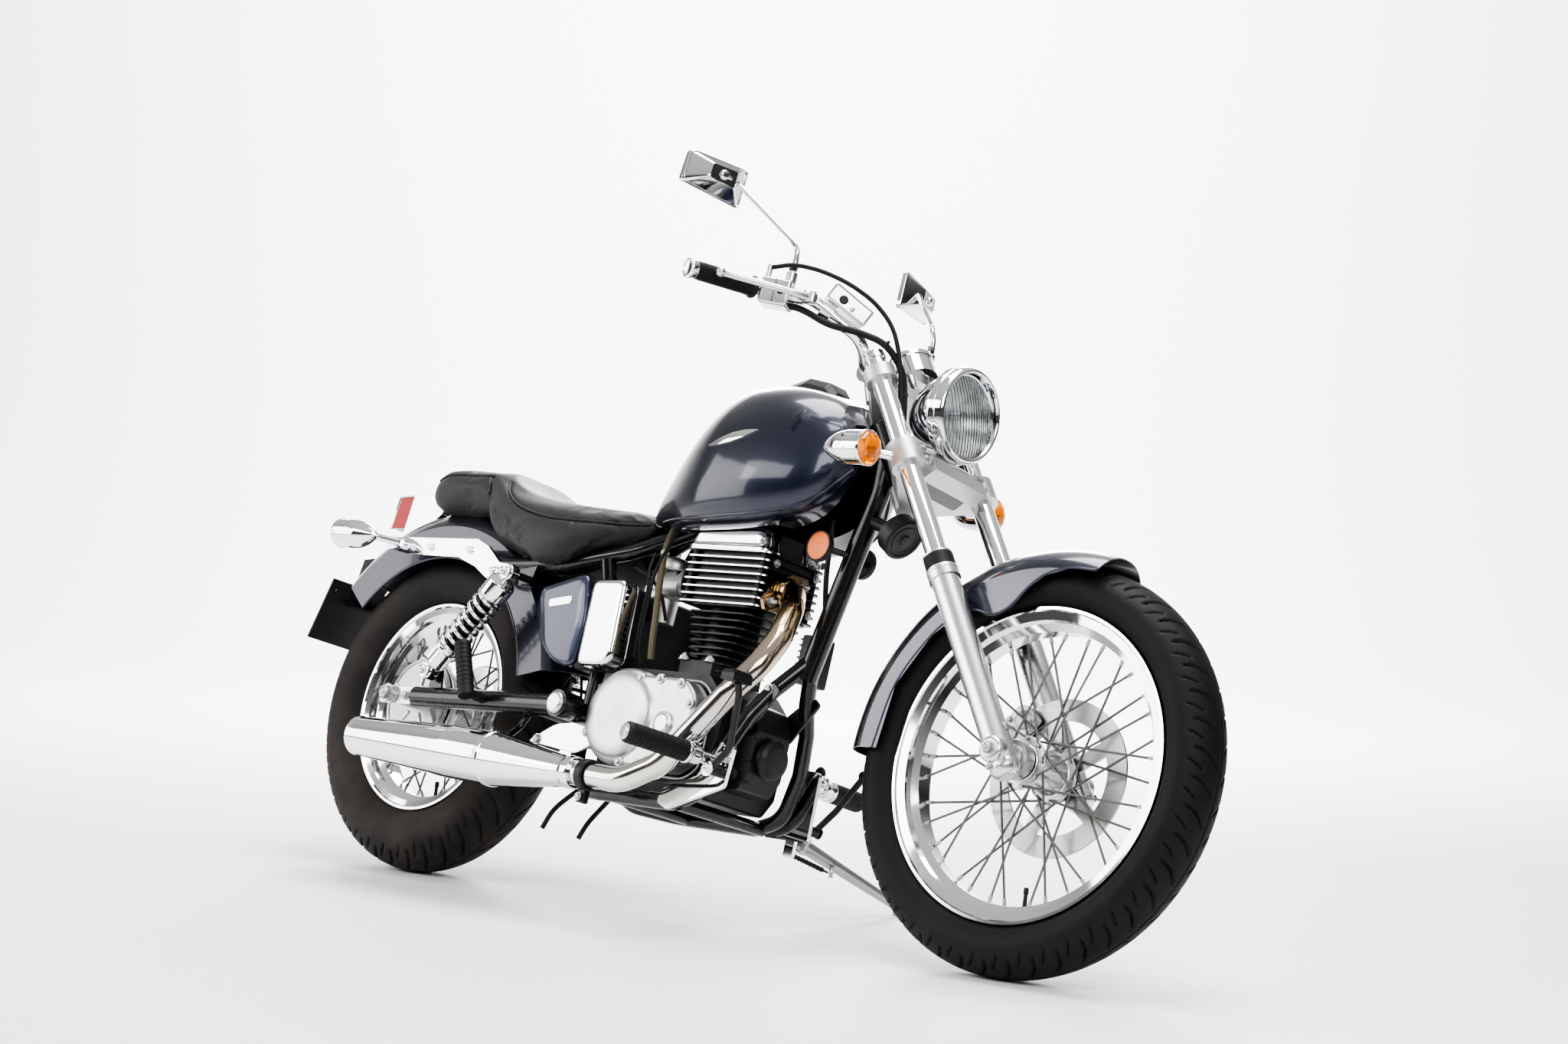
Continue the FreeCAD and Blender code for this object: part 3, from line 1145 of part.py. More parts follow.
def side_stand():
    """The stand is drawn parked, because its foot lies flat on the ground."""
    pivot = park_point(stand_pivot)
    foot = V(pivot.x + stand_foot_ahead, stand_foot_out, 0)
    top = foot + V(0, 0, 5)
    leg = cone(pivot, top + V(0, -4, 3), 13, 8)
    pad = Part.makeCylinder(22, 6, foot)
    hub = body_turn.multVec(stand_axis)
    boss = rod(pivot - hub * stand_boss_half, pivot + hub * stand_boss_half, stand_boss_radius)
    lug = rod(pivot + (top - pivot) * 0.3, pivot + stand_lug, 4)
    tip = rod(pivot + stand_lug - V(0, 0, 5), pivot + stand_lug + V(0, 0, 5), 4)
    shape = fuse([leg, pad, boss, lug, tip])
    return shape.cut(rod(pivot - hub * 20, pivot + hub * 20, stand_pin_radius + seat_gap))


def make_all():
    """Every node of the upright, straight motorcycle, by the body that carries it."""
    chassis = {}
    frame = frame_solids(0)
    fat_frame = frame_solids(seat_gap)
    chassis["frame_tubes"] = frame
    for name, shape in engine().items():
        chassis[name] = shape.cut(fat_frame)
    for name, shape in intake_and_boxes().items():
        chassis[name] = shape.cut(fat_frame)
    chassis["carburettor"] = chassis["carburettor"].cut(chassis["air_box"]).cut(chassis["cylinder_head"])
    chassis.update(exhaust())
    chassis.update(tank())
    rider, pillion = seats()
    fender, rails, housing, lens = rear_body()
    fat_fender = arch(rear_axle, rear_fender_radius + seat_gap, fender_half + seat_gap, 112 + seat_gap,
                      60, 14, 150)
    fender = fender.cut(fat_frame)
    chassis["rear_fender"] = fender
    chassis["fender_rails"] = rails
    chassis["rider_seat"] = rider.cut(fat_frame).cut(fat_fender).cut(chassis["fuel_tank"])
    chassis["pillion_seat"] = pillion.cut(fat_frame).cut(fat_fender)
    chassis["tail_lamp"] = housing.cut(lens).cut(fat_fender)
    chassis["side_covers"] = chassis["side_covers"].cut(fat_fender)
    chassis["air_box"] = chassis["air_box"].cut(fat_fender)
    swingarm, shocks = rear_suspension()
    chassis["swingarm"] = swingarm
    chassis["shock_absorbers"] = shocks
    chassis.update(rear_details())
    chassis["rear_lenses"] = group([lens.cut(fat_fender), chassis["rear_lenses"]])
    chassis.update(foot_pieces())
    chassis["peg_brackets"] = chassis["peg_brackets"].cut(fat_frame)
    chassis["side_reflectors"] = chassis["side_reflectors"].cut(fat_frame)
    chassis["horn"] = chassis["horn"].cut(fat_frame)
    chassis["plate_holder"] = chassis["plate_holder"].cut(fat_fender)
    return {"chassis": chassis, "fork": front_end(), "front_wheel": front_wheel(), "rear_wheel": rear_wheel()}


def finished():
    """Every node in its parked place, with the floor's centre point as origin."""
    bodies = {}
    for body, nodes in make_all().items():
        steered = body in ("fork", "front_wheel")
        bodies[body] = {name: park(shape, steered) for name, shape in nodes.items()}
    bodies["side_stand"] = {"side_stand": side_stand(), "stand_spring": stand_spring()}
    boxes = [shape.optimalBoundingBox(False) for nodes in bodies.values() for shape in nodes.values()]
    middle_x = (min(b.XMin for b in boxes) + max(b.XMax for b in boxes)) / 2
    middle_y = (min(b.YMin for b in boxes) + max(b.YMax for b in boxes)) / 2
    shift = V(-middle_x, -middle_y, 0)
    for nodes in bodies.values():
        for name in nodes:
            nodes[name].translate(shift)
    return bodies, shift


if __name__ == "__main__":
    os.makedirs("parts", exist_ok=True)
    bodies, shift = finished()
    for body, nodes in bodies.items():
        for name, shape in nodes.items():
            shape.exportStep("parts/" + name + ".step")
            print(body, name, len(shape.Solids), shape.isValid(), round(shape.Volume / 1000.0))
    print("cable arc radii", arc_radii(bundle_path), arc_radii(hose_path))
    print("origin", shift, "pitch", pitch_at_rest, "rise", rise_at_rest)
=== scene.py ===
import json
import math

import bmesh
import bpy
from mathutils import Matrix, Vector
from mathutils.bvhtree import BVHTree
from mathutils.kdtree import KDTree


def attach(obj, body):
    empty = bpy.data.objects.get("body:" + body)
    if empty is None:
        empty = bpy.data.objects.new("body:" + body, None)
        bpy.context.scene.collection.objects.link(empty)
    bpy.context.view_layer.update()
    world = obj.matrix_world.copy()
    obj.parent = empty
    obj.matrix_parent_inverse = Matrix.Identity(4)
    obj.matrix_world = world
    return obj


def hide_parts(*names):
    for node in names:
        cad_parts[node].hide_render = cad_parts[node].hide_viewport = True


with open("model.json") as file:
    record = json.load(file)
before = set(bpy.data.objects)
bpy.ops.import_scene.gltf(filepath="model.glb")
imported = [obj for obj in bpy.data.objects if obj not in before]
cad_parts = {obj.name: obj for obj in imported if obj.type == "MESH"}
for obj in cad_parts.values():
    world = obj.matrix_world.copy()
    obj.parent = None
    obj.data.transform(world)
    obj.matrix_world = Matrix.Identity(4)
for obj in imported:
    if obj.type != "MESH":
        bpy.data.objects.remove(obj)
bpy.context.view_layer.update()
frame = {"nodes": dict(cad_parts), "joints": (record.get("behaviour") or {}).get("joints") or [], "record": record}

# The motorcycle is described upright and straight ahead, in millimetres: x forward from the
# rear axle, y to the rider's left, z up. The joints of the frame say how it is parked.
print("stage: stance")
stance = {"rake": 35.0, "wheelbase": 1480.0, "rearRadius": 316.5, "frontRadius": 340.0, "steerFoot": 1627.0}
joints = {joint["name"]: joint for joint in frame["joints"]}
rakeSin = math.sin(math.radians(stance["rake"]))
rakeCos = math.cos(math.radians(stance["rake"]))
sideways = Vector(joints["rear_wheel_spin"]["axis"])
steerUp = Vector(joints["steering"]["axis"])
steerAhead = sideways.cross(steerUp)
forwards = steerUp * -rakeSin + steerAhead * rakeCos
upwards = steerUp * rakeCos + steerAhead * rakeSin
rearAxleRow = Vector(joints["rear_wheel_spin"]["pos_m"])
steerRow = Vector(joints["steering"]["pos_m"])
steerAtRest = -sum(joints["steering"]["range_deg"]) / 2
steerTurn = Matrix.Rotation(math.radians(steerAtRest), 3, steerUp)
rearAxle = Vector((0, 0, stance["rearRadius"]))
frontAxle = Vector((stance["wheelbase"], 0, stance["frontRadius"]))


def onChassis(p):
    d = (Vector(p) - rearAxle) / 1000
    return rearAxleRow + forwards * d.x + sideways * d.y + upwards * d.z


def onFork(p):
    return steerRow + steerTurn @ (onChassis(p) - steerRow)


def alongFork(s, ahead, side):
    # s runs up the steering axis from the ground, ahead is in front of it
    return Vector((stance["steerFoot"] - s * rakeSin + ahead * rakeCos, side, s * rakeCos + ahead * rakeSin))


# Camera: the photograph's own view, found from the wheels, lamp and tank
print("stage: camera")
cameraSetup = {"fromRearAxle": (4477.1, -3663.8, 484.0), "yaw": 44.27, "pitch": -0.959, "roll": 1.607,
    "lens": 67.72, "sensor": 36.0}


def makeCamera(setup):
    yaw, pitch, roll = (math.radians(setup[k]) for k in ("yaw", "pitch", "roll"))
    ahead = Vector((-math.sin(yaw) * math.cos(pitch), math.cos(yaw) * math.cos(pitch), math.sin(pitch)))
    right = Vector((math.cos(yaw), math.sin(yaw), 0))
    up = right.cross(ahead)
    rightRolled = right * math.cos(roll) + up * math.sin(roll)
    upRolled = up * math.cos(roll) - right * math.sin(roll)
    camera = bpy.data.objects.new("photoCamera", bpy.data.cameras.new("photoCamera"))
    bpy.context.scene.collection.objects.link(camera)
    camera.data.lens = setup["lens"]
    camera.data.sensor_width = setup["sensor"]
    camera.data.clip_start = 0.05
    turn = Matrix((rightRolled, upRolled, -ahead)).transposed().to_4x4()
    place = rearAxleRow + Vector(setup["fromRearAxle"]) / 1000
    camera.matrix_world = Matrix.Translation(place) @ turn
    bpy.context.scene.camera = camera


makeCamera(cameraSetup)

# Shader helpers
print("stage: materials")


def addNode(tree, kind, values=None, **settings):
    node = tree.nodes.new(kind)
    for key, value in settings.items():
        setattr(node, key, value)
    for key, value in (values or {}).items():
        node.inputs[key].default_value = value
    return node


def join(tree, fromNode, fromSocket, toNode, toSocket):
    tree.links.new(fromNode.outputs[fromSocket], toNode.inputs[toSocket])


def mathNode(tree, operation, a, b=None, clamp=False):
    node = addNode(tree, "ShaderNodeMath", operation=operation, use_clamp=clamp)
    for index, value in enumerate((a, b)):
        if value is None:
            continue
        if isinstance(value, (int, float)):
            node.inputs[index].default_value = value
        else:
            tree.links.new(value, node.inputs[index])
    return node.outputs[0]


def mixColour(tree, share, a, b):
    node = addNode(tree, "ShaderNodeMix", data_type="RGBA")
    for socket, value in ((node.inputs[0], share), (node.inputs[6], a), (node.inputs[7], b)):
        if isinstance(value, (tuple, float, int)):
            socket.default_value = value
        else:
            tree.links.new(value, socket)
    return node.outputs[2]


def mixValue(tree, share, a, b):
    node = addNode(tree, "ShaderNodeMix", data_type="FLOAT")
    for socket, value in ((node.inputs[0], share), (node.inputs[2], a), (node.inputs[3], b)):
        if isinstance(value, (float, int)):
            socket.default_value = value
        else:
            tree.links.new(value, socket)
    return node.outputs[0]


def ramp(tree, value, low, high):
    node = addNode(tree, "ShaderNodeMapRange", {1: low, 2: high}, clamp=True)
    tree.links.new(value, node.inputs[0])
    return node.outputs[0]


def newGroup(name, inputs, outputs):
    group = bpy.data.node_groups.new(name, "ShaderNodeTree")
    for label, kind, value in inputs:
        socket = group.interface.new_socket(label, in_out="INPUT", socket_type="NodeSocket" + kind)
        socket.default_value = value
    for label, kind in outputs:
        group.interface.new_socket(label, in_out="OUTPUT", socket_type="NodeSocket" + kind)
    start = group.nodes.new("NodeGroupInput")
    end = group.nodes.new("NodeGroupOutput")
    return group, start, end


def makeGrainGroup():
    # cast skin, moulded plastic, orange peel: two sizes of noise as a height and a value
    group, start, end = newGroup("fineGrain", [("Scale", "Float", 300.0), ("Coarse", "Float", 0.3)],
        [("Height", "Float"), ("Value", "Float")])
    coords = addNode(group, "ShaderNodeTexCoord")
    fine = addNode(group, "ShaderNodeTexNoise", {"Detail": 3.0, "Roughness": 0.6})
    coarse = addNode(group, "ShaderNodeTexNoise", {"Detail": 2.0})
    for noise in (fine, coarse):
        join(group, coords, "Object", noise, "Vector")
    join(group, start, "Scale", fine, "Scale")
    group.links.new(mathNode(group, "MULTIPLY", start.outputs["Scale"], 0.12), coarse.inputs["Scale"])
    height = mixValue(group, start.outputs["Coarse"], fine.outputs[0], coarse.outputs[0])
    group.links.new(height, end.inputs["Height"])
    group.links.new(coarse.outputs[0], end.inputs["Value"])
    return group


def makeDustGroup():
    # road dust: thicker low down and on faces that look up, broken by noise
    group, start, end = newGroup("roadDust", [("Amount", "Float", 0.3), ("Low", "Float", 0.05),
        ("High", "Float", 0.6), ("Scale", "Float", 9.0)], [("Mask", "Float")])
    coords = addNode(group, "ShaderNodeTexCoord")
    geometry = addNode(group, "ShaderNodeNewGeometry")
    cloud = addNode(group, "ShaderNodeTexNoise", {"Detail": 5.0, "Roughness": 0.65})
    join(group, coords, "Object", cloud, "Vector")
    join(group, start, "Scale", cloud, "Scale")
    place = addNode(group, "ShaderNodeSeparateXYZ")
    join(group, coords, "Object", place, 0)
    facing = addNode(group, "ShaderNodeSeparateXYZ")
    join(group, geometry, "Normal", facing, 0)
    lowness = addNode(group, "ShaderNodeMapRange", {3: 1.0, 4: 0.25}, clamp=True)
    join(group, place, "Z", lowness, 0)
    join(group, start, "Low", lowness, 1)
    join(group, start, "High", lowness, 2)
    up = ramp(group, facing.outputs["Z"], -0.4, 1.0)
    patch = ramp(group, cloud.outputs[0], 0.35, 0.75)
    both = mathNode(group, "MULTIPLY", lowness.outputs[0], mathNode(group, "ADD", up, patch))
    group.links.new(mathNode(group, "MULTIPLY", both, start.outputs["Amount"], True), end.inputs["Mask"])
    return group


def makeSmudgeGroup():
    # handling marks and polish haze, as a small change of roughness
    group, start, end = newGroup("polishHaze", [("Scale", "Float", 18.0), ("Base", "Float", 0.05),
        ("Spread", "Float", 0.08)], [("Rough", "Float")])
    coords = addNode(group, "ShaderNodeTexCoord")
    cloud = addNode(group, "ShaderNodeTexNoise", {"Detail": 6.0, "Roughness": 0.7, "Distortion": 0.4})
    join(group, coords, "Object", cloud, "Vector")
    join(group, start, "Scale", cloud, "Scale")
    share = ramp(group, cloud.outputs[0], 0.4, 0.8)
    spread = mathNode(group, "MULTIPLY", share, start.outputs["Spread"])
    group.links.new(mathNode(group, "ADD", spread, start.outputs["Base"]), end.inputs["Rough"])
    return group


grainGroup = makeGrainGroup()
dustGroup = makeDustGroup()
hazeGroup = makeSmudgeGroup()
dustColour = (0.20, 0.165, 0.13, 1)


def startMaterial(name, colour, roughness, metallic=0.0, **sockets):
    material = bpy.data.materials.new(name)
    material.use_nodes = True
    tree = material.node_tree
    shader = tree.nodes["Principled BSDF"]
    shader.inputs["Base Color"].default_value = (*colour, 1)
    shader.inputs["Roughness"].default_value = roughness
    shader.inputs["Metallic"].default_value = metallic
    for key, value in sockets.items():
        shader.inputs[key].default_value = value
    return material, tree, shader


def groupNode(tree, group, **values):
    node = addNode(tree, "ShaderNodeGroup", node_tree=group)
    for key, value in values.items():
        node.inputs[key].default_value = value
    return node


def addGrain(tree, shader, scale, strength, distance=0.001, coarse=0.3):
    grain = groupNode(tree, grainGroup, Scale=scale, Coarse=coarse)
    bump = addNode(tree, "ShaderNodeBump", {"Strength": strength, "Distance": distance})
    join(tree, grain, "Height", bump, "Height")
    join(tree, bump, "Normal", shader, "Normal")
    return grain


def addDust(tree, shader, colour, roughness, amount, low=0.05, high=0.6, dust=dustColour):
    veil = groupNode(tree, dustGroup, Amount=amount, Low=low, High=high)
    tree.links.new(mixColour(tree, veil.outputs["Mask"], colour, dust), shader.inputs["Base Color"])
    tree.links.new(mixValue(tree, veil.outputs["Mask"], roughness, 0.85), shader.inputs["Roughness"])
    return veil


def paintFinish(name, deep, sheenTint, amount=0.05):
    material, tree, shader = startMaterial(name, deep, 0.38, 0.35,
        **{"Coat Weight": 1.0, "Coat Roughness": 0.10})
    coords = addNode(tree, "ShaderNodeTexCoord")
    cells = addNode(tree, "ShaderNodeTexVoronoi", {"Scale": 2600.0})
    join(tree, coords, "Object", cells, "Vector")
    glint = ramp(tree, cells.outputs["Distance"], 0.28, 0.05)
    # painted sheen: a lighter blue tint is mixed into the paint's colour by the angle to the view
    fresnel = addNode(tree, "ShaderNodeLayerWeight", {"Blend": 0.35})
    edge = mathNode(tree, "SUBTRACT", 1.0, fresnel.outputs["Facing"])
    viewAngleSheen = mixColour(tree, mathNode(tree, "POWER", edge, 2.0), (*deep, 1), (*sheenTint, 1))
    flakesAndPaintedSheen = mixColour(tree, mathNode(tree, "MULTIPLY", glint, 0.06), viewAngleSheen, (0.2, 0.24, 0.4, 1))
    addDust(tree, shader, flakesAndPaintedSheen, 0.32, amount, 0.2, 0.7)
    return material


def chromeFinish(name, base=0.035, spread=0.07, colour=(0.86, 0.87, 0.88), dust=0.0):
    material, tree, shader = startMaterial(name, colour, base, 1.0)
    haze = groupNode(tree, hazeGroup, Base=base, Spread=spread)
    if dust:
        addDust(tree, shader, (*colour, 1), haze.outputs["Rough"], dust)
    else:
        join(tree, haze, "Rough", shader, "Roughness")
    return material


def castFinish(name, colour, roughness, metallic, scale=420.0, bump=0.35, dust=0.12, coat=0.0, distance=0.0006):
    material, tree, shader = startMaterial(name, colour, roughness, metallic, **{"Coat Weight": coat})
    addGrain(tree, shader, scale, bump, distance)
    haze = groupNode(tree, hazeGroup, Base=roughness, Spread=0.15, Scale=30.0)
    addDust(tree, shader, (*colour, 1), haze.outputs["Rough"], dust)
    return material


def brushedFinish(name, colour, roughness, direction=(0, 0, 0), stretch=(4.0, 260.0, 260.0), dust=0.05):
    # fine lines left by the polishing belt
    material, tree, shader = startMaterial(name, colour, roughness, 1.0)
    coords = addNode(tree, "ShaderNodeTexCoord")
    turn = addNode(tree, "ShaderNodeMapping", {"Rotation": direction, "Scale": stretch})
    lines = addNode(tree, "ShaderNodeTexNoise", {"Scale": 3.0, "Detail": 4.0, "Roughness": 0.7})
    join(tree, coords, "Object", turn, "Vector")
    join(tree, turn, "Vector", lines, "Vector")
    bump = addNode(tree, "ShaderNodeBump", {"Strength": 0.12, "Distance": 0.0003})
    join(tree, lines, 0, bump, "Height")
    join(tree, bump, "Normal", shader, "Normal")
    rough = mixValue(tree, lines.outputs[0], roughness * 0.7, roughness * 1.4)
    addDust(tree, shader, (*colour, 1), rough, dust)
    return material


def rubberFinish(name, colour=(0.010, 0.010, 0.010), roughness=0.55, dust=0.07, scale=260.0):
    material, tree, shader = startMaterial(name, colour, roughness, 0.0, **{"Specular IOR Level": 0.35})
    addGrain(tree, shader, scale, 0.3, 0.0005)
    addDust(tree, shader, (*colour, 1), roughness, dust)
    return material


def vinylFinish(name):
    # seat covering: small pebbles of grain between fine creases
    colour = (0.012, 0.012, 0.013)
    material, tree, shader = startMaterial(name, colour, 0.38, 0.0, **{"Sheen Weight": 0.08})
    coords = addNode(tree, "ShaderNodeTexCoord")
    pebbles = addNode(tree, "ShaderNodeTexVoronoi", {"Scale": 520.0}, feature="DISTANCE_TO_EDGE")
    creases = addNode(tree, "ShaderNodeTexNoise", {"Scale": 28.0, "Detail": 5.0, "Roughness": 0.6,
        "Distortion": 1.2})
    for texture in (pebbles, creases):
        join(tree, coords, "Object", texture, "Vector")
    pebble = ramp(tree, pebbles.outputs["Distance"], 0.0, 0.22)
    height = mathNode(tree, "ADD", pebble, mathNode(tree, "MULTIPLY", creases.outputs[0], 0.7))
    bump = addNode(tree, "ShaderNodeBump", {"Strength": 0.32, "Distance": 0.0006})
    tree.links.new(height, bump.inputs["Height"])
    join(tree, bump, "Normal", shader, "Normal")
    addDust(tree, shader, (*colour, 1), mixValue(tree, pebble, 0.55, 0.36), 0.05, 0.4, 0.9)
    return material


def glassFinish(name, colour, roughness, alpha, glow=0.0, coat=0.6):
    material, tree, shader = startMaterial(name, colour, roughness, 0.0,
        **{ "Transmission Weight": 1.0 if alpha < 1 else 0.0, "IOR": 1.49, "Coat Weight": coat})
    # glow: light given off in the lens's own colour, painted light on the amber indicator lenses
    if glow:
        shader.inputs["Emission Color"].default_value = (*colour, 1)
        shader.inputs["Emission Strength"].default_value = glow
    return material, tree, shader


def flutedGlass(name):
    # upright flutes pressed into the headlamp glass
    material, tree, shader = glassFinish(name, (0.93, 0.96, 0.97), 0.02, 0.3)
    coords = addNode(tree, "ShaderNodeTexCoord")
    flutes = addNode(tree, "ShaderNodeTexWave", {"Scale": 42.0, "Distortion": 0.0}, bands_direction="Y")
    join(tree, coords, "Object", flutes, "Vector")
    bump = addNode(tree, "ShaderNodeBump", {"Strength": 0.5, "Distance": 0.0012})
    join(tree, flutes, 1, bump, "Height")
    join(tree, bump, "Normal", shader, "Normal")
    return material


def heatedPipe(name):
    # chrome that the exhaust has turned straw and blue near the port
    material, tree, shader = startMaterial(name, (0.8, 0.78, 0.74), 0.08, 1.0)
    coords = addNode(tree, "ShaderNodeTexCoord")
    port = onChassis((856, -23, 592))
    gap = addNode(tree, "ShaderNodeVectorMath", {1: port}, operation="DISTANCE")
    join(tree, coords, "Object", gap, 0)
    cloud = addNode(tree, "ShaderNodeTexNoise", {"Scale": 14.0, "Detail": 4.0})
    join(tree, coords, "Object", cloud, "Vector")
    wobble = mathNode(tree, "MULTIPLY", mathNode(tree, "SUBTRACT", cloud.outputs[0], 0.5), 0.12)
    reach = mathNode(tree, "ADD", gap.outputs["Value"], wobble)
    bands = addNode(tree, "ShaderNodeValToRGB")
    tints = ((0.0, (0.28, 0.2, 0.13)), (0.16, (0.5, 0.36, 0.2)), (0.3, (0.60, 0.48, 0.33)),
        (0.42, (0.56, 0.48, 0.42)), (0.52, (0.60, 0.58, 0.58)), (0.66, (0.74, 0.70, 0.63)),
        (0.9, (0.8, 0.79, 0.77)))
    ladder = bands.color_ramp.elements
    ladder[0].position, ladder[0].color = tints[0][0], (*tints[0][1], 1)
    ladder[1].position, ladder[1].color = tints[-1][0], (*tints[-1][1], 1)
    for position, tint in tints[1:-1]:
        ladder.new(position).color = (*tint, 1)
    tree.links.new(mathNode(tree, "MULTIPLY", reach, 1.7), bands.inputs[0])
    haze = groupNode(tree, hazeGroup, Base=0.07, Spread=0.12, Scale=25.0)
    addDust(tree, shader, bands.outputs[0], haze.outputs["Rough"], 0.08)
    return material


def finEdgeFinish(name):
    # black cooling fins whose outer edges are ground bright on the two sides of the engine
    material, tree, shader = startMaterial(name, (0.009, 0.009, 0.010), 0.36)
    coords = addNode(tree, "ShaderNodeTexCoord")
    geometry = addNode(tree, "ShaderNodeNewGeometry")
    facing = addNode(tree, "ShaderNodeVectorMath", {1: sideways}, operation="DOT_PRODUCT")
    across = addNode(tree, "ShaderNodeVectorMath", {1: sideways}, operation="DOT_PRODUCT")
    join(tree, geometry, "Normal", facing, 0)
    join(tree, coords, "Object", across, 0)
    fromMiddle = mathNode(tree, "SUBTRACT", across.outputs["Value"], onChassis((0, 0, 0)).dot(sideways))
    outer = ramp(tree, mathNode(tree, "ABSOLUTE", fromMiddle), 0.066, 0.068)
    side = ramp(tree, mathNode(tree, "ABSOLUTE", facing.outputs["Value"]), 0.30, 0.55)
    mask = mathNode(tree, "MULTIPLY", outer, side)
    tree.links.new(mixColour(tree, mask, (0.009, 0.009, 0.010, 1), (0.74, 0.74, 0.73, 1)),
        shader.inputs["Base Color"])
    tree.links.new(mask, shader.inputs["Metallic"])
    tree.links.new(mixValue(tree, mask, 0.36, 0.2), shader.inputs["Roughness"])
    return material


def tyreFinish(name, amount):
    # brown-grey road dust over black rubber
    material, tree, shader = startMaterial(name, (0.009, 0.009, 0.009), 0.6, 0.0, **{"Specular IOR Level": 0.3})
    addGrain(tree, shader, 380.0, 0.3, 0.0006)
    addDust(tree, shader, (0.008, 0.008, 0.009, 1), 0.6, amount, 0.0, 0.75, (0.10, 0.080, 0.066, 1))
    return material


# the amber lenses get a faint glow (0.22), painted light standing in for studio light seen through them
finishes = { "paint": paintFinish("tankPaint", (0.0022, 0.0030, 0.0090), (0.010, 0.014, 0.040)),
    "side_paint": paintFinish("sidePaint", (0.010, 0.013, 0.030), (0.035, 0.045, 0.090), 0.05),
    "frame_black": castFinish("framePaint", (0.006, 0.006, 0.007), 0.20, 0.0, 120.0, 0.08, 0.03, 0.4),
    "engine_black": castFinish("enginePaint", (0.009, 0.009, 0.010), 0.38, 0.0, 520.0, 0.35, 0.06),
    "chrome": chromeFinish("chrome", 0.035, 0.06, (0.86, 0.87, 0.88), 0.03),
    "satin_aluminium": brushedFinish("satinAluminium", (0.72, 0.72, 0.72), 0.26),
    "cast_aluminium": castFinish("castAluminium", (0.62, 0.62, 0.61), 0.38, 1.0, 700.0, 0.3, 0.08),
    "steel": castFinish("zincSteel", (0.5, 0.5, 0.5), 0.32, 1.0, 300.0, 0.12, 0.12),
    "rubber": rubberFinish("blackRubber"), "tyre": tyreFinish("tyreRubber", 0.06),
    "dusty_tyre": tyreFinish("dustyTyre", 0.45), "seat_vinyl": vinylFinish("seatVinyl"),
    "black_plastic": castFinish("blackPlastic", (0.010, 0.010, 0.011), 0.45, 0.0, 600.0, 0.25, 0.04),
    "spoke_steel": castFinish("spokeSteel", (0.17, 0.165, 0.16), 0.38, 1.0, 300.0, 0.12, 0.10),
    "disc_steel": brushedFinish("discSteel", (0.40, 0.40, 0.395), 0.28), "red_lens": glassFinish("redLens",
    (0.42, 0.004, 0.006), 0.32, 1.0, 0.0, 0.1)[0], "amber_lens": glassFinish("amberLens", (0.95, 0.27, 0.008),
    0.06, 0.5, 0.22)[0], "amber_reflector": glassFinish("amberReflector", (0.70, 0.15, 0.004), 0.36, 1.0, 0.0,
    0.15)[0], "fin_edges": finEdgeFinish("finEdges"), "cover_silver": castFinish("coverSilver",
    (0.60, 0.61, 0.62), 0.30, 0.95, 900.0, 0.05, 0.04), "clear_glass": flutedGlass("headlampGlass"),
    "dial_glass": glassFinish("dialGlass", (0.97, 0.98, 0.98), 0.01, 0.3)[0],
    "heated": heatedPipe("headerChrome"), "reflector": startMaterial("lampReflector", (0.93, 0.93, 0.92),
    0.26, 0.55)[0], "mirror_glass": startMaterial("mirrorGlass", (0.80, 0.82, 0.84), 0.02, 1.0)[0],
    "plate_white": castFinish("plateWhite", (0.72, 0.72, 0.70), 0.4, 0.0, 200.0, 0.05, 0.10),
    "tan_hose": rubberFinish("oliveHose", (0.11, 0.095, 0.060), 0.42, 0.05, 200.0), }
for part in frame["record"]["subparts"]:
    frame["nodes"][part["node"]].material_slots[0].material = finishes[part["material_slot"]]
frame["nodes"]["exhaust_pipe"].material_slots[0].material = finishes["heated"]
frame["nodes"]["cylinder_head"].material_slots[0].material = finishes["fin_edges"]
frame["nodes"]["tail_lamp"].material_slots[0].material = finishes["chrome"]
frame["nodes"]["brake_disc"].material_slots[0].material = finishes["disc_steel"]
frame["nodes"]["stand_spring"].material_slots[0].material = finishes["engine_black"]

# Floor that curves up into the backdrop, an even sky and soft boxes
print("stage: studio")
studio = {"floorColour": (0.92, 0.92, 0.92), "wallColour": (0.62, 0.62, 0.62), "floorReach": 9.0,
    "curve": 3.0, "backHeight": 6.0, "sky": 0.36, "frontBox": 90.0, "sideBox": 48.0, "topBox": 120.0,
    "backBox": 90.0, "wallBox": 900.0, "rightWallBox": 120.0, "look": "AgX - High Contrast"}


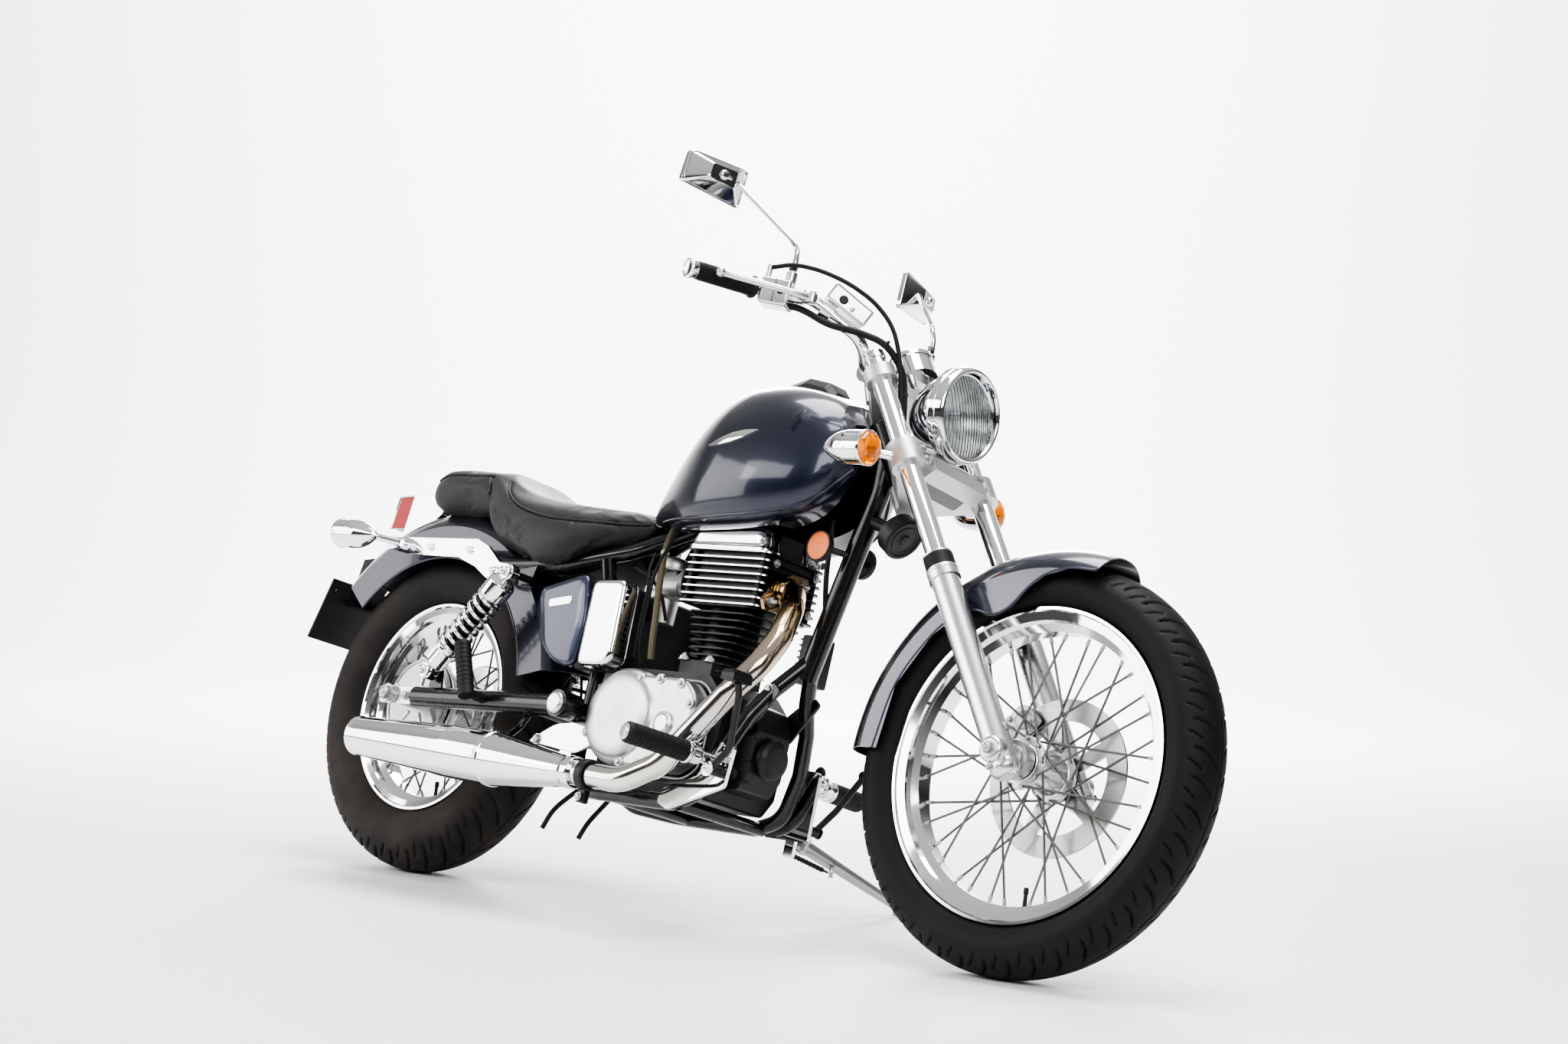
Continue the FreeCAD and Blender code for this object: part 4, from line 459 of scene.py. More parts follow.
def makeStudio(setup):
    # a wide pale floor; its far side, seen from the camera, bends up without an edge
    away = -Vector((math.cos(math.radians(-46)), math.sin(math.radians(-46)), 0))
    along = Vector((-away.y, away.x, 0))
    profile = [(-12.0, 0.0), (setup["floorReach"] - setup["curve"], 0.0)]
    for step in range(1, 17):
        angle = math.radians(90 * step / 16)
        profile.append((setup["floorReach"] - setup["curve"] + math.sin(angle) * setup["curve"],
            setup["curve"] * (1 - math.cos(angle))))
    profile.append((setup["floorReach"], setup["backHeight"]))
    points = [away * reach + along * side + Vector((0, 0, height)) for reach,
        height in profile for side in (-16.0, 16.0)]
    faces = [(2 * i, 2 * i + 1, 2 * i + 3, 2 * i + 2) for i in range(len(profile) - 1)]
    mesh = bpy.data.meshes.new("studioFloor")
    mesh.from_pydata(points, [], faces)
    for face in mesh.polygons:
        face.use_smooth = True
    mesh.flip_normals()
    floor = bpy.data.objects.new("studioFloor", mesh)
    bpy.context.scene.collection.objects.link(floor)
    material, tree, shader = startMaterial("studioFloor", setup["floorColour"], 0.6)
    floor.data.materials.append(material)
    world = bpy.data.worlds.new("studioLight")
    bpy.context.scene.world = world
    world.use_nodes = True
    tree = world.node_tree
    tree.nodes.clear()
    coords = addNode(tree, "ShaderNodeTexCoord")
    split = addNode(tree, "ShaderNodeSeparateXYZ")
    join(tree, coords, "Generated", split, 0)
    sky = addNode(tree, "ShaderNodeValToRGB")
    stops = ((0.0, 0.25), (0.48, 0.22), (0.53, 0.30), (0.60, 0.12), (0.68, 0.55), (0.80, 1.3), (1.0, 1.7))
    ladder = sky.color_ramp.elements
    ladder[0].position, ladder[0].color = stops[0][0], (stops[0][1],) * 3 + (1,)
    ladder[1].position, ladder[1].color = stops[-1][0], (stops[-1][1],) * 3 + (1,)
    for position, value in stops[1:-1]:
        ladder.new(position).color = (value, value, value, 1)
    height = addNode(tree, "ShaderNodeMath", {1: 0.5, 2: 0.5}, operation="MULTIPLY_ADD")
    join(tree, split, "Z", height, 0)
    join(tree, height, 0, sky, 0)
    light = addNode(tree, "ShaderNodeBackground", {"Strength": setup["sky"]})
    join(tree, sky, 0, light, 0)
    # the camera sees a pale wall past the floor, while the darker sky lights and reflects
    rays = addNode(tree, "ShaderNodeLightPath")
    wall = addNode(tree, "ShaderNodeBackground", {"Color": (*setup["wallColour"], 1), "Strength": 1.0})
    blend = addNode(tree, "ShaderNodeMixShader")
    join(tree, rays, "Is Camera Ray", blend, 0)
    join(tree, light, 0, blend, 1)
    join(tree, wall, 0, blend, 2)
    end = addNode(tree, "ShaderNodeOutputWorld")
    join(tree, blend, 0, end, 0)


def softBox(name, place, aim, width, height, power):
    lamp = bpy.data.lights.new(name, "AREA")
    lamp.shape = "RECTANGLE"
    lamp.size, lamp.size_y, lamp.energy = width, height, power
    box = bpy.data.objects.new(name, lamp)
    bpy.context.scene.collection.objects.link(box)
    box.location = place
    box.rotation_euler = (Vector(aim) - Vector(place)).to_track_quat("-Z", "Y").to_euler()
    box.visible_camera = False


makeStudio(studio)
softBox("frontBox", (3.6, -2.4, 2.8), (0.2, 0, 0.6), 2.8, 2.0, studio["frontBox"])
softBox("sideBox", (-1.2, -3.8, 2.6), (-0.2, 0, 0.5), 3.4, 1.2, studio["sideBox"])
softBox("rightWallBox", (-4.5, -4.0, 2.0), (0, 0, 0.6), 3.6, 3.4, studio["rightWallBox"])
softBox("topBox", (0.2, 0.4, 3.6), (0, 0, 0), 3.0, 1.6, studio["topBox"])
softBox("backBox", (-2.6, 3.0, 2.4), (0, 0, 0.6), 2.0, 1.6, studio["backBox"])
softBox("wallBox", (-2.4, 2.6, 4.6), (-6.0, 6.2, 1.6), 5.0, 1.0, studio["wallBox"])
bpy.context.scene.view_settings.look = studio["look"]

# Mesh helpers: points are in the upright motorcycle's millimetres, place turns them into the row frame
print("stage: helpers")


placeOf = {"chassis": onChassis, "rear_wheel": onChassis, "fork": onFork, "front_wheel": onFork}


def addPiece(name, shape, body, material, replaced=(), smooth=True, sharpAngle=38.0, place=None):
    # shape: (points, faces), in millimetres of the upright machine unless place says otherwise
    points, faces = shape
    place = place or placeOf[body]
    mesh = bpy.data.meshes.new(name)
    mesh.from_pydata([place(p) for p in points], [], faces)
    return finishPiece(name, mesh, body, material, replaced, smooth, sharpAngle)


def finishPiece(name, mesh, body, material, replaced=(), smooth=True, sharpAngle=38.0):
    work = bmesh.new()
    work.from_mesh(mesh)
    bmesh.ops.remove_doubles(work, verts=work.verts, dist=0.000005)
    bmesh.ops.recalc_face_normals(work, faces=work.faces)
    for edge in work.edges:
        turned = len(edge.link_faces) == 2 and edge.calc_face_angle(0) > math.radians(sharpAngle)
        edge.smooth = not turned
    for face in work.faces:
        face.smooth = smooth
    work.to_mesh(mesh)
    work.free()
    piece = bpy.data.objects.new(name, mesh)
    bpy.context.scene.collection.objects.link(piece)
    mesh.materials.clear()
    mesh.materials.append(finishes[material])
    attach(piece, body)
    if replaced:
        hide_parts(*replaced)
    return piece


def mergeParts(parts):
    # several (points, faces) lists as one
    points, faces = [], []
    for morePoints, moreFaces in parts:
        start = len(points)
        points.extend(morePoints)
        faces.extend([tuple(index + start for index in face) for face in moreFaces])
    return points, faces


def mirrorParts(parts):
    return [([Vector((p[0], -p[1], p[2])) for p in points],
        [tuple(reversed(face)) for face in faces]) for points, faces in parts]


def bothSides(parts):
    return parts + mirrorParts(parts)


def ringFaces(count, steps, closedAround=True, closedAlong=False, capStart=False, capEnd=False):
    faces = []
    for row in range(count if closedAlong else count - 1):
        nextRow = (row + 1) % count
        for step in range(steps if closedAround else steps - 1):
            after = (step + 1) % steps
            faces.append((row * steps + step, row * steps + after, nextRow * steps + after,
                nextRow * steps + step))
    if capStart:
        faces.append(tuple(reversed(range(steps))))
    if capEnd:
        faces.append(tuple((count - 1) * steps + step for step in range(steps)))
    return faces


def sideVectors(direction):
    direction = Vector(direction).normalized()
    helper = Vector((0, 1, 0)) if abs(direction.y) < 0.9 else Vector((1, 0, 0))
    first = direction.cross(helper).normalized()
    return first, direction.cross(first).normalized(), direction


def lathe(profile, centre, direction, steps=48, closed=False):
    first, second, ahead = sideVectors(direction)
    centre = Vector(centre)
    points = []
    for radius, height in profile:
        for step in range(steps):
            angle = 2 * math.pi * step / steps
            points.append(centre + ahead * height + (first * math.cos(angle) + second * math.sin(angle)) * radius)
    return points, ringFaces(len(profile), steps, closedAlong=closed)


def roundProfile(corners, radius=1.5, cuts=3):
    # rounds each inner corner of a (radius, height) line
    result = [corners[0]]
    for before, corner, after in zip(corners, corners[1:], corners[2:]):
        p, q, r = (Vector((*c, 0)) for c in (before, corner, after))
        reach = min(radius, (p - q).length * 0.45, (r - q).length * 0.45)
        start = q + (p - q).normalized() * reach
        end = q + (r - q).normalized() * reach
        for cut in range(cuts + 1):
            t = cut / cuts
            point = start * (1 - t) ** 2 + q * 2 * t * (1 - t) + end * t ** 2
            result.append((point.x, point.y))
    result.append(corners[-1])
    return result


def smoothLine(points, cuts=6):
    # Catmull-Rom through given points
    pts = [Vector(p) for p in points]
    pts = [pts[0] * 2 - pts[1]] + pts + [pts[-1] * 2 - pts[-2]]
    line = []
    for a, b, c, d in zip(pts, pts[1:], pts[2:], pts[3:]):
        for cut in range(cuts):
            t = cut / cuts
            bend = (2 * a - 5 * b + 4 * c - d) * t ** 2 + (3 * b - a - 3 * c + d) * t ** 3
            line.append(0.5 * (2 * b + (c - a) * t + bend))
    line.append(pts[-2])
    return line


def sweep(line, radius, sides=14, capped=True, flat=1.0, closed=False):
    # a round or flattened section carried along a line; radius may be one number or one for each point
    line = [Vector(p) for p in line]
    count = len(line)
    radii = radius if isinstance(radius, (list, tuple)) else [radius] * count
    first, second, ahead = sideVectors(line[1] - line[0])
    points = []
    for index, centre in enumerate(line):
        before = line[index - 1] if index or closed else centre
        after = line[(index + 1) % count] if index < count - 1 or closed else centre
        heading = (after - before).normalized()
        first = (first - heading * first.dot(heading)).normalized()
        second = heading.cross(first)
        for step in range(sides):
            angle = 2 * math.pi * step / sides
            offset = first * math.cos(angle) + second * math.sin(angle) * flat
            points.append(centre + offset * radii[index])
    return points, ringFaces(count, sides, closedAlong=closed, capStart=capped and not closed,
        capEnd=capped and not closed)


def plateParts(outline, origin, across, up, thickness):
    # a flat plate: outline in (across, up) millimetres, thickness along across x up
    origin, across, up = Vector(origin), Vector(across).normalized(), Vector(up).normalized()
    through = across.cross(up).normalized() * thickness
    base = [origin + across * u + up * v for u, v in outline]
    count = len(base)
    points = base + [p + through for p in base]
    faces = [tuple(reversed(range(count))), tuple(range(count, 2 * count))]
    faces += [(i, (i + 1) % count, (i + 1) % count + count, i + count) for i in range(count)]
    return points, faces


def roundOutline(corners, radius, cuts=4):
    result = []
    count = len(corners)
    for index, corner in enumerate(corners):
        p, q, r = (Vector((*c, 0)) for c in (corners[index - 1], corner, corners[(index + 1) % count]))
        reach = min(radius, (p - q).length * 0.45, (r - q).length * 0.45)
        start = q + (p - q).normalized() * reach
        end = q + (r - q).normalized() * reach
        for cut in range(cuts + 1):
            t = cut / cuts
            point = start * (1 - t) ** 2 + q * 2 * t * (1 - t) + end * t ** 2
            result.append((point.x, point.y))
    return result


def addBevel(piece, width, segments=2, angle=35.0):
    bevel = piece.modifiers.new("softEdge", "BEVEL")
    bevel.width = width / 1000
    bevel.segments = segments
    bevel.limit_method = "ANGLE"
    bevel.angle_limit = math.radians(angle)
    bevel.harden_normals = False
    return piece


# Geometry Nodes trees that make what repeats: each takes points or lines with an "aim" and a "size"
print("stage: geometry nodes")


def startTree(name, inputs):
    tree = bpy.data.node_groups.new(name, "GeometryNodeTree")
    tree.interface.new_socket("Geometry", in_out="INPUT", socket_type="NodeSocketGeometry")
    for label, kind, value in inputs:
        socket = tree.interface.new_socket(label, in_out="INPUT", socket_type="NodeSocket" + kind)
        if value is not None:
            socket.default_value = value
    tree.interface.new_socket("Geometry", in_out="OUTPUT", socket_type="NodeSocketGeometry")
    return tree, tree.nodes.new("NodeGroupInput"), tree.nodes.new("NodeGroupOutput")


def endTree(tree, geometry, materialSocket, end):
    real = addNode(tree, "GeometryNodeRealizeInstances")
    coat = addNode(tree, "GeometryNodeSetMaterial")
    tree.links.new(geometry, real.inputs[0])
    join(tree, real, 0, coat, "Geometry")
    tree.links.new(materialSocket, coat.inputs["Material"])
    join(tree, coat, 0, end, 0)


def raised(tree, geometry, height):
    move = addNode(tree, "GeometryNodeTransform")
    lift = addNode(tree, "ShaderNodeCombineXYZ")
    if isinstance(height, (int, float)):
        lift.inputs["Z"].default_value = height
    else:
        tree.links.new(height, lift.inputs["Z"])
    tree.links.new(geometry, move.inputs["Geometry"])
    join(tree, lift, 0, move, "Translation")
    return move.outputs[0]


def aimedInstances(tree, points, shape):
    # one copy of shape on every point, its Z along the point's aim
    aim = addNode(tree, "GeometryNodeInputNamedAttribute", {"Name": "aim"}, data_type="FLOAT_VECTOR")
    size = addNode(tree, "GeometryNodeInputNamedAttribute", {"Name": "size"}, data_type="FLOAT")
    turn = addNode(tree, "FunctionNodeAlignRotationToVector", axis="Z")
    place = addNode(tree, "GeometryNodeInstanceOnPoints")
    join(tree, aim, 0, turn, "Vector")
    tree.links.new(points, place.inputs["Points"])
    tree.links.new(shape, place.inputs["Instance"])
    join(tree, turn, 0, place, "Rotation")
    join(tree, size, 0, place, "Scale")
    return place.outputs[0]


def makeScrewTree():
    # a low cone on a round or six-sided head, a washer under it and a dome on top
    tree, start, end = startTree("screwHeads", [("Head Radius", "Float", 0.006),
        ("Head Height", "Float", 0.005), ("Head Sides", "Int", 6), ("Washer Radius", "Float", 0.008),
        ("Dome Radius", "Float", 0.004), ("Dome Height", "Float", 0.002), ("Material", "Material", None)])
    head = addNode(tree, "GeometryNodeMeshCylinder")
    join(tree, start, "Head Sides", head, "Vertices")
    join(tree, start, "Head Radius", head, "Radius")
    bodyHeight = mathNode(tree, "MULTIPLY", start.outputs["Head Height"], 0.8)
    tree.links.new(bodyHeight, head.inputs["Depth"])
    top = addNode(tree, "GeometryNodeMeshCone")
    join(tree, start, "Head Sides", top, "Vertices")
    join(tree, start, "Head Radius", top, "Radius Bottom")
    tree.links.new(mathNode(tree, "MULTIPLY", start.outputs["Head Radius"], 0.84), top.inputs["Radius Top"])
    tree.links.new(mathNode(tree, "MULTIPLY", start.outputs["Head Height"], 0.2), top.inputs["Depth"])
    washer = addNode(tree, "GeometryNodeMeshCylinder", {"Vertices": 20})
    join(tree, start, "Washer Radius", washer, "Radius")
    washerHeight = mathNode(tree, "MULTIPLY", start.outputs["Head Height"], 0.22)
    tree.links.new(washerHeight, washer.inputs["Depth"])
    dome = addNode(tree, "GeometryNodeMeshUVSphere", {"Segments": 14, "Rings": 8})
    join(tree, start, "Dome Radius", dome, "Radius")
    flatten = addNode(tree, "GeometryNodeTransform")
    squash = addNode(tree, "ShaderNodeCombineXYZ", {"X": 1.0, "Y": 1.0})
    share = mathNode(tree, "DIVIDE", start.outputs["Dome Height"], start.outputs["Dome Radius"])
    tree.links.new(share, squash.inputs["Z"])
    join(tree, dome, 0, flatten, "Geometry")
    join(tree, squash, 0, flatten, "Scale")
    whole = addNode(tree, "GeometryNodeJoinGeometry")
    for geometry in (raised(tree, head.outputs[0], mathNode(tree, "MULTIPLY", bodyHeight, 0.5)),
                     raised(tree, top.outputs[0], bodyHeight),
                     raised(tree, washer.outputs[0], mathNode(tree, "MULTIPLY", washerHeight, 0.5)),
                     raised(tree, flatten.outputs[0], start.outputs["Head Height"])):
        tree.links.new(geometry, whole.inputs[0])
    placed = aimedInstances(tree, start.outputs["Geometry"], whole.outputs[0])
    endTree(tree, placed, start.outputs["Material"], end)
    return tree


def makeWireTree():
    # a round wire along every edge
    tree, start, end = startTree("wires", [("Radius", "Float", 0.002), ("Sides", "Int", 8),
        ("Material", "Material", None)])
    lines = addNode(tree, "GeometryNodeMeshToCurve")
    ring = addNode(tree, "GeometryNodeCurvePrimitiveCircle")
    tube = addNode(tree, "GeometryNodeCurveToMesh", {"Fill Caps": True})
    join(tree, start, "Geometry", lines, "Mesh")
    join(tree, start, "Radius", ring, "Radius")
    join(tree, start, "Sides", ring, "Resolution")
    join(tree, lines, 0, tube, "Curve")
    join(tree, ring, 0, tube, "Profile Curve")
    endTree(tree, tube.outputs[0], start.outputs["Material"], end)
    return tree


def makeSpringTree():
    # a coil standing on each point, with its wire
    tree, start, end = startTree("coilSprings", [("Turns", "Float", 8.0), ("Coil Radius", "Float", 0.02),
        ("Length", "Float", 0.1), ("Wire", "Float", 0.004), ("Material", "Material", None)])
    coil = addNode(tree, "GeometryNodeCurveSpiral", {"Resolution": 26})
    join(tree, start, "Turns", coil, "Rotations")
    join(tree, start, "Coil Radius", coil, "Start Radius")
    join(tree, start, "Coil Radius", coil, "End Radius")
    join(tree, start, "Length", coil, "Height")
    ring = addNode(tree, "GeometryNodeCurvePrimitiveCircle", {"Resolution": 10})
    join(tree, start, "Wire", ring, "Radius")
    tube = addNode(tree, "GeometryNodeCurveToMesh", {"Fill Caps": True})
    join(tree, coil, 0, tube, "Curve")
    join(tree, ring, 0, tube, "Profile Curve")
    placed = aimedInstances(tree, start.outputs["Geometry"], tube.outputs[0])
    endTree(tree, placed, start.outputs["Material"], end)
    return tree


def makeRibTree():
    # blocks at even steps along closed lines: belt teeth
    tree, start, end = startTree("beltTeeth", [("Count", "Int", 100), ("Width", "Float", 0.02),
        ("Height", "Float", 0.003), ("Thickness", "Float", 0.004), ("Material", "Material", None)])
    lines = addNode(tree, "GeometryNodeMeshToCurve")
    steps = addNode(tree, "GeometryNodeCurveToPoints", mode="COUNT")
    block = addNode(tree, "GeometryNodeMeshCube")
    sizes = addNode(tree, "ShaderNodeCombineXYZ")
    join(tree, start, "Geometry", lines, "Mesh")
    join(tree, lines, 0, steps, "Curve")
    join(tree, start, "Count", steps, "Count")
    for axis, label in (("X", "Height"), ("Y", "Width"), ("Z", "Thickness")):
        join(tree, start, label, sizes, axis)
    join(tree, sizes, 0, block, "Size")
    side = addNode(tree, "GeometryNodeInputNamedAttribute", {"Name": "aim"}, data_type="FLOAT_VECTOR")
    along = addNode(tree, "FunctionNodeAlignRotationToVector", axis="Z")
    across = addNode(tree, "FunctionNodeAlignRotationToVector", axis="Y", pivot_axis="Z")
    place = addNode(tree, "GeometryNodeInstanceOnPoints")
    join(tree, steps, "Tangent", along, "Vector")
    join(tree, along, 0, across, "Rotation")
    join(tree, side, 0, across, "Vector")
    join(tree, steps, "Points", place, "Points")
    join(tree, block, 0, place, "Instance")
    join(tree, across, 0, place, "Rotation")
    endTree(tree, place.outputs[0], start.outputs["Material"], end)
    return tree


screwTree = makeScrewTree()
wireTree = makeWireTree()
springTree = makeSpringTree()
ribTree = makeRibTree()


def growNodes(name, tree, points, edges, aims, sizes, values, body, material, replaced=(), sharpAngle=38.0):
    # points and aims are already in the row frame; the result is a plain mesh
    seed = bpy.data.meshes.new(name + "Seed")
    seed.from_pydata(points, edges, [])
    seed.attributes.new("aim", "FLOAT_VECTOR", "POINT")
    seed.attributes.new("size", "FLOAT", "POINT")
    for index in range(len(points)):
        seed.attributes["aim"].data[index].vector = aims[index] if len(aims) > 1 else aims[0]
        seed.attributes["size"].data[index].value = sizes[index] if len(sizes) > 1 else sizes[0]
    holder = bpy.data.objects.new(name + "Seed", seed)
    bpy.context.scene.collection.objects.link(holder)
    grower = holder.modifiers.new("grower", "NODES")
    grower.node_group = tree
    sockets = {item.name: item.identifier for item in tree.interface.items_tree
        if item.item_type == "SOCKET" and item.in_out == "INPUT"}
    for label, value in {**values, "Material": finishes[material]}.items():
        grower[sockets[label]] = value
    bpy.context.view_layer.update()
    mesh = bpy.data.meshes.new_from_object(holder.evaluated_get(bpy.context.evaluated_depsgraph_get()))
    holder.modifiers.clear()
    bpy.data.objects.remove(holder)
    return finishPiece(name, mesh, body, material, replaced, True, sharpAngle)


def turnOnly(place, direction):
    direction = Vector(direction)
    return (place(direction * 1000) - place(Vector((0, 0, 0)))).normalized()


def addScrews(name, spots, body, material, head=(6.0, 5.0, 6), washer=8.0, dome=(3.2, 0.6), spread=1.0):
    # spots: (point, direction) or (point, direction, size) in millimetres
    place = placeOf[body]
    points = [place(spot[0]) for spot in spots]
    aims = [turnOnly(place, spot[1]) for spot in spots]
    sizes = [spot[2] if len(spot) > 2 else spread for spot in spots]
    values = {"Head Radius": head[0] / 1000, "Head Height": head[1] / 1000, "Head Sides": head[2],
        "Washer Radius": washer / 1000, "Dome Radius": dome[0] / 1000, "Dome Height": dome[1] / 1000}
    if len(spots) == 1:
        aims, sizes = aims * 2, sizes * 2
    return growNodes(name, screwTree, points, [], aims, sizes, values, body, material)


def addWires(name, lines, radius, body, material, sides=8):
    place = placeOf[body]
    points, edges = [], []
    for line in lines:
        first = len(points)
        points += [place(p) for p in line]
        edges += [(first + i, first + i + 1) for i in range(len(line) - 1)]
    return growNodes(name, wireTree, points, edges, [(0, 0, 1)], [1.0],
        {"Radius": radius / 1000, "Sides": sides}, body, material)

# Tyres, hubs and spokes
print("stage: wheels")
frontWheel = {"axle": frontAxle, "radius": 340.0, "half": 55.0, "crown": 58.0, "flange": 261.0, "bead": 243.0,
    "rimHalf": 38.0, "treadBlocks": 44, "grooveWidth": 5.0, "grooveDepth": 4.0, "slant": 0.85, "around": 900}
rearWheel = {"axle": rearAxle, "radius": 316.5, "half": 70.0, "crown": 75.0, "flange": 205.0, "bead": 190.0,
    "rimHalf": 42.0, "treadBlocks": 38, "grooveWidth": 5.5, "grooveDepth": 4.5, "slant": 1.05, "around": 840}
spokeSetup = {"count": 36, "radius": 2.0, "nippleRadius": 3.2, "nippleLength": 12.0}


def arcPoints(a, via, b, cuts):
    # points of the circle through three (radius, side) pairs, without the last
    (ax, ay), (bx, by), (cx, cy) = a, via, b
    d = 2 * (ax * (by - cy) + bx * (cy - ay) + cx * (ay - by))
    aa, bb, cc = ax * ax + ay * ay, bx * bx + by * by, cx * cx + cy * cy
    ux = (aa * (by - cy) + bb * (cy - ay) + cc * (ay - by)) / d
    uy = (aa * (cx - bx) + bb * (ax - cx) + cc * (bx - ax)) / d
    reach = math.hypot(ax - ux, ay - uy)
    angles = [math.atan2(y - uy, x - ux) for x, y in (a, via, b)]
    for index in (1, 2):
        while angles[index] - angles[index - 1] > math.pi:
            angles[index] -= 2 * math.pi
        while angles[index] - angles[index - 1] < -math.pi:
            angles[index] += 2 * math.pi
    result = []
    for cut in range(cuts):
        angle = angles[0] + (angles[2] - angles[0]) * cut / cuts
        result.append((ux + reach * math.cos(angle), uy + reach * math.sin(angle)))
    return result


def tyreProfile(spec):
    radius, half, crown, flange, bead, rimHalf = (spec[k] for k in ("radius", "half", "crown", "flange",
        "bead", "rimHalf"))
    centre = radius - crown
    edge = centre + math.sqrt(crown ** 2 - (half - 6) ** 2)
    widest = bead + 0.5 * (edge - bead) + 8
    middle = (centre + crown * math.cos(math.radians(26)), crown * math.sin(math.radians(26)))
    outside = arcPoints((radius, 0), middle, (edge, half - 6), 22)
    outside += arcPoints((edge, half - 6), (widest + 8, half), (flange + 3, rimHalf), 14)
    outside += [(flange + 3, rimHalf), (flange - 1, rimHalf - 3.4), (bead + 3, rimHalf - 5.9)]
    inside = [(bead + 3, rimHalf - 17), (flange, rimHalf - 11), (widest + 6, half - 8), (edge - 8, half - 14),
        (middle[0] - 8, middle[1] * 0.8), (radius - 8, 0)]
    right = [(r, -s) for r, s in outside[1:] + inside[:-1]]
    return outside + inside + list(reversed(right)), edge


def cutDepth(distance, width):
    return max(0.0, min(1.0, (width / 2 - distance) / 1.1))


def treadDepth(spec, side, arc):
    # slanted grooves from beside the middle to the shoulder, with a short notch between them
    pitch = 2 * math.pi * spec["radius"] / spec["treadBlocks"]
    reach = abs(side)
    shift = 0.5 * pitch if side < 0 else 0.0
    slant = spec["slant"]
    outer = spec["half"] - 9
    depth = cutDepth(reach, 4.4) * 0.7
    if 7.0 < reach < outer:
        track = slant * reach + 9.0 * math.sin(reach / outer * math.pi)
        across = (arc - track - shift) % pitch
        across = min(across, pitch - across) / math.sqrt(1 + slant * slant)
        fade = min(1.0, (reach - 7.0) / 5.0, (outer - reach) / 4.0)
        depth = max(depth, cutDepth(across, spec["grooveWidth"]) * fade)
    if reach > outer - 16:
        notch = (arc - slant * reach - 0.5 * pitch - shift) % pitch
        notch = min(notch, pitch - notch)
        fade = min(1.0, (reach - outer + 16) / 3.0)
        depth = max(depth, cutDepth(notch, spec["grooveWidth"] * 0.9) * fade * 0.8)
    return depth * spec["grooveDepth"]


def makeTyre(name, spec, body, node):
    profile, edge = tyreProfile(spec)
    count = len(profile)
    normals = []
    for index in range(count):
        before, after = profile[index - 1], profile[(index + 1) % count]
        dr, ds = after[0] - before[0], after[1] - before[1]
        size = math.hypot(dr, ds)
        normals.append((ds / size, -dr / size))
    points = []
    around = spec["around"]
    for step in range(around):
        angle = 2 * math.pi * step / around
        cosine, sine = math.cos(angle), math.sin(angle)
        arc = angle * spec["radius"]
        for (radius, side), (nr, ns) in zip(profile, normals):
            lift = 0.0
            if radius > edge - 6 and radius > spec["radius"] - 46:
                lift = -treadDepth(spec, side, arc) * min(1.0, (radius - edge + 6) / 8.0)
            elif radius > spec["flange"] + 4 and abs(side) > spec["half"] - 12:
                ring = min(abs(radius - spec["flange"] - 12), abs(radius - edge + 16))
                lift = 0.7 * max(0.0, 1.0 - ring / 1.8)
            r = radius + nr * lift
            points.append(spec["axle"] + Vector((r * cosine, side + ns * lift, r * sine)))
    finish = "dusty_tyre" if node == "rear_tyre" else "tyre"
    return addPiece(name, (points, ringFaces(around, count, closedAlong=True)), body, finish, (node,),
        sharpAngle=50.0)


makeTyre("frontTyreTread", frontWheel, "front_wheel", "front_tyre")
makeTyre("rearTyreTread", rearWheel, "rear_wheel", "rear_tyre")


def spokeEnds(index, spec, front):
    side = 1 if index % 2 == 0 else -1
    lead = 1 if (index // 2) % 2 == 0 else -1
    rimAngle = 2 * math.pi * index / spokeSetup["count"]
    if front:
        reach, swing, hubSide = 40.0, 62.0, side * 45 + lead * 4.2
    elif side > 0:
        reach, swing, hubSide = 58.0, 52.0, 44 + lead * 4.2
    else:
        reach, swing, hubSide = 84.0, 40.0, -45 + lead * 4.2
    hubAngle = rimAngle + lead * math.radians(swing)
    rimReach = spec["bead"] - 17.7
    start = spec["axle"] + Vector((reach * math.cos(hubAngle), hubSide, reach * math.sin(hubAngle)))
    end = spec["axle"] + Vector((rimReach * math.cos(rimAngle), side * 5.0, rimReach * math.sin(rimAngle)))
    return start, end


def makeSpokes(name, spec, body, front):
    ends = [spokeEnds(index, spec, front) for index in range(spokeSetup["count"])]
    addWires(name + "Spokes", ends, spokeSetup["radius"], body, "spoke_steel", 10)
    spots = [(end - (end - start).normalized() * spokeSetup["nippleLength"], end - start) for start,
        end in ends]
    addScrews(name + "Nipples", spots, body, "steel", (spokeSetup["nippleRadius"], spokeSetup["nippleLength"],
        8), spokeSetup["nippleRadius"] * 0.8, (1.0, 0.5))
    heads = [(start, Vector((0, 1 if start.y > spec["axle"].y else -1, 0))) for start, end in ends]
    addScrews(name + "SpokeHeads", heads, body, "steel", (3.2, 2.4, 10), 3.4, (2.6, 1.2))


makeSpokes("front", frontWheel, "front_wheel", True)
makeSpokes("rear", rearWheel, "rear_wheel", False)


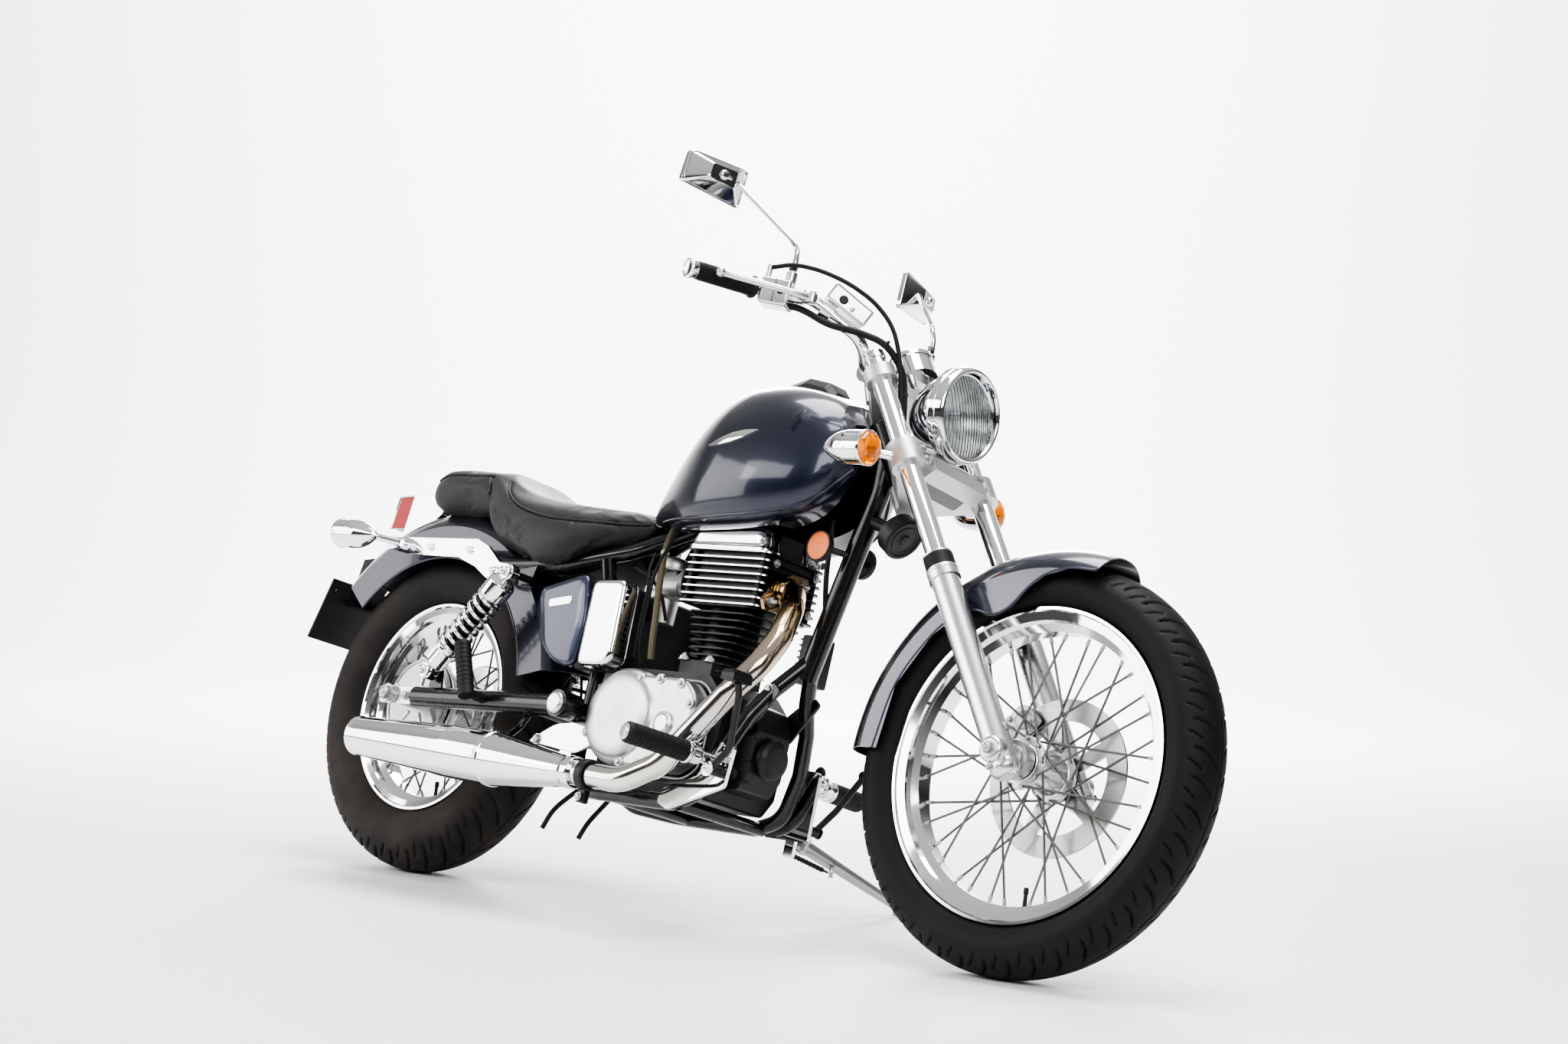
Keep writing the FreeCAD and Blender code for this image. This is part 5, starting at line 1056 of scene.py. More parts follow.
def makeHubs():
    axis = Vector((0, 1, 0))
    frontHub = roundProfile([(12, -48), (30, -48), (31, -46.5), (45, -46.5), (45, -42), (33, -38), (29, -20),
        (27, 0), (29, 20), (33, 38), (45, 42), (45, 46.5), (34, 48), (34, 54.75), (12, 54.75)], 2.5)
    addPiece("frontHubShell", lathe(frontHub, frontAxle, axis, 72), "front_wheel", "satin_aluminium",
        ("front_hub",))
    rearHub = roundProfile([(12, -62), (86, -62), (88, -60), (88, -42), (84, -38), (60, -30), (42, -26),
        (35, -8), (34, 10), (42, 34), (62, 40), (62, 48), (40, 52), (40, 72), (12, 72)], 2.5)
    points, faces = lathe(rearHub, rearAxle, axis, 80)
    addPiece("rearHubShell", (points, faces), "rear_wheel", "satin_aluminium", ("rear_hub",))
    discBolts = []
    for index in range(5):
        angle = math.radians(36 + 72 * index)
        for reach, size in ((33, 1.0), (104, 0.72)):
            spot = frontAxle + Vector((reach * math.cos(angle), 59.3, reach * math.sin(angle)))
            discBolts.append((spot, axis, size))
    addScrews("discBolts", discBolts, "front_wheel", "steel", (5.5, 4.5, 6), 7.0)
    pulleyBolts = [(Vector((48 * math.cos(0.6 + 1.2566 * i), 106.2,
        rearAxle.z + 48 * math.sin(0.6 + 1.2566 * i))), axis) for i in range(5)]
    addScrews("pulleyBolts", [(p - Vector((0, 26.2, 0)), a) for p, a in pulleyBolts], "rear_wheel", "steel")
    for name, axle, rimHalf, reach, body in (("frontValve", frontAxle, 5, 224, "front_wheel"),
            ("rearValve", rearAxle, 5, 172, "rear_wheel")):
        angle = math.radians(-82)
        outward = Vector((math.cos(angle), 0, math.sin(angle)))
        foot = axle + outward * (reach + 4) + Vector((0, rimHalf, 0))
        stem = roundProfile([(0, 0), (5.5, 0), (5.5, 3), (3.6, 6), (3.2, 26), (4.2, 27), (4.2, 36), (0, 37)],
            1.0)
        addPiece(name, lathe(stem, foot, -outward, 14), body, "rubber")


makeHubs()

# Seats: the CAD pads are remeshed, blown up as cloth, then sewn
print("stage: seats")
riderPad = {"node": "rider_seat", "voxel": 0.006, "shrink": 0.004, "pressure": 4.0, "cap": 0.007, "fill": 0.85}
pillionPad = {"node": "pillion_seat", "voxel": 0.006, "shrink": 0.004, "pressure": 4.0, "cap": 0.007,
    "fill": 0.85}
channel = {"depth": 0.0028, "width": 0.0045, "piping": 1.7, "stitch": 5.0}


def plainCopy(node):
    source = frame["nodes"][node]
    work = bmesh.new()
    work.from_mesh(source.data)
    bmesh.ops.remove_doubles(work, verts=work.verts, dist=0.00002)
    mesh = bpy.data.meshes.new(node + "Copy")
    work.to_mesh(mesh)
    work.free()
    return mesh


def evaluatedMesh(piece):
    return bpy.data.meshes.new_from_object(piece.evaluated_get(bpy.context.evaluated_depsgraph_get()))


def swellPad(name, setup):
    piece = bpy.data.objects.new(name + "Work", plainCopy(setup["node"]))
    bpy.context.scene.collection.objects.link(piece)
    remesh = piece.modifiers.new("evenMesh", "REMESH")
    remesh.mode = "VOXEL"
    remesh.voxel_size = setup["voxel"]
    mesh = evaluatedMesh(piece)
    piece.modifiers.clear()
    piece.data = mesh
    work = bmesh.new()
    work.from_mesh(mesh)
    bmesh.ops.smooth_vert(work, verts=work.verts, factor=0.5, use_axis_x=True, use_axis_y=True, use_axis_z=True)
    bmesh.ops.smooth_vert(work, verts=work.verts, factor=0.5, use_axis_x=True, use_axis_y=True, use_axis_z=True)
    work.normal_update()
    for vertex in work.verts:
        vertex.co -= vertex.normal * setup["shrink"]
    work.to_mesh(mesh)
    work.free()
    before = [vertex.co.copy() for vertex in mesh.vertices]
    cloth = piece.modifiers.new("fill", "CLOTH")
    cloth.settings.use_pressure = True
    cloth.settings.uniform_pressure_force = setup["pressure"]
    cloth.settings.effector_weights.gravity = 0
    cloth.settings.quality = 5
    for step in range(1, 21):
        bpy.context.scene.frame_set(step)
    swollen = evaluatedMesh(piece)
    piece.modifiers.clear()
    bpy.context.scene.frame_set(1)
    for vertex, start in zip(swollen.vertices, before):
        move = vertex.co - start
        if move.length > setup["cap"]:
            vertex.co = start + move.normalized() * setup["cap"]
    mesh = swollen
    bpy.data.objects.remove(piece)
    return mesh


def surfaceTree(mesh):
    work = bmesh.new()
    work.from_mesh(mesh)
    bmesh.ops.triangulate(work, faces=work.faces)
    tree = BVHTree.FromBMesh(work)
    work.free()
    return tree


def seamOnSide(tree, line, side, place):
    # drops a (x, z) line in from one side onto the surface
    found = []
    inward = turnOnly(place, (0, -side, 0))
    for x, z in line:
        hit = tree.ray_cast(place(Vector((x, side * 260, z))), inward)
        if hit[0] is not None:
            found.append(hit[0])
    return found


def seamFromAbove(tree, line, place):
    found = []
    down = turnOnly(place, (0, 0, -1))
    for x, y in line:
        hit = tree.ray_cast(place(Vector((x, y, 900))), down)
        if hit[0] is not None:
            found.append(hit[0])
    return found


def sewChannels(mesh, lines, depth, width):
    # presses the covering in along each seam
    tree = KDTree(sum(len(line) for line in lines))
    index = 0
    for line in lines:
        for point in line:
            tree.insert(point, index)
            index += 1
    tree.balance()
    for vertex in mesh.vertices:
        spot, number, gap = tree.find(vertex.co)
        if gap < width * 3:
            vertex.co -= vertex.normal * depth * math.exp(-(gap / width) ** 2)


def evenLine(points, step=0.003):
    # the same line with a point every few millimetres
    result = [points[0]]
    for a, b in zip(points, points[1:]):
        parts = max(1, int((b - a).length / step))
        result += [a.lerp(b, (i + 1) / parts) for i in range(parts)]
    return result


def stay(point):
    return Vector(point)


def makePad(name, setup, seams):
    mesh = swellPad(name, setup)
    tree = surfaceTree(mesh)
    lines = []
    for kind, line, side in seams:
        flat = [(p.x, p.z) for p in smoothLine([(x, 0, z) for x, z in line], 10)]
        if kind == "side":
            lines.append(seamOnSide(tree, flat, side, onChassis))
        else:
            lines.append(seamFromAbove(tree, flat, onChassis))
    lines = [evenLine(line) for line in lines if len(line) > 3]
    work = bmesh.new()
    work.from_mesh(mesh)
    bmesh.ops.subdivide_edges(work, edges=work.edges, cuts=1, use_grid_fill=True, smooth=0.0)
    work.normal_update()
    fine = bpy.data.meshes.new(name)
    work.to_mesh(fine)
    work.free()
    sewChannels(fine, lines, channel["depth"], channel["width"])
    pad = finishPiece(name, fine, "chassis", "seat_vinyl", (setup["node"],), sharpAngle=180.0)
    parts = [sweep([p * 1000 for p in line[::2]], channel["piping"], 8) for line in lines]
    points, faces = mergeParts(parts)
    addPiece(name + "Piping", ([p / 1000 for p in points], faces), "chassis", "seat_vinyl", place=stay)
    return pad


riderSeams = []
pillionSeams = []
for side in (1, -1):
    riderSeams += [("side", [(505, 700), (460, 690), (400, 683), (340, 682), (280, 690), (220, 706),
        (172, 730), (138, 757)], side)]
    pillionSeams += [("side", [(104, 772), (70, 770), (30, 770), (-10, 770), (-50, 767), (-84, 757)], side)]
makePad("riderSeatPad", riderPad, riderSeams)
makePad("pillionSeatPad", pillionPad, pillionSeams)

# Tank: pressed seam, plain trim, cap and console
print("stage: tank")
tankTrim = {"seamRadius": 3.2, "seamPoints": [(560, -80, 690), (600, -118, 682), (650, -140, 678),
    (720, -146, 684), (790, -146, 692), (850, -138, 702), (900, -124, 716), (935, -108, 734), (960, -88, 760),
    (976, -70, 788), (985, -52, 815)], "badgeMiddle": (765, 842), "badgeHalf": 62.0}


def nearestOn(tree, point):
    spot, normal, index, gap = tree.find_nearest(point)
    return spot, normal


def dressTank(setup):
    tree = surfaceTree(plainCopy("fuel_tank"))
    parts = []
    for side in (1, -1):
        line = smoothLine([(x, -y * side, z) for x, y, z in setup["seamPoints"]], 8)
        spots = [nearestOn(tree, onChassis(p))[0] * 1000 for p in line]
        parts.append(sweep(spots, setup["seamRadius"], 10, flat=0.8))
    points, faces = mergeParts(parts)
    addPiece("tankSeam", ([p / 1000 for p in points], faces), "chassis", "paint", place=stay)


def makeBadge(setup):
    # a bare chrome lozenge lying on the tank's side
    tree = surfaceTree(plainCopy("fuel_tank"))
    middleX, middleZ = setup["badgeMiddle"]
    half = setup["badgeHalf"]
    outline = [(-half, 0), (-half * 0.5, 6.5), (0, 9), (half * 0.5, 6.5), (half, 0), (half * 0.5, -6.5),
        (0, -9), (-half * 0.5, -6.5)]
    outline = roundOutline(outline, 3.0, 3)
    for side, label in ((1, "Left"), (-1, "Right")):
        base, lifted = [], []
        for u, v in outline:
            start = onChassis(Vector((middleX + u * 0.966 - v * 0.26, side * 260,
                middleZ + u * 0.26 + v * 0.966)))
            hit = tree.ray_cast(start, turnOnly(onChassis, (0, -side, 0)))
            base.append(hit[0] - hit[1] * 0.0005)
            rise = 0.0022
            lifted.append(hit[0] + hit[1] * rise)
        count = len(base)
        points = base + lifted
        middle = Vector((0, 0, 0))
        for p in lifted:
            middle += p / count
        hit = nearestOn(tree, middle)
        points.append(hit[0] + hit[1] * 0.0055)
        faces = [tuple(reversed(range(count)))]
        faces += [(i, (i + 1) % count, (i + 1) % count + count, i + count) for i in range(count)]
        faces += [(i + count, (i + 1) % count + count, 2 * count) for i in range(count)]
        addPiece("tankTrim" + label, (points, faces), "chassis", "chrome", sharpAngle=28.0, place=stay)


dressTank(tankTrim)
makeBadge(tankTrim)


def makeFillers():
    cap = roundProfile([(0, 25), (20, 25), (24, 23), (26, 18), (32, 16), (34, 13), (34, 2), (30, 0), (0, 0)],
        2.0)
    addPiece("fillerCap", lathe(cap, (668, 0, 934.5), (0, 0, 1), 48), "chassis", "chrome")
    top = [(742, 978), (800, 993), (852, 984), (872, 966)]
    rows = []
    for x, z in top:
        width = 34 if 760 < x < 860 else 27
        rows.append([(x, -width, z - 14), (x, -width * 0.62, z), (x, width * 0.62, z), (x, width, z - 14),
            (x, width, z - 30), (x, -width, z - 30)])
    points = [p for row in rows for p in row]
    faces = ringFaces(len(rows), 6, capStart=True, capEnd=True)
    console = addPiece("consoleCover", (points, faces), "chassis", "black_plastic", ("tank_fittings",),
        sharpAngle=20.0)
    addBevel(console, 2.0, 3, 20.0)


makeFillers()

# Engine: bolts, bosses, hoses and the hidden lower details
print("stage: engine")
rightSide = Vector((0, -1, 0))
caseBolts = {"radius": 5.2, "height": 4.5, "washer": 8.0}


def bossAndBolt(spots, direction, length, radius):
    # short round bosses under a row of bolts
    parts = []
    for spot in spots:
        profile = roundProfile([(0, length), (radius, length), (radius, 0), (0, 0)], 1.2)
        parts.append(lathe(profile, spot, direction, 20))
    return mergeParts(parts)


def separateCopy(name, node, keep, body, material, bevel, replaced=()):
    # the solids of a node that keep picks by their middle, with flat faces joined and edges rounded
    mesh = plainCopy(node)
    work = bmesh.new()
    work.from_mesh(mesh)
    bmesh.ops.dissolve_limit(work, angle_limit=math.radians(3), verts=work.verts, edges=work.edges)
    left = set(work.verts)
    away = []
    while left:
        island, front = set(), [left.pop()]
        while front:
            vert = front.pop()
            island.add(vert)
            for edge in vert.link_edges:
                other = edge.other_vert(vert)
                if other in left:
                    left.discard(other)
                    front.append(other)
        middle = sum((vert.co for vert in island), Vector((0, 0, 0))) / len(island)
        if not keep(middle):
            away += list(island)
    bmesh.ops.delete(work, geom=away, context="VERTS")
    work.to_mesh(mesh)
    work.free()
    piece = finishPiece(name, mesh, body, material, replaced)
    if bevel:
        addBevel(piece, bevel, 3, 30.0)
    return piece


def makeClutchSide():
    face = -88.3 - 44
    domed = roundProfile([(0, 54.8), (60, 54.8), (78, 50.5), (88.4, 38), (88.8, 0.5), (0, 0.5)], 9.0, 6)
    nose = roundOutline([(646, 406), (780, 406), (812, 376), (812, 262), (780, 240), (640, 240)], 24, 6)
    cover = addPiece("clutchCover", mergeParts([lathe(domed, (632, -88.3, 328), rightSide, 96),
        plateParts(nose, (0, -88.8, 0), (1, 0, 0), (0, 0, 1), 43.5)]), "chassis", "cover_silver",
        ("side_casings",))
    addBevel(cover, 7.0, 5, 50.0)
    separateCopy("leftCovers", "side_casings", lambda p: (p - onChassis((0, 0, 0))).dot(sideways) > 0,
        "chassis", "cover_silver", 0)
    spots = [(668, 398), (716, 400), (770, 396), (803, 362), (806, 300), (800, 262), (762, 246), (706, 246),
        (660, 246)]
    addPiece("clutchCoverBosses", bossAndBolt([Vector((x, face + 4, z)) for x, z in spots], rightSide, 7,
        9.5), "chassis", "cover_silver")
    addScrews("clutchCoverBolts", [(Vector((x, face - 3, z)), rightSide) for x, z in spots], "chassis",
        "steel", (caseBolts["radius"], caseBolts["height"], 12), 0.1, (2.6, 0.3))
    plug = roundProfile([(0, 8), (15, 8), (17, 6), (22, 5), (22, 0), (0, 0)], 1.0)
    addPiece("timingPlug", lathe(plug, (748, face + 0.5, 322), rightSide, 32), "chassis", "satin_aluminium")
    outline = [(646, 410), (786, 410), (817, 378), (817, 260), (784, 235), (640, 235), (566, 262), (541, 300),
        (541, 358), (572, 398)]
    path = roundOutline(outline, 30, 5)
    seam = [Vector((x, -90.5, z)) for x, z in path]
    addPiece("caseGasketLine", sweep(seam, 2.4, 8, closed=True), "chassis", "cast_aluminium")


def makeHeadCaps():
    # chrome caps: a thin lip, upright walls that lean in a little, and a round shoulder
    parts = []
    for side in (1, -1):
        levels = [(656.0, 0, 0, 2.0), (660.4, 0, 0, 2.0), (661.4, 0.03, 0, 0.6)]
        levels += [(660 + 28 * share, share * 0.62, 0, 0) for share in (0.1, 0.4, 0.7, 1.0)]
        for step in range(1, 9):
            angle = math.radians(90 * step / 8)
            levels.append((688 + 14 * math.sin(angle), 0.62 + 0.38 * math.sin(angle),
                14 * (1 - math.cos(angle)), 0))
        rings = []
        for z, lean, inset, grow in levels:
            rear, front = 646 + 16 * lean + inset - grow, 842 - 12 * lean - inset + grow
            outer = 78.4 - inset + grow
            ring = roundOutline([(rear, 30), (front, 30), (front, outer), (rear, outer)], 20 - inset * 0.5, 6)
            rings.append([Vector((x, side * y, z)) for x, y in ring])
        points = [p for ring in rings for p in ring]
        parts.append((points, ringFaces(len(rings), len(rings[0]), capStart=True, capEnd=True)))
    addPiece("headCaps", mergeParts(parts), "chassis", "chrome", ("head_cover",), sharpAngle=50.0)


def makeHeadDetails():
    # bolts along the chrome caps, the fins' bolt towers and the barrel's acorn nuts
    nuts = [(Vector((x, side * 64, 450.5)), Vector((0, 0, 1))) for x in (690, 756) for side in (1, -1)]
    addScrews("barrelNuts", nuts, "chassis", "steel", (8.5, 8.0, 6), 11.0, (7.0, 6.0))
    capBolts = [(Vector((x, side * 79.5, 671)), Vector((0, side, 0))) for x in (835,) for side in (1, -1)]
    addScrews("capBolts", capBolts, "chassis", "steel", (5.0, 5.0, 6), 7.0, (3.5, 2.5))
    rods = []
    for x, side in ((662, -1), (834, -1), (662, 1), (834, 1)):
        rods.append(lathe([(0, 0), (6, 0), (6, 92), (0, 92)], Vector((x, side * 67, 560)), (0, 0, 1), 16))
    addPiece("headBoltTowers", mergeParts(rods), "chassis", "engine_black")
    fronts = [(Vector((853, side * 52, z)), Vector((1, 0, 0))) for side in (1, -1) for z in (572, 640)]
    addScrews("headFrontBolts", fronts, "chassis", "steel", (6.0, 5.0, 6), 8.0)


def makeRegulator():
    # the finned voltage regulator on its bracket behind the front down tube
    middle = Vector((912, 34, 486))
    parts = [plateParts(roundOutline([(-17, -44), (17, -44), (17, 44), (-17, 44)], 5),
        middle + Vector((0, 24, 0)), (1, 0, 0), (0, 0, 1), 48)]
    for step in range(8):
        fin = roundOutline([(-25, -42 + step * 11), (-15, -42 + step * 11), (-15, -39 + step * 11),
            (-25, -39 + step * 11)], 1)
        parts.append(plateParts(fin, middle + Vector((0, 22, 0)), (1, 0, 0), (0, 0, 1), 44))
    bracket = roundOutline([(14, -30), (34, -30), (36, 30), (14, 30)], 6)
    parts.append(plateParts(bracket, middle + Vector((0, -18, 0)), (1, 0, 0), (0, 0, 1), 4))
    parts.append(sweep(smoothLine([middle + Vector((0, 0, 42)), middle + Vector((6, -8, 90)), (915, 12, 640),
        (905, 8, 740)], 8), 5.0, 12))
    piece = addPiece("voltageRegulator", mergeParts(parts), "chassis", "engine_black")
    addBevel(piece, 0.8)
    addScrews("regulatorBolts", [(middle + Vector((26, -22.5, u)), rightSide) for u in (-20, 20)], "chassis",
        "steel", (4.5, 4.0, 6), 6.5)


def makeLowerDetails():
    # front engine hanger, oil filter cover, drain plug and clips: the dark forms below the header
    parts = []
    filterCap = roundProfile([(0, 22), (26, 22), (32, 17), (36, 12), (36, 0), (0, 0)], 3.0)
    parts.append(lathe(filterCap, (889, 0, 300), (1, 0, 0), 40))
    for x, z in ((862, 262), (862, 352)):
        parts.append(lathe(roundProfile([(0, 10), (10, 10), (10, 0), (0, 0)], 1.0), (x, -43, z), rightSide, 20))
    for z in (250, 290, 330, 370):
        parts.append(plateParts(roundOutline([(-22, -2.5), (22, -2.5), (22, 2.5), (-22, 2.5)], 2),
            (866, -44, z), (1, 0, 0), (0, 0, 1), -9))
    addPiece("crankcaseRibs", mergeParts(parts), "chassis", "engine_black")
    hangers = []
    for side in (1, -1):
        outline = roundOutline([(836, 366), (912, 430), (934, 414), (878, 338), (842, 330)], 9)
        hangers.append(plateParts([(x, z) for x, z in outline], (0, side * 52 + 3, 0), (1, 0, 0), (0, 0, 1), 6))
    hanger = addPiece("engineHanger", mergeParts(hangers), "chassis", "frame_black")
    addBevel(hanger, 1.2)
    spots = [(Vector((x, side * 55, z)), Vector((0, side, 0))) for side in (1, -1) for x,
        z in ((905, 414), (858, 350))]
    addScrews("hangerBolts", spots, "chassis", "steel", (8.0, 6.0, 6), 11.0, (5.0, 1.0))
    drain = [(Vector((700, -20, 208)), Vector((0, 0, -1)))]
    addScrews("drainPlug", drain, "chassis", "steel", (9.0, 8.0, 6), 12.0)


def makeHoses():
    # tan breather hose, black drain hoses and the carburettor's clips
    breather = [(606, -50, 718), (588, -60, 700), (590, -76, 652), (602, -85, 606), (614, -91, 560),
        (625, -95, 519), (633, -97, 478), (637, -94, 440)]
    addPiece("breatherHose", sweep(smoothLine(breather, 8), 6.2, 14), "chassis", "tan_hose")
    rings = [lathe(roundProfile([(6.2, -4), (8, -4), (8, 4), (6.2, 4)], 1.0), (592, -78, 640),
        (0.2, -0.15, -0.9), 20)]
    addPiece("breatherClip", mergeParts(rings), "chassis", "steel")
    drains = [[(520, -40, 230), (500, -70, 190), (478, -92, 150), (466, -100, 112)], [(560, -20, 215),
        (540, -30, 180), (522, -44, 140), (514, -52, 108)]]
    parts = [sweep(smoothLine(line, 8), 4.5, 10) for line in drains]
    addPiece("drainHoses", mergeParts(parts), "chassis", "rubber")
    intakeParts = []
    for x, y, z in ((568, -24, 593), (612, -18, 596)):
        profile = roundProfile([(26, -5), (32.5, -5), (32.5, 5), (26, 5)], 1.0)
        intakeParts.append(lathe(profile, (x, y, z), (1, 0.12, 0.06), 30, True))
    addPiece("intakeClamps", mergeParts(intakeParts), "chassis", "steel")
    carb = [lathe(roundProfile([(0, 26), (18, 26), (30, 20), (33, 12), (33, 0), (0, 0)], 3.0),
        (570, -24, 618), (0, 0, 1), 32), lathe(roundProfile([(0, 12), (14, 12), (17, 9), (17, 0), (0, 0)],
        2.0), (568, -50, 560), rightSide, 24),
        plateParts(roundOutline([(-18, -26), (18, -26), (18, 26), (-18, 26)], 6), (552, -52, 560), (1, 0, 0),
        (0, 0, 1), -6)]
    addPiece("carburettorDome", mergeParts(carb), "chassis", "cast_aluminium")


def bulgedPanel(outline, y, outward):
    # a pressed panel: straight edge, then a crown that rises towards the middle
    ring = roundOutline(outline, 22, 6)
    middle = [sum(p[i] for p in ring) / len(ring) for i in (0, 1)]
    rings = []
    for share, lift in ((0.985, 0.0), (1.0, 2.0), (1.0, 6.5), (0.985, 9.2), (0.95, 11.4), (0.86, 13.4),
            (0.6, 15.2),
                        (0.25, 16.0)):
        rings.append([Vector((middle[0] + (u - middle[0]) * share, outward * (y + lift),
            middle[1] + (v - middle[1]) * share)) for u, v in ring])
    points = [p for loop in rings for p in loop]
    return points, ringFaces(len(rings), len(ring), capStart=True, capEnd=True)


def makeSidePanels():
    # painted side covers with a bare badge plate, the chrome tool box cover and the case behind it
    right = [(337, 547), (463, 584), (485, 500), (478, 404), (424, 410), (378, 444)]
    left = [(337, 547), (463, 584), (588, 572), (618, 424), (478, 404), (424, 410), (378, 444)]
    addPiece("sideCoverPanels", mergeParts([bulgedPanel(right, 121.8, -1), bulgedPanel(left, 121.8, 1)]),
        "chassis", "side_paint", ("side_covers",), sharpAngle=60.0)
    plates = []
    for side in (1, -1):
        pill = roundOutline([(-30, -8), (30, -8), (30, 8), (-30, 8)], 7.5, 5)
        plates.append(plateParts(pill, (412, side * 136.6, 524), (0.985, 0, 0.17), (-0.17, 0, 0.985),
            side * -2.4))
    badge = addPiece("sideBadgePlates", mergeParts(plates), "chassis", "chrome")
    addBevel(badge, 1.0, 3)
    box = roundOutline([(498, 568), (582, 572), (590, 426), (566, 410), (501, 408)], 17, 6)
    cover = addPiece("toolBoxCover", plateParts(box, (0, -104, 0), (1, 0, 0), (0, 0, 1), 44), "chassis",
        "chrome", ("air_box",))
    addBevel(cover, 9.0, 6, 50.0)
    case = roundOutline([(415, 412), (545, 412), (545, 572), (415, 572)], 16, 5)
    parts = [plateParts(case, (0, 75, 0), (1, 0, 0), (0, 0, 1), 150), plateParts(roundOutline([(496, 420),
        (574, 420), (574, 566), (496, 566)], 8), (0, -74, 0), (1, 0, 0), (0, 0, 1), 31)]
    for z in range(430, 560, 16):
        rib = roundOutline([(419, z), (541, z), (541, z + 5), (419, z + 5)], 2)
        parts += [plateParts(rib, (0, side * 74, 0), (1, 0, 0), (0, 0, 1), side * -3.5) for side in (1, -1)]
    box = addPiece("airCase", mergeParts(parts), "chassis", "black_plastic")
    addBevel(box, 1.6, 2)


def makeLoom():
    # thin hoses and wires that run down between the tool box and the carburettor
    runs = [((600, -62, 690), (596, -92, 610), (600, -98, 540), (604, -99, 470), (610, -90, 432)),
        ((560, -70, 640), (578, -92, 606), (594, -100, 566), (597, -102, 500), (598, -99, 440)),
        ((520, -74, 610), (560, -88, 598), (590, -94, 588), (612, -80, 560), (616, -60, 520)),
        ((540, 60, 640), (600, 40, 610), (640, 20, 560), (652, 10, 470))]
    parts = [sweep(smoothLine([Vector(p) for p in run], 6), 3.2, 10) for run in runs]
    addPiece("wiringRuns", mergeParts(parts), "chassis", "rubber")


makeClutchSide()
makeHeadCaps()
makeSidePanels()
makeLoom()
makeRegulator()
makeHeadDetails()
makeLowerDetails()
makeHoses()

# Exhaust: seam ring, clamp, flange studs and the muffler's guard
print("stage: exhaust")
exhaustSetup = {"side": -192.0, "front": 625.0, "clampX": 655.0, "studs": 42.0}


def makeExhaust(setup):
    front = Vector((setup["front"], setup["side"], 208))
    back = Vector((2, setup["side"], 222))
    axis = (back - front).normalized()
    ring = roundProfile([(48.6, 218), (51.0, 220), (51.4, 226), (49.4, 229), (48.8, 232)], 1.2)
    mouth = roundProfile([(26.4, -1), (28.5, 0), (29.5, 14), (28, 20), (27.2, 24)], 1.5)
    tail = roundProfile([(33.5, 560), (36.2, 606), (38.4, 618), (38.6, 622.5), (36.6, 624), (33.6, 623),
        (32.6, 590)], 1.5)
    parts = [lathe(profile, front, axis, 64) for profile in (ring, mouth, tail)]
    addPiece("mufflerRings", mergeParts(parts), "chassis", "chrome")
    # dark band clamp with its bolt, where the header enters
    clamp = roundProfile([(23.5, -9), (27.6, -9), (28.4, -7), (28.4, 7), (27.6, 9), (23.5, 9)], 0.8)
    place = Vector((setup["clampX"], setup["side"], 207.4))
    band = [lathe(clamp, place, -axis, 40, True)]
    for offset in (-5, 5):
        band.append(plateParts(roundOutline([(-8, -16), (8, -16), (8, 10), (-8, 10)], 3),
            place + Vector((0, offset - 2, -34)), (1, 0, 0), (0, 0, 1), -4))
    addPiece("mufflerClamp", mergeParts(band), "chassis", "engine_black")
    addScrews("mufflerClampBolt", [(place + Vector((0, -11, -40)), rightSide)], "chassis", "steel",
        (6.0, 5.0, 6), 7.5)
    # studs on the oval flange at the head
    centre = Vector((864.6, -23, 592))
    along = Vector((0, 0.842, 0.539))
    spots = [(centre + along * reach, Vector((1, 0, 0))) for reach in (setup["studs"], -setup["studs"])]
    addScrews("flangeNuts", spots, "chassis", "steel", (8.0, 8.0, 6), 9.5, (5.0, 9.0))
    collar = roundProfile([(22.4, 0), (29, 0), (29, 5), (26, 9), (22.6, 12)], 1.0)
    addPiece("headerCollar", lathe(collar, centre, (1, 0, 0), 48), "chassis", "heated")
    # bracket that holds the muffler and the chrome plate above it
    plate = roundOutline([(404, 262), (540, 250), (602, 286), (560, 312), (470, 300)], 14)
    guard = addPiece("mufflerPlate", plateParts(plate, (0, -126, 0), (1, 0, 0), (0, 0, 1), 4), "chassis",
        "chrome")
    addBevel(guard, 1.2)
    spots = [(Vector((x, -130, z)), rightSide) for x, z in ((430, 268), (556, 292))]
    addScrews("mufflerPlateBolts", spots, "chassis", "steel", (8.0, 6.0, 6), 10.0, (5.0, 1.0))
    hanger = [(372, -150, 262), (372, -128, 284), (380, -120, 310)]
    addPiece("mufflerHanger", sweep(smoothLine(hanger, 6), 6.0, 12), "chassis", "frame_black")


makeExhaust(exhaustSetup)

# Rear end: shock absorbers, belt, rails, lamps and plate
print("stage: rear")
shockSetup = {"top": (272, 152, 567), "low": (110, 152, 366), "coilRadius": 24.0, "wire": 4.0, "turns": 7.5,
    "coilStart": 62.0, "coilEnd": 192.0}


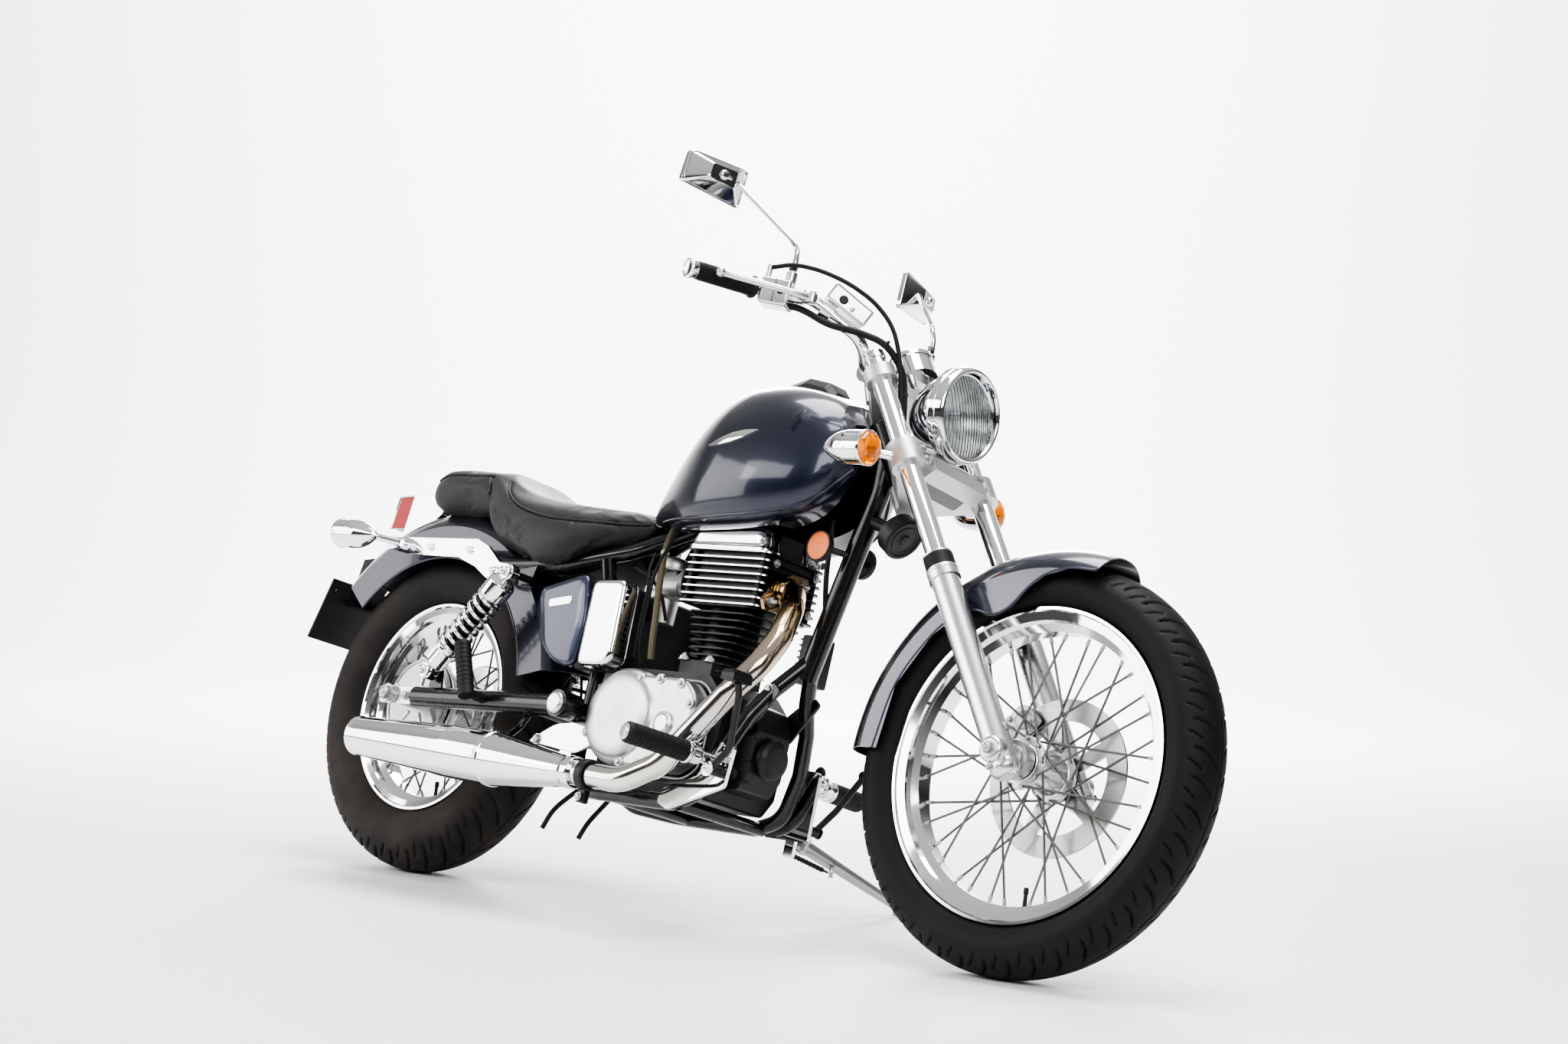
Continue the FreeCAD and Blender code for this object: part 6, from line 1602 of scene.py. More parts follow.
def makeShocks(setup):
    for side, label in ((1, "Left"), (-1, "Right")):
        top = Vector((setup["top"][0], side * setup["top"][1], setup["top"][2]))
        low = Vector((setup["low"][0], side * setup["low"][1], setup["low"][2]))
        axis = (low - top).normalized()
        length = (low - top).length
        cover = roundProfile([(7, 12), (15, 12), (21, 19), (27.4, 25), (27.8, setup["coilStart"] - 4),
            (26, setup["coilStart"]), (20, setup["coilStart"])], 2.5)
        lower = roundProfile([(20, setup["coilEnd"]), (27, setup["coilEnd"]), (27.6, setup["coilEnd"] + 7),
            (24, setup["coilEnd"] + 12), (19, setup["coilEnd"] + 13), (18.6, length - 18), (14, length - 14),
            (8, length - 13)], 2.0)
        shaft = [(0, setup["coilStart"] - 6), (15, setup["coilStart"] - 6), (15, setup["coilEnd"] + 6),
            (0, setup["coilEnd"] + 6)]
        parts = [lathe(cover, top, axis, 48), lathe(lower, top, axis, 48)]
        addPiece("shockDamper" + label, lathe(shaft, top, axis, 32), "chassis", "frame_black")
        for centre in (top, low):
            eye = roundProfile([(8, -12), (13, -12), (16, -9), (16, 9), (13, 12), (8, 12)], 1.5)
            parts.append(lathe(eye, centre, (0, 1, 0), 36, True))
        points, faces = mergeParts(parts)
        replaced = ("shock_absorbers",) if side > 0 else ()
        addPiece("shockBody" + label, (points, faces), "chassis", "chrome", replaced)
        growNodes("shockCoil" + label, springTree, [onChassis(top + axis * (setup["coilStart"] + 1))], [],
            [turnOnly(onChassis, axis)], [1.0], {"Turns": setup["turns"],
            "Coil Radius": setup["coilRadius"] / 1000, "Wire": setup["wire"] / 1000,
            "Length": (setup["coilEnd"] - setup["coilStart"] - 1) / 1000}, "chassis", "chrome")
        nuts = [(centre + Vector((0, side * 13.5, 0)), Vector((0, side, 0))) for centre in (top, low)]
        addScrews("shockNuts" + label, nuts, "chassis", "chrome", (10.0, 8.0, 6), 14.0, (8.0, 6.0))


def makeBeltTeeth():
    # moulded teeth on the belt's inner face, seen at the pulley and between the runs
    big, small = 104.9, 38.9
    rear, front = Vector((0, 89, rearAxle.z)), Vector((575, 89, 330))
    line = front - rear
    tilt = math.atan2(line.z, line.x)
    opening = math.acos((big - small) / line.length)
    path = []
    for centre, radius, start, end in ((front, small, tilt + opening, tilt - opening),
                                       (rear, big, tilt - opening + 2 * math.pi, tilt + opening)):
        for step in range(41):
            angle = start + (end - start) * step / 40
            path.append(centre + Vector((math.cos(angle), 0, math.sin(angle))) * radius)
    points = [onChassis(p) for p in path]
    edges = [(i, (i + 1) % len(points)) for i in range(len(points))]
    growNodes("beltTeeth", ribTree, points, edges, [sideways], [1.0], {"Count": 130, "Width": 0.0245,
        "Height": 0.0016, "Thickness": 0.006}, "chassis", "rubber")


def makeFenderEdges():
    # rolled edge beads along the rear fender's skirts
    parts = []
    radius, half = 399 - 112, 85
    for side in (1, -1):
        line = []
        for step in range(61):
            angle = math.radians(14 + (143 - 14) * step / 60)
            line.append(Vector((math.cos(angle) * (radius + 2), side * (half - 1.2),
                rearAxle.z + math.sin(angle) * (radius + 2))))
        parts.append(sweep(line, 2.8, 10))
    for angle in (14.2, 142.8):
        turn = math.radians(angle)
        outward = Vector((math.cos(turn), 0, math.sin(turn)))
        line = []
        for step in range(25):
            across = (step / 24 - 0.5) * 2
            height = 399 - 0.42 * 112 * abs(across) ** 2.6 - 2.0
            line.append(Vector((0, across * 83.5, rearAxle.z)) + outward * height)
        parts.append(sweep(line, 2.4, 10))
    addPiece("rearFenderBeads", mergeParts(parts), "chassis", "paint")


def makeRailBolts():
    spots = []
    for side in (1, -1):
        y = side * (108 + 14 + 8.3)
        for x, z, size in ((196, 574, 1.3), (112, 611, 1.0), (-6, 612, 1.0), (-60, 612, 1.0)):
            spots.append((Vector((x, y, z)), Vector((0, side, 0)), size))
    addScrews("railBolts", spots, "chassis", "chrome", (7.0, 5.5, 6), 9.5, (4.5, 1.6))


def makeAxleEnds():
    # adjuster plates with their nut, and the swingarm's pale pivot caps
    parts = []
    nuts = []
    caps = []
    for side in (1, -1):
        y = side * 140.6
        outline = roundOutline([(-30, 298), (66, 300), (66, 335), (-30, 333)], 8)
        start = y if side > 0 else y - 3
        parts.append(plateParts(outline, (0, start + 3, 0), (1, 0, 0), (0, 0, 1), 3))
        nuts.append((Vector((0, side * 152, rearAxle.z)), Vector((0, side, 0)), 1.0))
        nuts.append((Vector((46, side * 144, rearAxle.z)), Vector((0, side, 0)), 0.55))
        cap = roundProfile([(0, 8), (16, 8), (20, 5), (21, 0), (0, 0)], 2.0)
        caps.append(lathe(cap, (505, side * 172, 331), (0, side, 0), 32))
    plate = addPiece("adjusterPlates", mergeParts(parts), "chassis", "satin_aluminium")
    addBevel(plate, 1.0)
    addScrews("rearAxleNuts", nuts, "chassis", "steel", (14.0, 12.0, 6), 18.0, (9.0, 4.0))
    addPiece("pivotCaps", mergeParts(caps), "chassis", "satin_aluminium")


def makeTailDetails():
    # red lens with pale edges, its chrome base and the blank plate
    body = [(-205, 738), (-256, 734), (-265, 667), (-212, 668)]
    outline = roundOutline(body, 6, 4)
    lens = addPiece("tailLens", plateParts([(x, z) for x, z in outline], (0, 38, 0), (1, 0, 0), (0, 0, 1),
        76), "chassis", "red_lens")
    addBevel(lens, 2.5, 3)
    trims = []
    for side in (1, -1):
        line = [Vector((x, side * 39.4, z)) for x, z in outline]
        trims.append(sweep(line, 1.8, 8, closed=True))
    addPiece("tailLensEdges", mergeParts(trims), "chassis", "chrome")
    down = Vector((-0.293, 0, -0.956))
    outward = Vector((-0.956, 0, 0.293))
    top = Vector((-334, 0, 544)) + outward * 4.3
    plate = roundOutline([(-90, 4), (90, 4), (90, 124), (-90, 124)], 9, 5)
    blank = addPiece("blankPlate", plateParts(plate, top, (0, 1, 0), down, 1.6), "chassis", "plate_white")
    addBevel(blank, 0.8)
    raisedEdge = [top + Vector((0, u, 0)) + down * v + outward * 1.8 for u,
        v in roundOutline([(-86, 8), (86, 8), (86, 120), (-86, 120)], 8, 5)]
    addPiece("blankPlateEdge", sweep(raisedEdge, 1.0, 6, closed=True), "chassis", "plate_white")
    spots = [(top + Vector((0, side * 75, 0)) + down * 22 + outward * 1.6, outward) for side in (1, -1)]
    addScrews("plateScrews", spots, "chassis", "steel", (5.0, 3.5, 6), 7.5)


makeShocks(shockSetup)
makeBeltTeeth()
makeFenderEdges()
makeRailBolts()
makeAxleEnds()
makeTailDetails()

# Front end: headlamp, fork, fender edge and the lower clamp
print("stage: front end")
lampSetup = {"face": (1167, 0, 934), "glass": 73.6, "rim": 82.0, "bulb": 9.0}


def makeHeadlamp(setup):
    face = Vector(setup["face"])
    ahead = Vector((1, 0, 0))
    bowl = [(9, -66), (14, -64)]
    for step in range(1, 15):
        radius = 14 + (70 - 14) * step / 14
        bowl.append((radius, -64 + 52 * (radius / 70) ** 2))
    bowl += [(71.5, -8), (69, -9.5)]
    addPiece("lampReflector", lathe(bowl, face, ahead, 96), "fork", "reflector")
    rim = roundProfile([(72.4, 2), (74.5, 6), (78, 7), (82, 4), (84, -2), (84.5, -10), (83.4, -12),
        (85.2, -14), (85.6, -24), (84.6, -27)], 2.2)
    addPiece("lampRim", lathe(rim, face, ahead, 96), "fork", "chrome")
    cap = roundProfile([(0, -22), (9, -22), (13, -26), (14, -34), (14, -50), (10, -58)], 2.0)
    addPiece("lampBulbShield", lathe(cap, face, ahead, 32), "fork", "chrome")


def makeForkDetails():
    parts, plugs, rubber = [], [], []
    for side in (106.0, -106.0):
        axis = alongFork(1000, 0, 0) - alongFork(0, 0, 0)
        base = alongFork(0, 74.6, side)
        collar = roundProfile([(19, 706), (24, 706), (27.4, 709), (27.4, 714), (25, 717), (19, 717)], 1.2)
        parts.append(lathe(collar, base, axis, 40))
        cap = roundProfile([(0, 1172.5), (12, 1172.5), (14, 1170.5), (19, 1169.5), (20.2, 1166),
            (20.2, 1158.5)], 1.2)
        parts.append(lathe(cap, base, axis, 40))
        seal = roundProfile([(19, 746.5), (22.5, 746), (25.4, 742), (25.6, 722), (26.2, 718), (19, 717)], 1.5)
        rubber.append(lathe(seal, base, axis, 40))
        plugs.append((alongFork(400, 74.6 + 23.6, side * 1.0), alongFork(0, 1, 0) - alongFork(0, 0, 0), 1.0))
        foot = roundProfile([(0, 318), (14, 318), (20, 322), (24.6, 330), (24.9, 338), (24.1, 342)], 2.5)
        parts.append(lathe(foot, base, axis, 40))
        boss = roundProfile([(0, 32), (17, 32), (22, 27), (22, -27), (17, -32), (0, -32)], 3.0)
        parts.append(lathe(boss, alongFork(362.8, 74.6, side), (0, 1, 0), 36))
    addPiece("forkCollars", mergeParts(parts), "fork", "satin_aluminium")
    addPiece("dustSeals", mergeParts(rubber), "fork", "rubber")
    addScrews("sliderPlugs", plugs, "fork", "steel", (7.0, 4.0, 20), 8.5, (4.0, 0.8))
    pinch = []
    for side in (1, -1):
        for offset in (-14, 14):
            pinch.append((alongFork(338, 74.6 + offset, side * 130), Vector((0, side, 0)), 0.8))
        pinch.append((alongFork(362.8, 74.6, side * 138), Vector((0, side, 0)), 1.6))
    addScrews("axlePinchBolts", pinch, "fork", "steel", (6.0, 5.0, 6), 8.0, (4.0, 2.0))
    clampBolts = []
    for side in (1, -1):
        clampBolts.append((alongFork(941, 100, side * 84), alongFork(0, 1, 0) - alongFork(0, 0, 0), 1.0))
        clampBolts.append((alongFork(964, 100, side * 84), alongFork(0, 1, 0) - alongFork(0, 0, 0), 1.0))
    addScrews("clampBolts", clampBolts, "fork", "steel", (5.5, 4.5, 12), 6.5, (3.0, 0.5))
    top = [(alongFork(1138.2, 0, 0), alongFork(1, 0, 0) - alongFork(0, 0, 0), 1.0)]
    addScrews("stemNut", top, "fork", "chrome", (15.0, 11.0, 6), 20.0, (12.0, 5.0))


def makeFrontFenderEdge():
    # the fender's rolled edge: its skirt line is followed on both sides
    skirt = [(77, 326), (86, 319), (94, 305), (100, 286), (105, 266), (109, 256), (114, 254), (118, 262),
        (122, 278), (128, 288), (140, 291), (160, 291), (182, 291)]
    parts = []
    for side in (1, -1):
        line = []
        for angle, radius in skirt:
            turn = math.radians(angle)
            height = 366 - 0.42 * 114
            share = max(0.0, min(1.0, (radius - height) / (366 - height)))
            half = 68.0 * math.sqrt(max(0.02, 1 - share ** 1.6))
            line.append(frontAxle + Vector((math.cos(turn) * (radius + 1.5), side * half,
                math.sin(turn) * (radius + 1.5))))
        parts.append(sweep(smoothLine(line, 6), 2.4, 10))
    addPiece("frontFenderBeads", mergeParts(parts), "fork", "paint")
    spots = []
    for side in (1, -1):
        for along in (628, 668):
            spots.append((alongFork(along, 60, side * 70.5), Vector((0, side, 0)), 0.8))
    addScrews("fenderBolts", spots, "fork", "chrome", (6.0, 4.5, 6), 8.0, (4.0, 1.5))


makeHeadlamp(lampSetup)
makeForkDetails()
makeFrontFenderEdge()


def makeClampLip():
    # the lower clamp's rounded front bar, and a thin dark plate on its underside that stands in for the shade of a
    # recess (painted shade), with two bolts
    up = alongFork(1, 0, 0) - alongFork(0, 0, 0)
    bar = [alongFork(966, 88, side) for side in (-78, -60, 0, 60, 78)]
    addPiece("clampLip", sweep(bar, [6.0, 9.0, 9.5, 9.0, 6.0], 20, flat=0.9), "fork", "satin_aluminium")
    ahead = alongFork(0, 1, 0) - alongFork(0, 0, 0)
    # painted shade: the thin dark plate marks where the clamp's underside falls into shade
    shadeOutline = roundOutline([(-70, -36), (70, -36), (60, 24), (-60, 24)], 9)
    addPiece("clampShadePlate", plateParts(shadeOutline, alongFork(930, 74, 0), (0, 1, 0), ahead, 1.0), "fork",
        "spoke_steel")
    addScrews("clampUnderBolts", [(alongFork(929, 74, side), -up) for side in (-38, 38)], "fork", "steel",
        (6.5, 5.0, 6), 9.0, (4.0, 1.0))


makeClampLip()

# Bars: grips, levers, boxes, mirrors and cable ties
print("stage: bars")
barSetup = {"inner": (828, -226, 1080), "outer": (797, -370, 1062), "gripLength": 132.0, "gripRadius": 16.5,
    "mirrorMiddle": (722, -298, 1265)}


def makeGrips(setup):
    inner, outer = Vector(setup["inner"]), Vector(setup["outer"])
    line = (outer - inner).normalized()
    radius = setup["gripRadius"]
    start = outer - line * setup["gripLength"]
    length = setup["gripLength"]
    profile = [(11.5, 0), (radius + 3, 0), (radius + 3.5, 3), (radius + 1, 6)]
    for step in range(14):
        place = 10 + step * 7.6
        profile += [(radius, place), (radius, place + 5.6), (radius - 0.7, place + 6.2),
            (radius - 0.7, place + 7.0)]
    profile += [(radius, length - 8), (radius, length - 4), (11.5, length - 4)]
    addPiece("gripRubbers", mergeParts(bothSides([lathe(profile, start, line, 40)])), "fork", "rubber",
        ("grips",), sharpAngle=30.0)
    ends = roundProfile([(12, length - 5), (radius + 0.6, length - 5), (radius + 1.6, length + 6),
        (radius + 0.6, length + 8.6), (13, length + 8.8), (11, length + 7.6), (0, length + 7.6)], 1.2)
    addPiece("gripEnds", mergeParts(bothSides([lathe(ends, start, line, 40)])), "fork", "chrome")


def makeLevers():
    pivot, tip = Vector((932, -204, 1071)), Vector((842, -345, 1066))
    line = smoothLine([pivot, pivot.lerp(tip, 0.18) + Vector((4, -2, 0)),
        pivot.lerp(tip, 0.5) + Vector((3, -1, 0)), pivot.lerp(tip, 0.85), tip], 8)
    count = len(line)
    radii = []
    for index in range(count):
        share = index / (count - 1)
        radii.append(8.2 - 2.4 * min(1.0, share * 3) + 0.6 * share)
    blade = sweep(line, radii, 16, flat=0.62)
    ball = lathe([(0, -8.6), (3.5, -7.9), (6.3, -5.9), (8.0, -3.2), (8.6, 0), (8.0, 3.2), (6.3, 5.9),
        (3.5, 7.9), (0, 8.6)], tip, (tip - pivot), 24)
    boss = lathe(roundProfile([(0, -8.5), (9, -8.5), (9.6, -7), (9.6, 7), (9, 8.5), (0, 8.5)], 1.0), pivot,
        (0, 0, 1), 28)
    addPiece("leverBlades", mergeParts(bothSides([blade, ball, boss])), "fork", "satin_aluminium",
        ("levers",))
    spots = [(Vector((932, side * 204, 1080)), Vector((0, 0, 1))) for side in (-1, 1)]
    addScrews("leverPivots", spots, "fork", "steel", (5.5, 4.0, 12), 7.5, (3.0, 0.8))


def makeMirrors(setup):
    centre = Vector(setup["mirrorMiddle"])
    across = Vector((-0.27, -0.963, 0))
    facing = Vector((-0.963, 0.27, 0))
    corners = roundOutline([(-62, 36), (62, 30), (66, -30), (-60, -38)], 9, 5)
    count = len(corners)

    def ring(scale, depth):
        return [centre + across * (u * scale) + Vector((0, 0, w * scale)) + facing * depth for u, w in corners]

    rows = [ring(1.0, 9.6), ring(1.015, 8.6), ring(1.015, 1.5), ring(0.99, -1.0), ring(0.955, -2.4),
        ring(0.93, -1.2), ring(0.50, -25.0), ring(0.42, -28.5)]
    points = [p for row in rows for p in row]
    shell = (points, ringFaces(len(rows), count, capStart=False, capEnd=True))
    glassRow = ring(0.985, 9.3)
    glass = (glassRow, [tuple(range(count))])
    post = Vector((872, -204, 1118))
    elbow = Vector((868, -202, 1168))
    holder = Vector((752, -268, 1262))
    base = sweep(smoothLine([post, post + Vector((0, 0, 26)), elbow + Vector((-2, 0, -4)),
        elbow.lerp(holder, 0.1)], 6), 4.9, 14)
    stalk = sweep([elbow.lerp(holder, 0.03), elbow.lerp(holder, 0.35), elbow.lerp(holder, 0.7), holder,
        centre - facing * 26], [4.3, 4.3, 4.4, 5.0, 6.2], 14)
    nut = lathe(roundProfile([(5, -7), (8, -7), (8, 7), (5, 7)], 1.0), post + Vector((0, 0, 10)), (0, 0, 1),
        6, True)
    knuckle = lathe(roundProfile([(0, -9), (8, -8), (10, 0), (8, 8), (0, 9)], 2.5), centre - facing * 26,
        -facing, 24)
    addPiece("mirrorShells", mergeParts(bothSides([shell, base, stalk, nut, knuckle])), "fork", "chrome",
        ("mirrors",), sharpAngle=30.0)
    addPiece("mirrorGlasses", mergeParts(bothSides([glass])), "fork", "mirror_glass")


def makeBoxDetails():
    # sight glass, clamp screws, switch slots and cable ties
    glass = roundProfile([(0, 2.6), (5, 2.6), (7.5, 2.0), (8.5, 0), (0, 0)], 0.8)
    run = (Vector((915, -186, 1078)) - Vector((982, -104, 1030))).normalized()
    above = (Vector((0, 0, 1)) - run * run.z).normalized()
    middle = (Vector((982, -104, 1030)) + Vector((915, -186, 1078))) / 2
    front = above.cross(run)
    if front.x < 0:
        front = -front
    addPiece("sightGlass", lathe(glass, middle + above * 30 + front * 18 + run * 14, front, 24), "fork",
        "black_plastic")
    spots = [(middle + above * 49.2 + run * reach, above, 0.6) for reach in (-34, 34)]
    spots += [(middle + above * 26 + front * 18 - run * 8, front, 0.7)]
    addScrews("masterScrews", spots, "fork", "steel", (6.0, 3.0, 12), 6.5, (3.0, 0.4))
    inner = Vector((828, -226, 1080))
    inward = (Vector((915, -186, 1078)) - inner).normalized()
    side = inward.cross(Vector((0, 0, 1))).normalized()
    if side.x < 0:
        side = -side
    slots = []
    for reach, height, wide in ((22, 4, 14), (44, -2, 10)):
        outline = roundOutline([(-wide / 2, -6), (wide / 2, -6), (wide / 2, 6), (-wide / 2, 6)], 2)
        slots.append(plateParts(outline, inner + inward * reach + side * 22 + Vector((0, 0, height)), inward,
            (0, 0, 1), -1.6))
    addPiece("switchButtons", mergeParts(bothSides(slots)), "fork", "black_plastic")
    split = [inner + inward * 32 + side * 22.3 + Vector((0, 0, z)) for z in (-24, 20)]
    addPiece("switchSplit", mergeParts(bothSides([sweep(split, 0.6, 6)])), "fork", "black_plastic")
    ties = []
    for spot, heading in (((1039, -108, 1025), (20, 38, -37)), ((1062, -57, 950), (1, 5, -20)),
                          ((975, -154, 1035), (48, 30, -1))):
        ties.append(lathe(roundProfile([(6, -2.5), (7.3, -2.5), (7.3, 2.5), (6, 2.5)], 0.5), spot, heading,
            20, True))
    addPiece("cableTies", mergeParts(bothSides(ties)), "fork", "black_plastic")


makeGrips(barSetup)
makeLevers()
makeMirrors(barSetup)
makeBoxDetails()

# Footpegs, pedals, rear brake, front brake calliper and the small covers
print("stage: lower parts")
pegSetup = {"rubberRadius": 18.0, "ribs": 13, "ribDepth": 2.2, "padLength": 118.0}


def ribbedRubber(start, end, radius, ribs, depth, ratio=0.62):
    # a moulded sleeve with raised rings and a rounded free end
    start, end = Vector(start), Vector(end)
    length = (end - start).length
    pitch = (length - 12) / ribs
    profile = [(radius * 0.55, 0), (radius * 0.9, 0), (radius, 2), (radius, 5)]
    for rib in range(ribs):
        at = 6 + rib * pitch
        profile += [(radius - depth, at), (radius - depth, at + pitch * (1 - ratio)),
            (radius, at + pitch * (1 - ratio) + 0.5), (radius, at + pitch - 0.5)]
    profile += [(radius * 0.98, length - 5), (radius * 0.9, length - 2), (radius * 0.7, length), (0, length)]
    return lathe(profile, start, end - start, 36)


def makePegs(setup):
    rubbers, clevises, tips, bolts = [], [], [], []
    for inner, outer in (((900, -140, 268), (856, -312, 274)), ((862, 150, 286), (828, 312, 288))):
        inner, outer = Vector(inner), Vector(outer)
        line = (outer - inner).normalized()
        rubbers.append(ribbedRubber(inner + line * 60, outer + line * 4, setup["rubberRadius"] + 0.8,
            setup["ribs"], setup["ribDepth"]))
        clevises.append(lathe(roundProfile([(0, 30), (15, 30), (17, 36), (17, 50), (20, 54), (20.5, 60),
            (0, 60)], 2.0), inner, line, 32))
        tip = outer + line * 4
        tips.append(lathe(roundProfile([(0, -1), (14.6, -1), (15, 0.6), (12, 2.6), (0, 3.2)], 0.8), tip, line,
            36))
        bolts.append((inner + line * 42 + Vector((0, 0, 16.6)), Vector((0, 0, 1)), 0.9))
    for side in (1, -1):
        low, high = Vector((290, side * 200, 320)), Vector((238, side * 196, 418))
        rubbers.append(ribbedRubber(low.lerp(high, 0.16), high + (high - low).normalized() * 3, 15.8, 9, 1.9))
    addPiece("pegRubbers", mergeParts(rubbers), "chassis", "rubber", sharpAngle=28.0)
    addPiece("pegTips", mergeParts(tips), "chassis", "satin_aluminium")
    addPiece("pegClevises", mergeParts(clevises), "chassis", "chrome")
    addScrews("pegPins", bolts, "chassis", "chrome", (7.0, 5.0, 18), 8.5, (5.0, 1.4))


def makePedals():
    # ribbed pad of the brake pedal and the shifter's toe rubber
    parts = []
    centre = Vector((993, -223, 398))
    pad = roundOutline([(-16, -24), (16, -24), (16, 24), (-16, 24)], 6)
    for lift, grow, thick in ((5.8, 0.0, 3.0), (8.4, -1.6, 2.4)):
        outline = [(u * (1 + grow / 20), v * (1 + grow / 26)) for u, v in pad]
        parts.append(plateParts(outline, centre + Vector((0, 0, lift)), (1, 0, 0), (0, 1, 0), thick))
    for step in range(6):
        along = -17.5 + step * 7
        bar = roundOutline([(-12.5, along - 2), (12.5, along - 2), (12.5, along + 2), (-12.5, along + 2)], 1.4)
        parts.append(plateParts(bar, centre + Vector((0, 0, 10.6)), (1, 0, 0), (0, 1, 0), 1.8))
    toe = Vector((919, 208, 322)), Vector((919, 268, 322))
    parts.append(ribbedRubber(toe[0].lerp(toe[1], 0.25), toe[1] + Vector((0, 3, 0)), 9.8, 7, 1.3))
    addPiece("pedalRubbers", mergeParts(parts), "chassis", "rubber", sharpAngle=28.0)
    spots = [(Vector((912, -163, 250)), Vector((0, -1, 0)), 1.3), (Vector((888, 164, 205)), Vector((0, 1, 0)),
        1.1)]
    addScrews("pedalPivots", spots, "chassis", "chrome", (7.5, 6.0, 6), 10.0, (5.0, 3.0))
    bracket = [(Vector((868, side * 156, 300 if side < 0 else 310)), Vector((0, side, 0)),
        1.15) for side in (1, -1)]
    addScrews("bracketNuts", bracket, "chassis", "chrome", (8.0, 6.0, 6), 11.0, (6.6, 5.0))


def makeBrakeDetails():
    # rear brake rod with its spring and nut, and ribs of the drum's backing plate
    backing = Vector((0, -78.2, rearAxle.z))
    ribs = []
    for step in range(5):
        angle = math.radians(72 * step + 14)
        outward = Vector((math.cos(angle), 0, math.sin(angle)))
        ribs.append(sweep([backing + outward * 26, backing + outward * 80], [4.0, 2.6], 8, flat=0.8))
    ring = [backing + Vector((math.cos(a), 0, math.sin(a))) * 82 for a in [2 * math.pi * i / 64 for i in range(64)]]
    ribs.append(sweep(ring, 2.4, 8, closed=True))
    addPiece("drumRibs", mergeParts(ribs), "chassis", "satin_aluminium")
    rodLine = smoothLine([(44, -90, 272), (68, -90, 271), (240, -98, 262), (440, -114, 236), (640, -138, 214),
        (860, -150, 226), (905, -152, 240)], 8)
    addPiece("brakeRod", sweep(rodLine, 3.4, 10), "chassis", "engine_black")
    coil = []
    for step in range(90):
        share = step / 89
        angle = share * 2 * math.pi * 7
        coil.append(Vector((80 + share * 52, -91 + 7.5 * math.cos(angle), 270.6 + 7.5 * math.sin(angle))))
    addPiece("brakeSpring", sweep(coil, 1.2, 6), "chassis", "steel")
    addScrews("brakeRodNut", [(Vector((60, -90, 271.6)), Vector((-1, 0, 0.02)))], "chassis", "steel",
        (6.0, 12.0, 8), 6.4, (3.5, 2.0))


def makeCalliper():
    # two rounded halves over the disc with a bridge, piston bosses and bolts
    outward = Vector((-0.788, 0, 0.616))
    along = Vector((0.616, 0, 0.788))
    outline = roundOutline([(-41, 93), (-20, 92.4), (20, 92.4), (41, 93), (41, 126), (30, 143.4),
        (-30, 143.4), (-41, 126)], 12, 5)
    parts = []
    for near, far, shrink in ((64.7, 78.4, 1.0), (78.4, 81.4, 0.86), (38.5, 49.3, 1.0)):
        shape = [(u * shrink, 118 + (v - 118) * shrink) for u, v in outline]
        parts.append(plateParts(shape, frontAxle + Vector((0, far, 0)), along, outward, far - near))
    bridge = roundOutline([(-26, 128), (26, 128), (24, 143.2), (-24, 143.2)], 5)
    parts.append(plateParts(bridge, frontAxle + Vector((0, 66, 0)), along, outward, 18))
    body = addPiece("calliperBody", mergeParts(parts), "fork", "cast_aluminium", ("brake_caliper",))
    addBevel(body, 2.2, 3)
    bosses = [lathe(roundProfile([(0, 7.5), (8, 7.5), (15, 5), (17, 0)], 2.0),
        frontAxle + Vector((0, 38.5, 0)) + along * u + outward * 116, (0, -1, 0), 36) for u in (-18, 18)]
    addPiece("calliperPistons", mergeParts(bosses), "fork", "cast_aluminium")
    bolts = [(frontAxle + Vector((0, 38.4, 0)) + along * u + outward * v, Vector((0, -1, 0)), 1.0) for u,
        v in ((-34, 102), (34, 102), (0, 137))]
    addScrews("calliperBolts", bolts, "fork", "steel", (5.0, 5.0, 6), 6.5, (3.0, 0.6))


def makeDial():
    # the speedometer's bezel, face with bare marks, needle and glass
    up = alongFork(1, 0, 0) - alongFork(0, 0, 0)
    ahead = alongFork(0, 1, 0) - alongFork(0, 0, 0)
    left = Vector((0, 1, 0))
    top = alongFork(1196, 82, 0)
    bezel = roundProfile([(34.5, -1.5), (34.5, 3.5), (38, 5.0), (41.4, 3.5), (41.6, -6), (40.2, -8),
        (40.2, -12)], 1.5)
    addPiece("dialBezel", lathe(bezel, top, up, 64), "fork", "chrome")
    addPiece("dialFace", lathe([(0, 0.8), (34.6, 0.8)], top, up, 48), "fork", "black_plastic")
    marks = []
    for index in range(29):
        angle = math.radians(-130 + index * 260 / 28)
        outward = -ahead * math.cos(angle) + left * math.sin(angle)
        side = up.cross(outward)
        long = index % 4 == 0
        outline = [(-0.7 if long else -0.35, 24 if long else 27), (0.7 if long else 0.35, 24 if long else 27),
            (0.7 if long else 0.35, 31), (-0.7 if long else -0.35, 31)]
        marks.append(plateParts(outline, top + up * 1.3, side, outward, -0.4))
    angle = math.radians(-130)
    outward = -ahead * math.cos(angle) + left * math.sin(angle)
    marks.append(plateParts([(-1.2, -7), (1.2, -7), (0.4, 26), (-0.4, 26)], top + up * 2.2, up.cross(outward),
        outward, -0.5))
    addPiece("dialMarks", mergeParts(marks), "fork", "plate_white")
    cap = roundProfile([(0, 3.4), (3.5, 3.2), (4.4, 0.8), (0, 0.8)], 0.8)
    addPiece("dialCap", lathe(cap, top, up, 24), "fork", "black_plastic")
    glass = [(0, 3.6), (20, 3.5), (34.4, 2.6), (34.4, 2.0), (20, 2.9), (0, 3.0)]
    addPiece("dialGlass", lathe(glass, top, up, 48), "fork", "dial_glass")


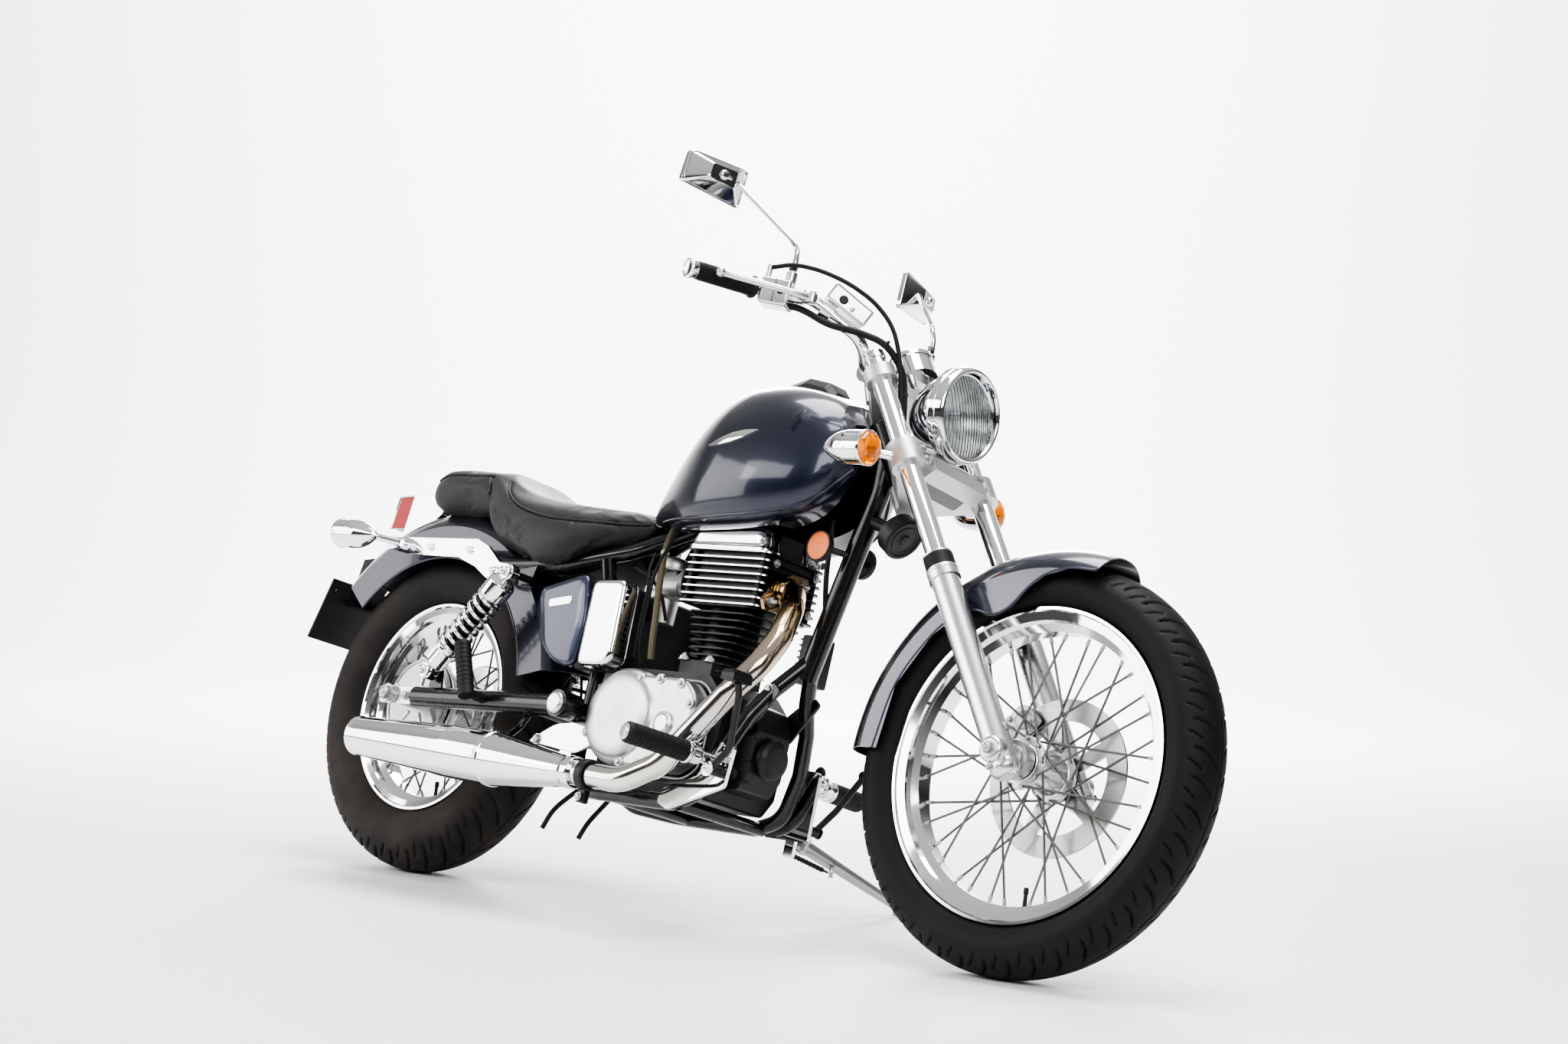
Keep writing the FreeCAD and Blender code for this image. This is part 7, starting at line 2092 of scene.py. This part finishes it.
def makeSmallRings():
    # horn rings, reflector rims and their amber domes
    ahead = Vector((22, 0, -14)).normalized()
    face = Vector((1090, 0, 706))
    rings = [lathe(roundProfile([(30, 0), (31, 2.2), (35, 2.6), (38.4, 0.5), (38.6, -6)], 1.2), face, ahead,
        48), lathe(roundProfile([(0, 3.4), (9, 3.0), (11, 0.6), (22, 0.4), (24, 1.6), (26, 0.3)], 1.2), face,
        ahead, 40)]
    addPiece("hornRings", mergeParts(rings), "chassis", "engine_black")
    rims, domes = [], []
    for side in (1, -1):
        centre = Vector((952, side * 62, 674))
        rims.append(lathe(roundProfile([(24.6, 0), (25.2, 1.8), (27.2, 1.8), (28.2, -0.5), (28.2, -9),
            (26, -12), (0, -12)], 1.0), centre, (0, side, 0), 48))
        rims.append(sweep([Vector((985, side * 10, 670)), Vector((953, side * 52, 674))], 5.8, 16))
        domes.append(lathe([(0, 1.6), (10, 1.5), (18, 1.2), (24.7, 0.4)], centre, (0, side, 0), 48))
    addPiece("reflectorRims", mergeParts(rims), "chassis", "black_plastic")
    addPiece("reflectorDomes", mergeParts(domes), "chassis", "amber_reflector", ("side_reflectors",))


def makeLampTrims():
    # lenses' chrome rims on the four indicators, faceted amber covers
    rims, covers = {}, {}
    lamps = [("fork", Vector((1122, side * 182, 812)), Vector((1, 0, 0)), 30.0) for side in (1, -1)]
    lamps += [("chassis", Vector((-212, side * 190, 616)), Vector((-1, 0, 0)), 29.0) for side in (1, -1)]
    for body, mouth, ahead, radius in lamps:
        rim = roundProfile([(radius - 2.2, 0.5), (radius - 1.4, 2.4), (radius + 0.8, 2.0), (radius + 1.0, -5),
            (radius - 0.2, -7)], 0.9)
        rims.setdefault(body, []).append(lathe(rim, mouth, ahead, 56))
        dome = [(radius - 1.0, 0.5), (radius - 1.6, 4.4), (radius * 0.86, 8), (radius * 0.6, 11.6),
            (radius * 0.3, 13.4), (0, 14.0)]
        points, faces = lathe(dome, mouth, ahead, 10 if body == "fork" else 12)
        covers.setdefault(body, []).append((points, faces))
    for body, place in (("fork", onFork), ("chassis", onChassis)):
        addPiece(body + "LampRims", mergeParts(rims[body]), body, "chrome")
        points, faces = mergeParts(covers[body])
        node = "front_indicator_lenses" if body == "fork" else "rear_lenses"
        addPiece(body + "AmberLenses", (points, faces), body, "amber_lens", (node,), sharpAngle=12.0)


makePegs(pegSetup)
makePedals()
makeBrakeDetails()
makeCalliper()
makeDial()
makeSmallRings()
makeLampTrims()
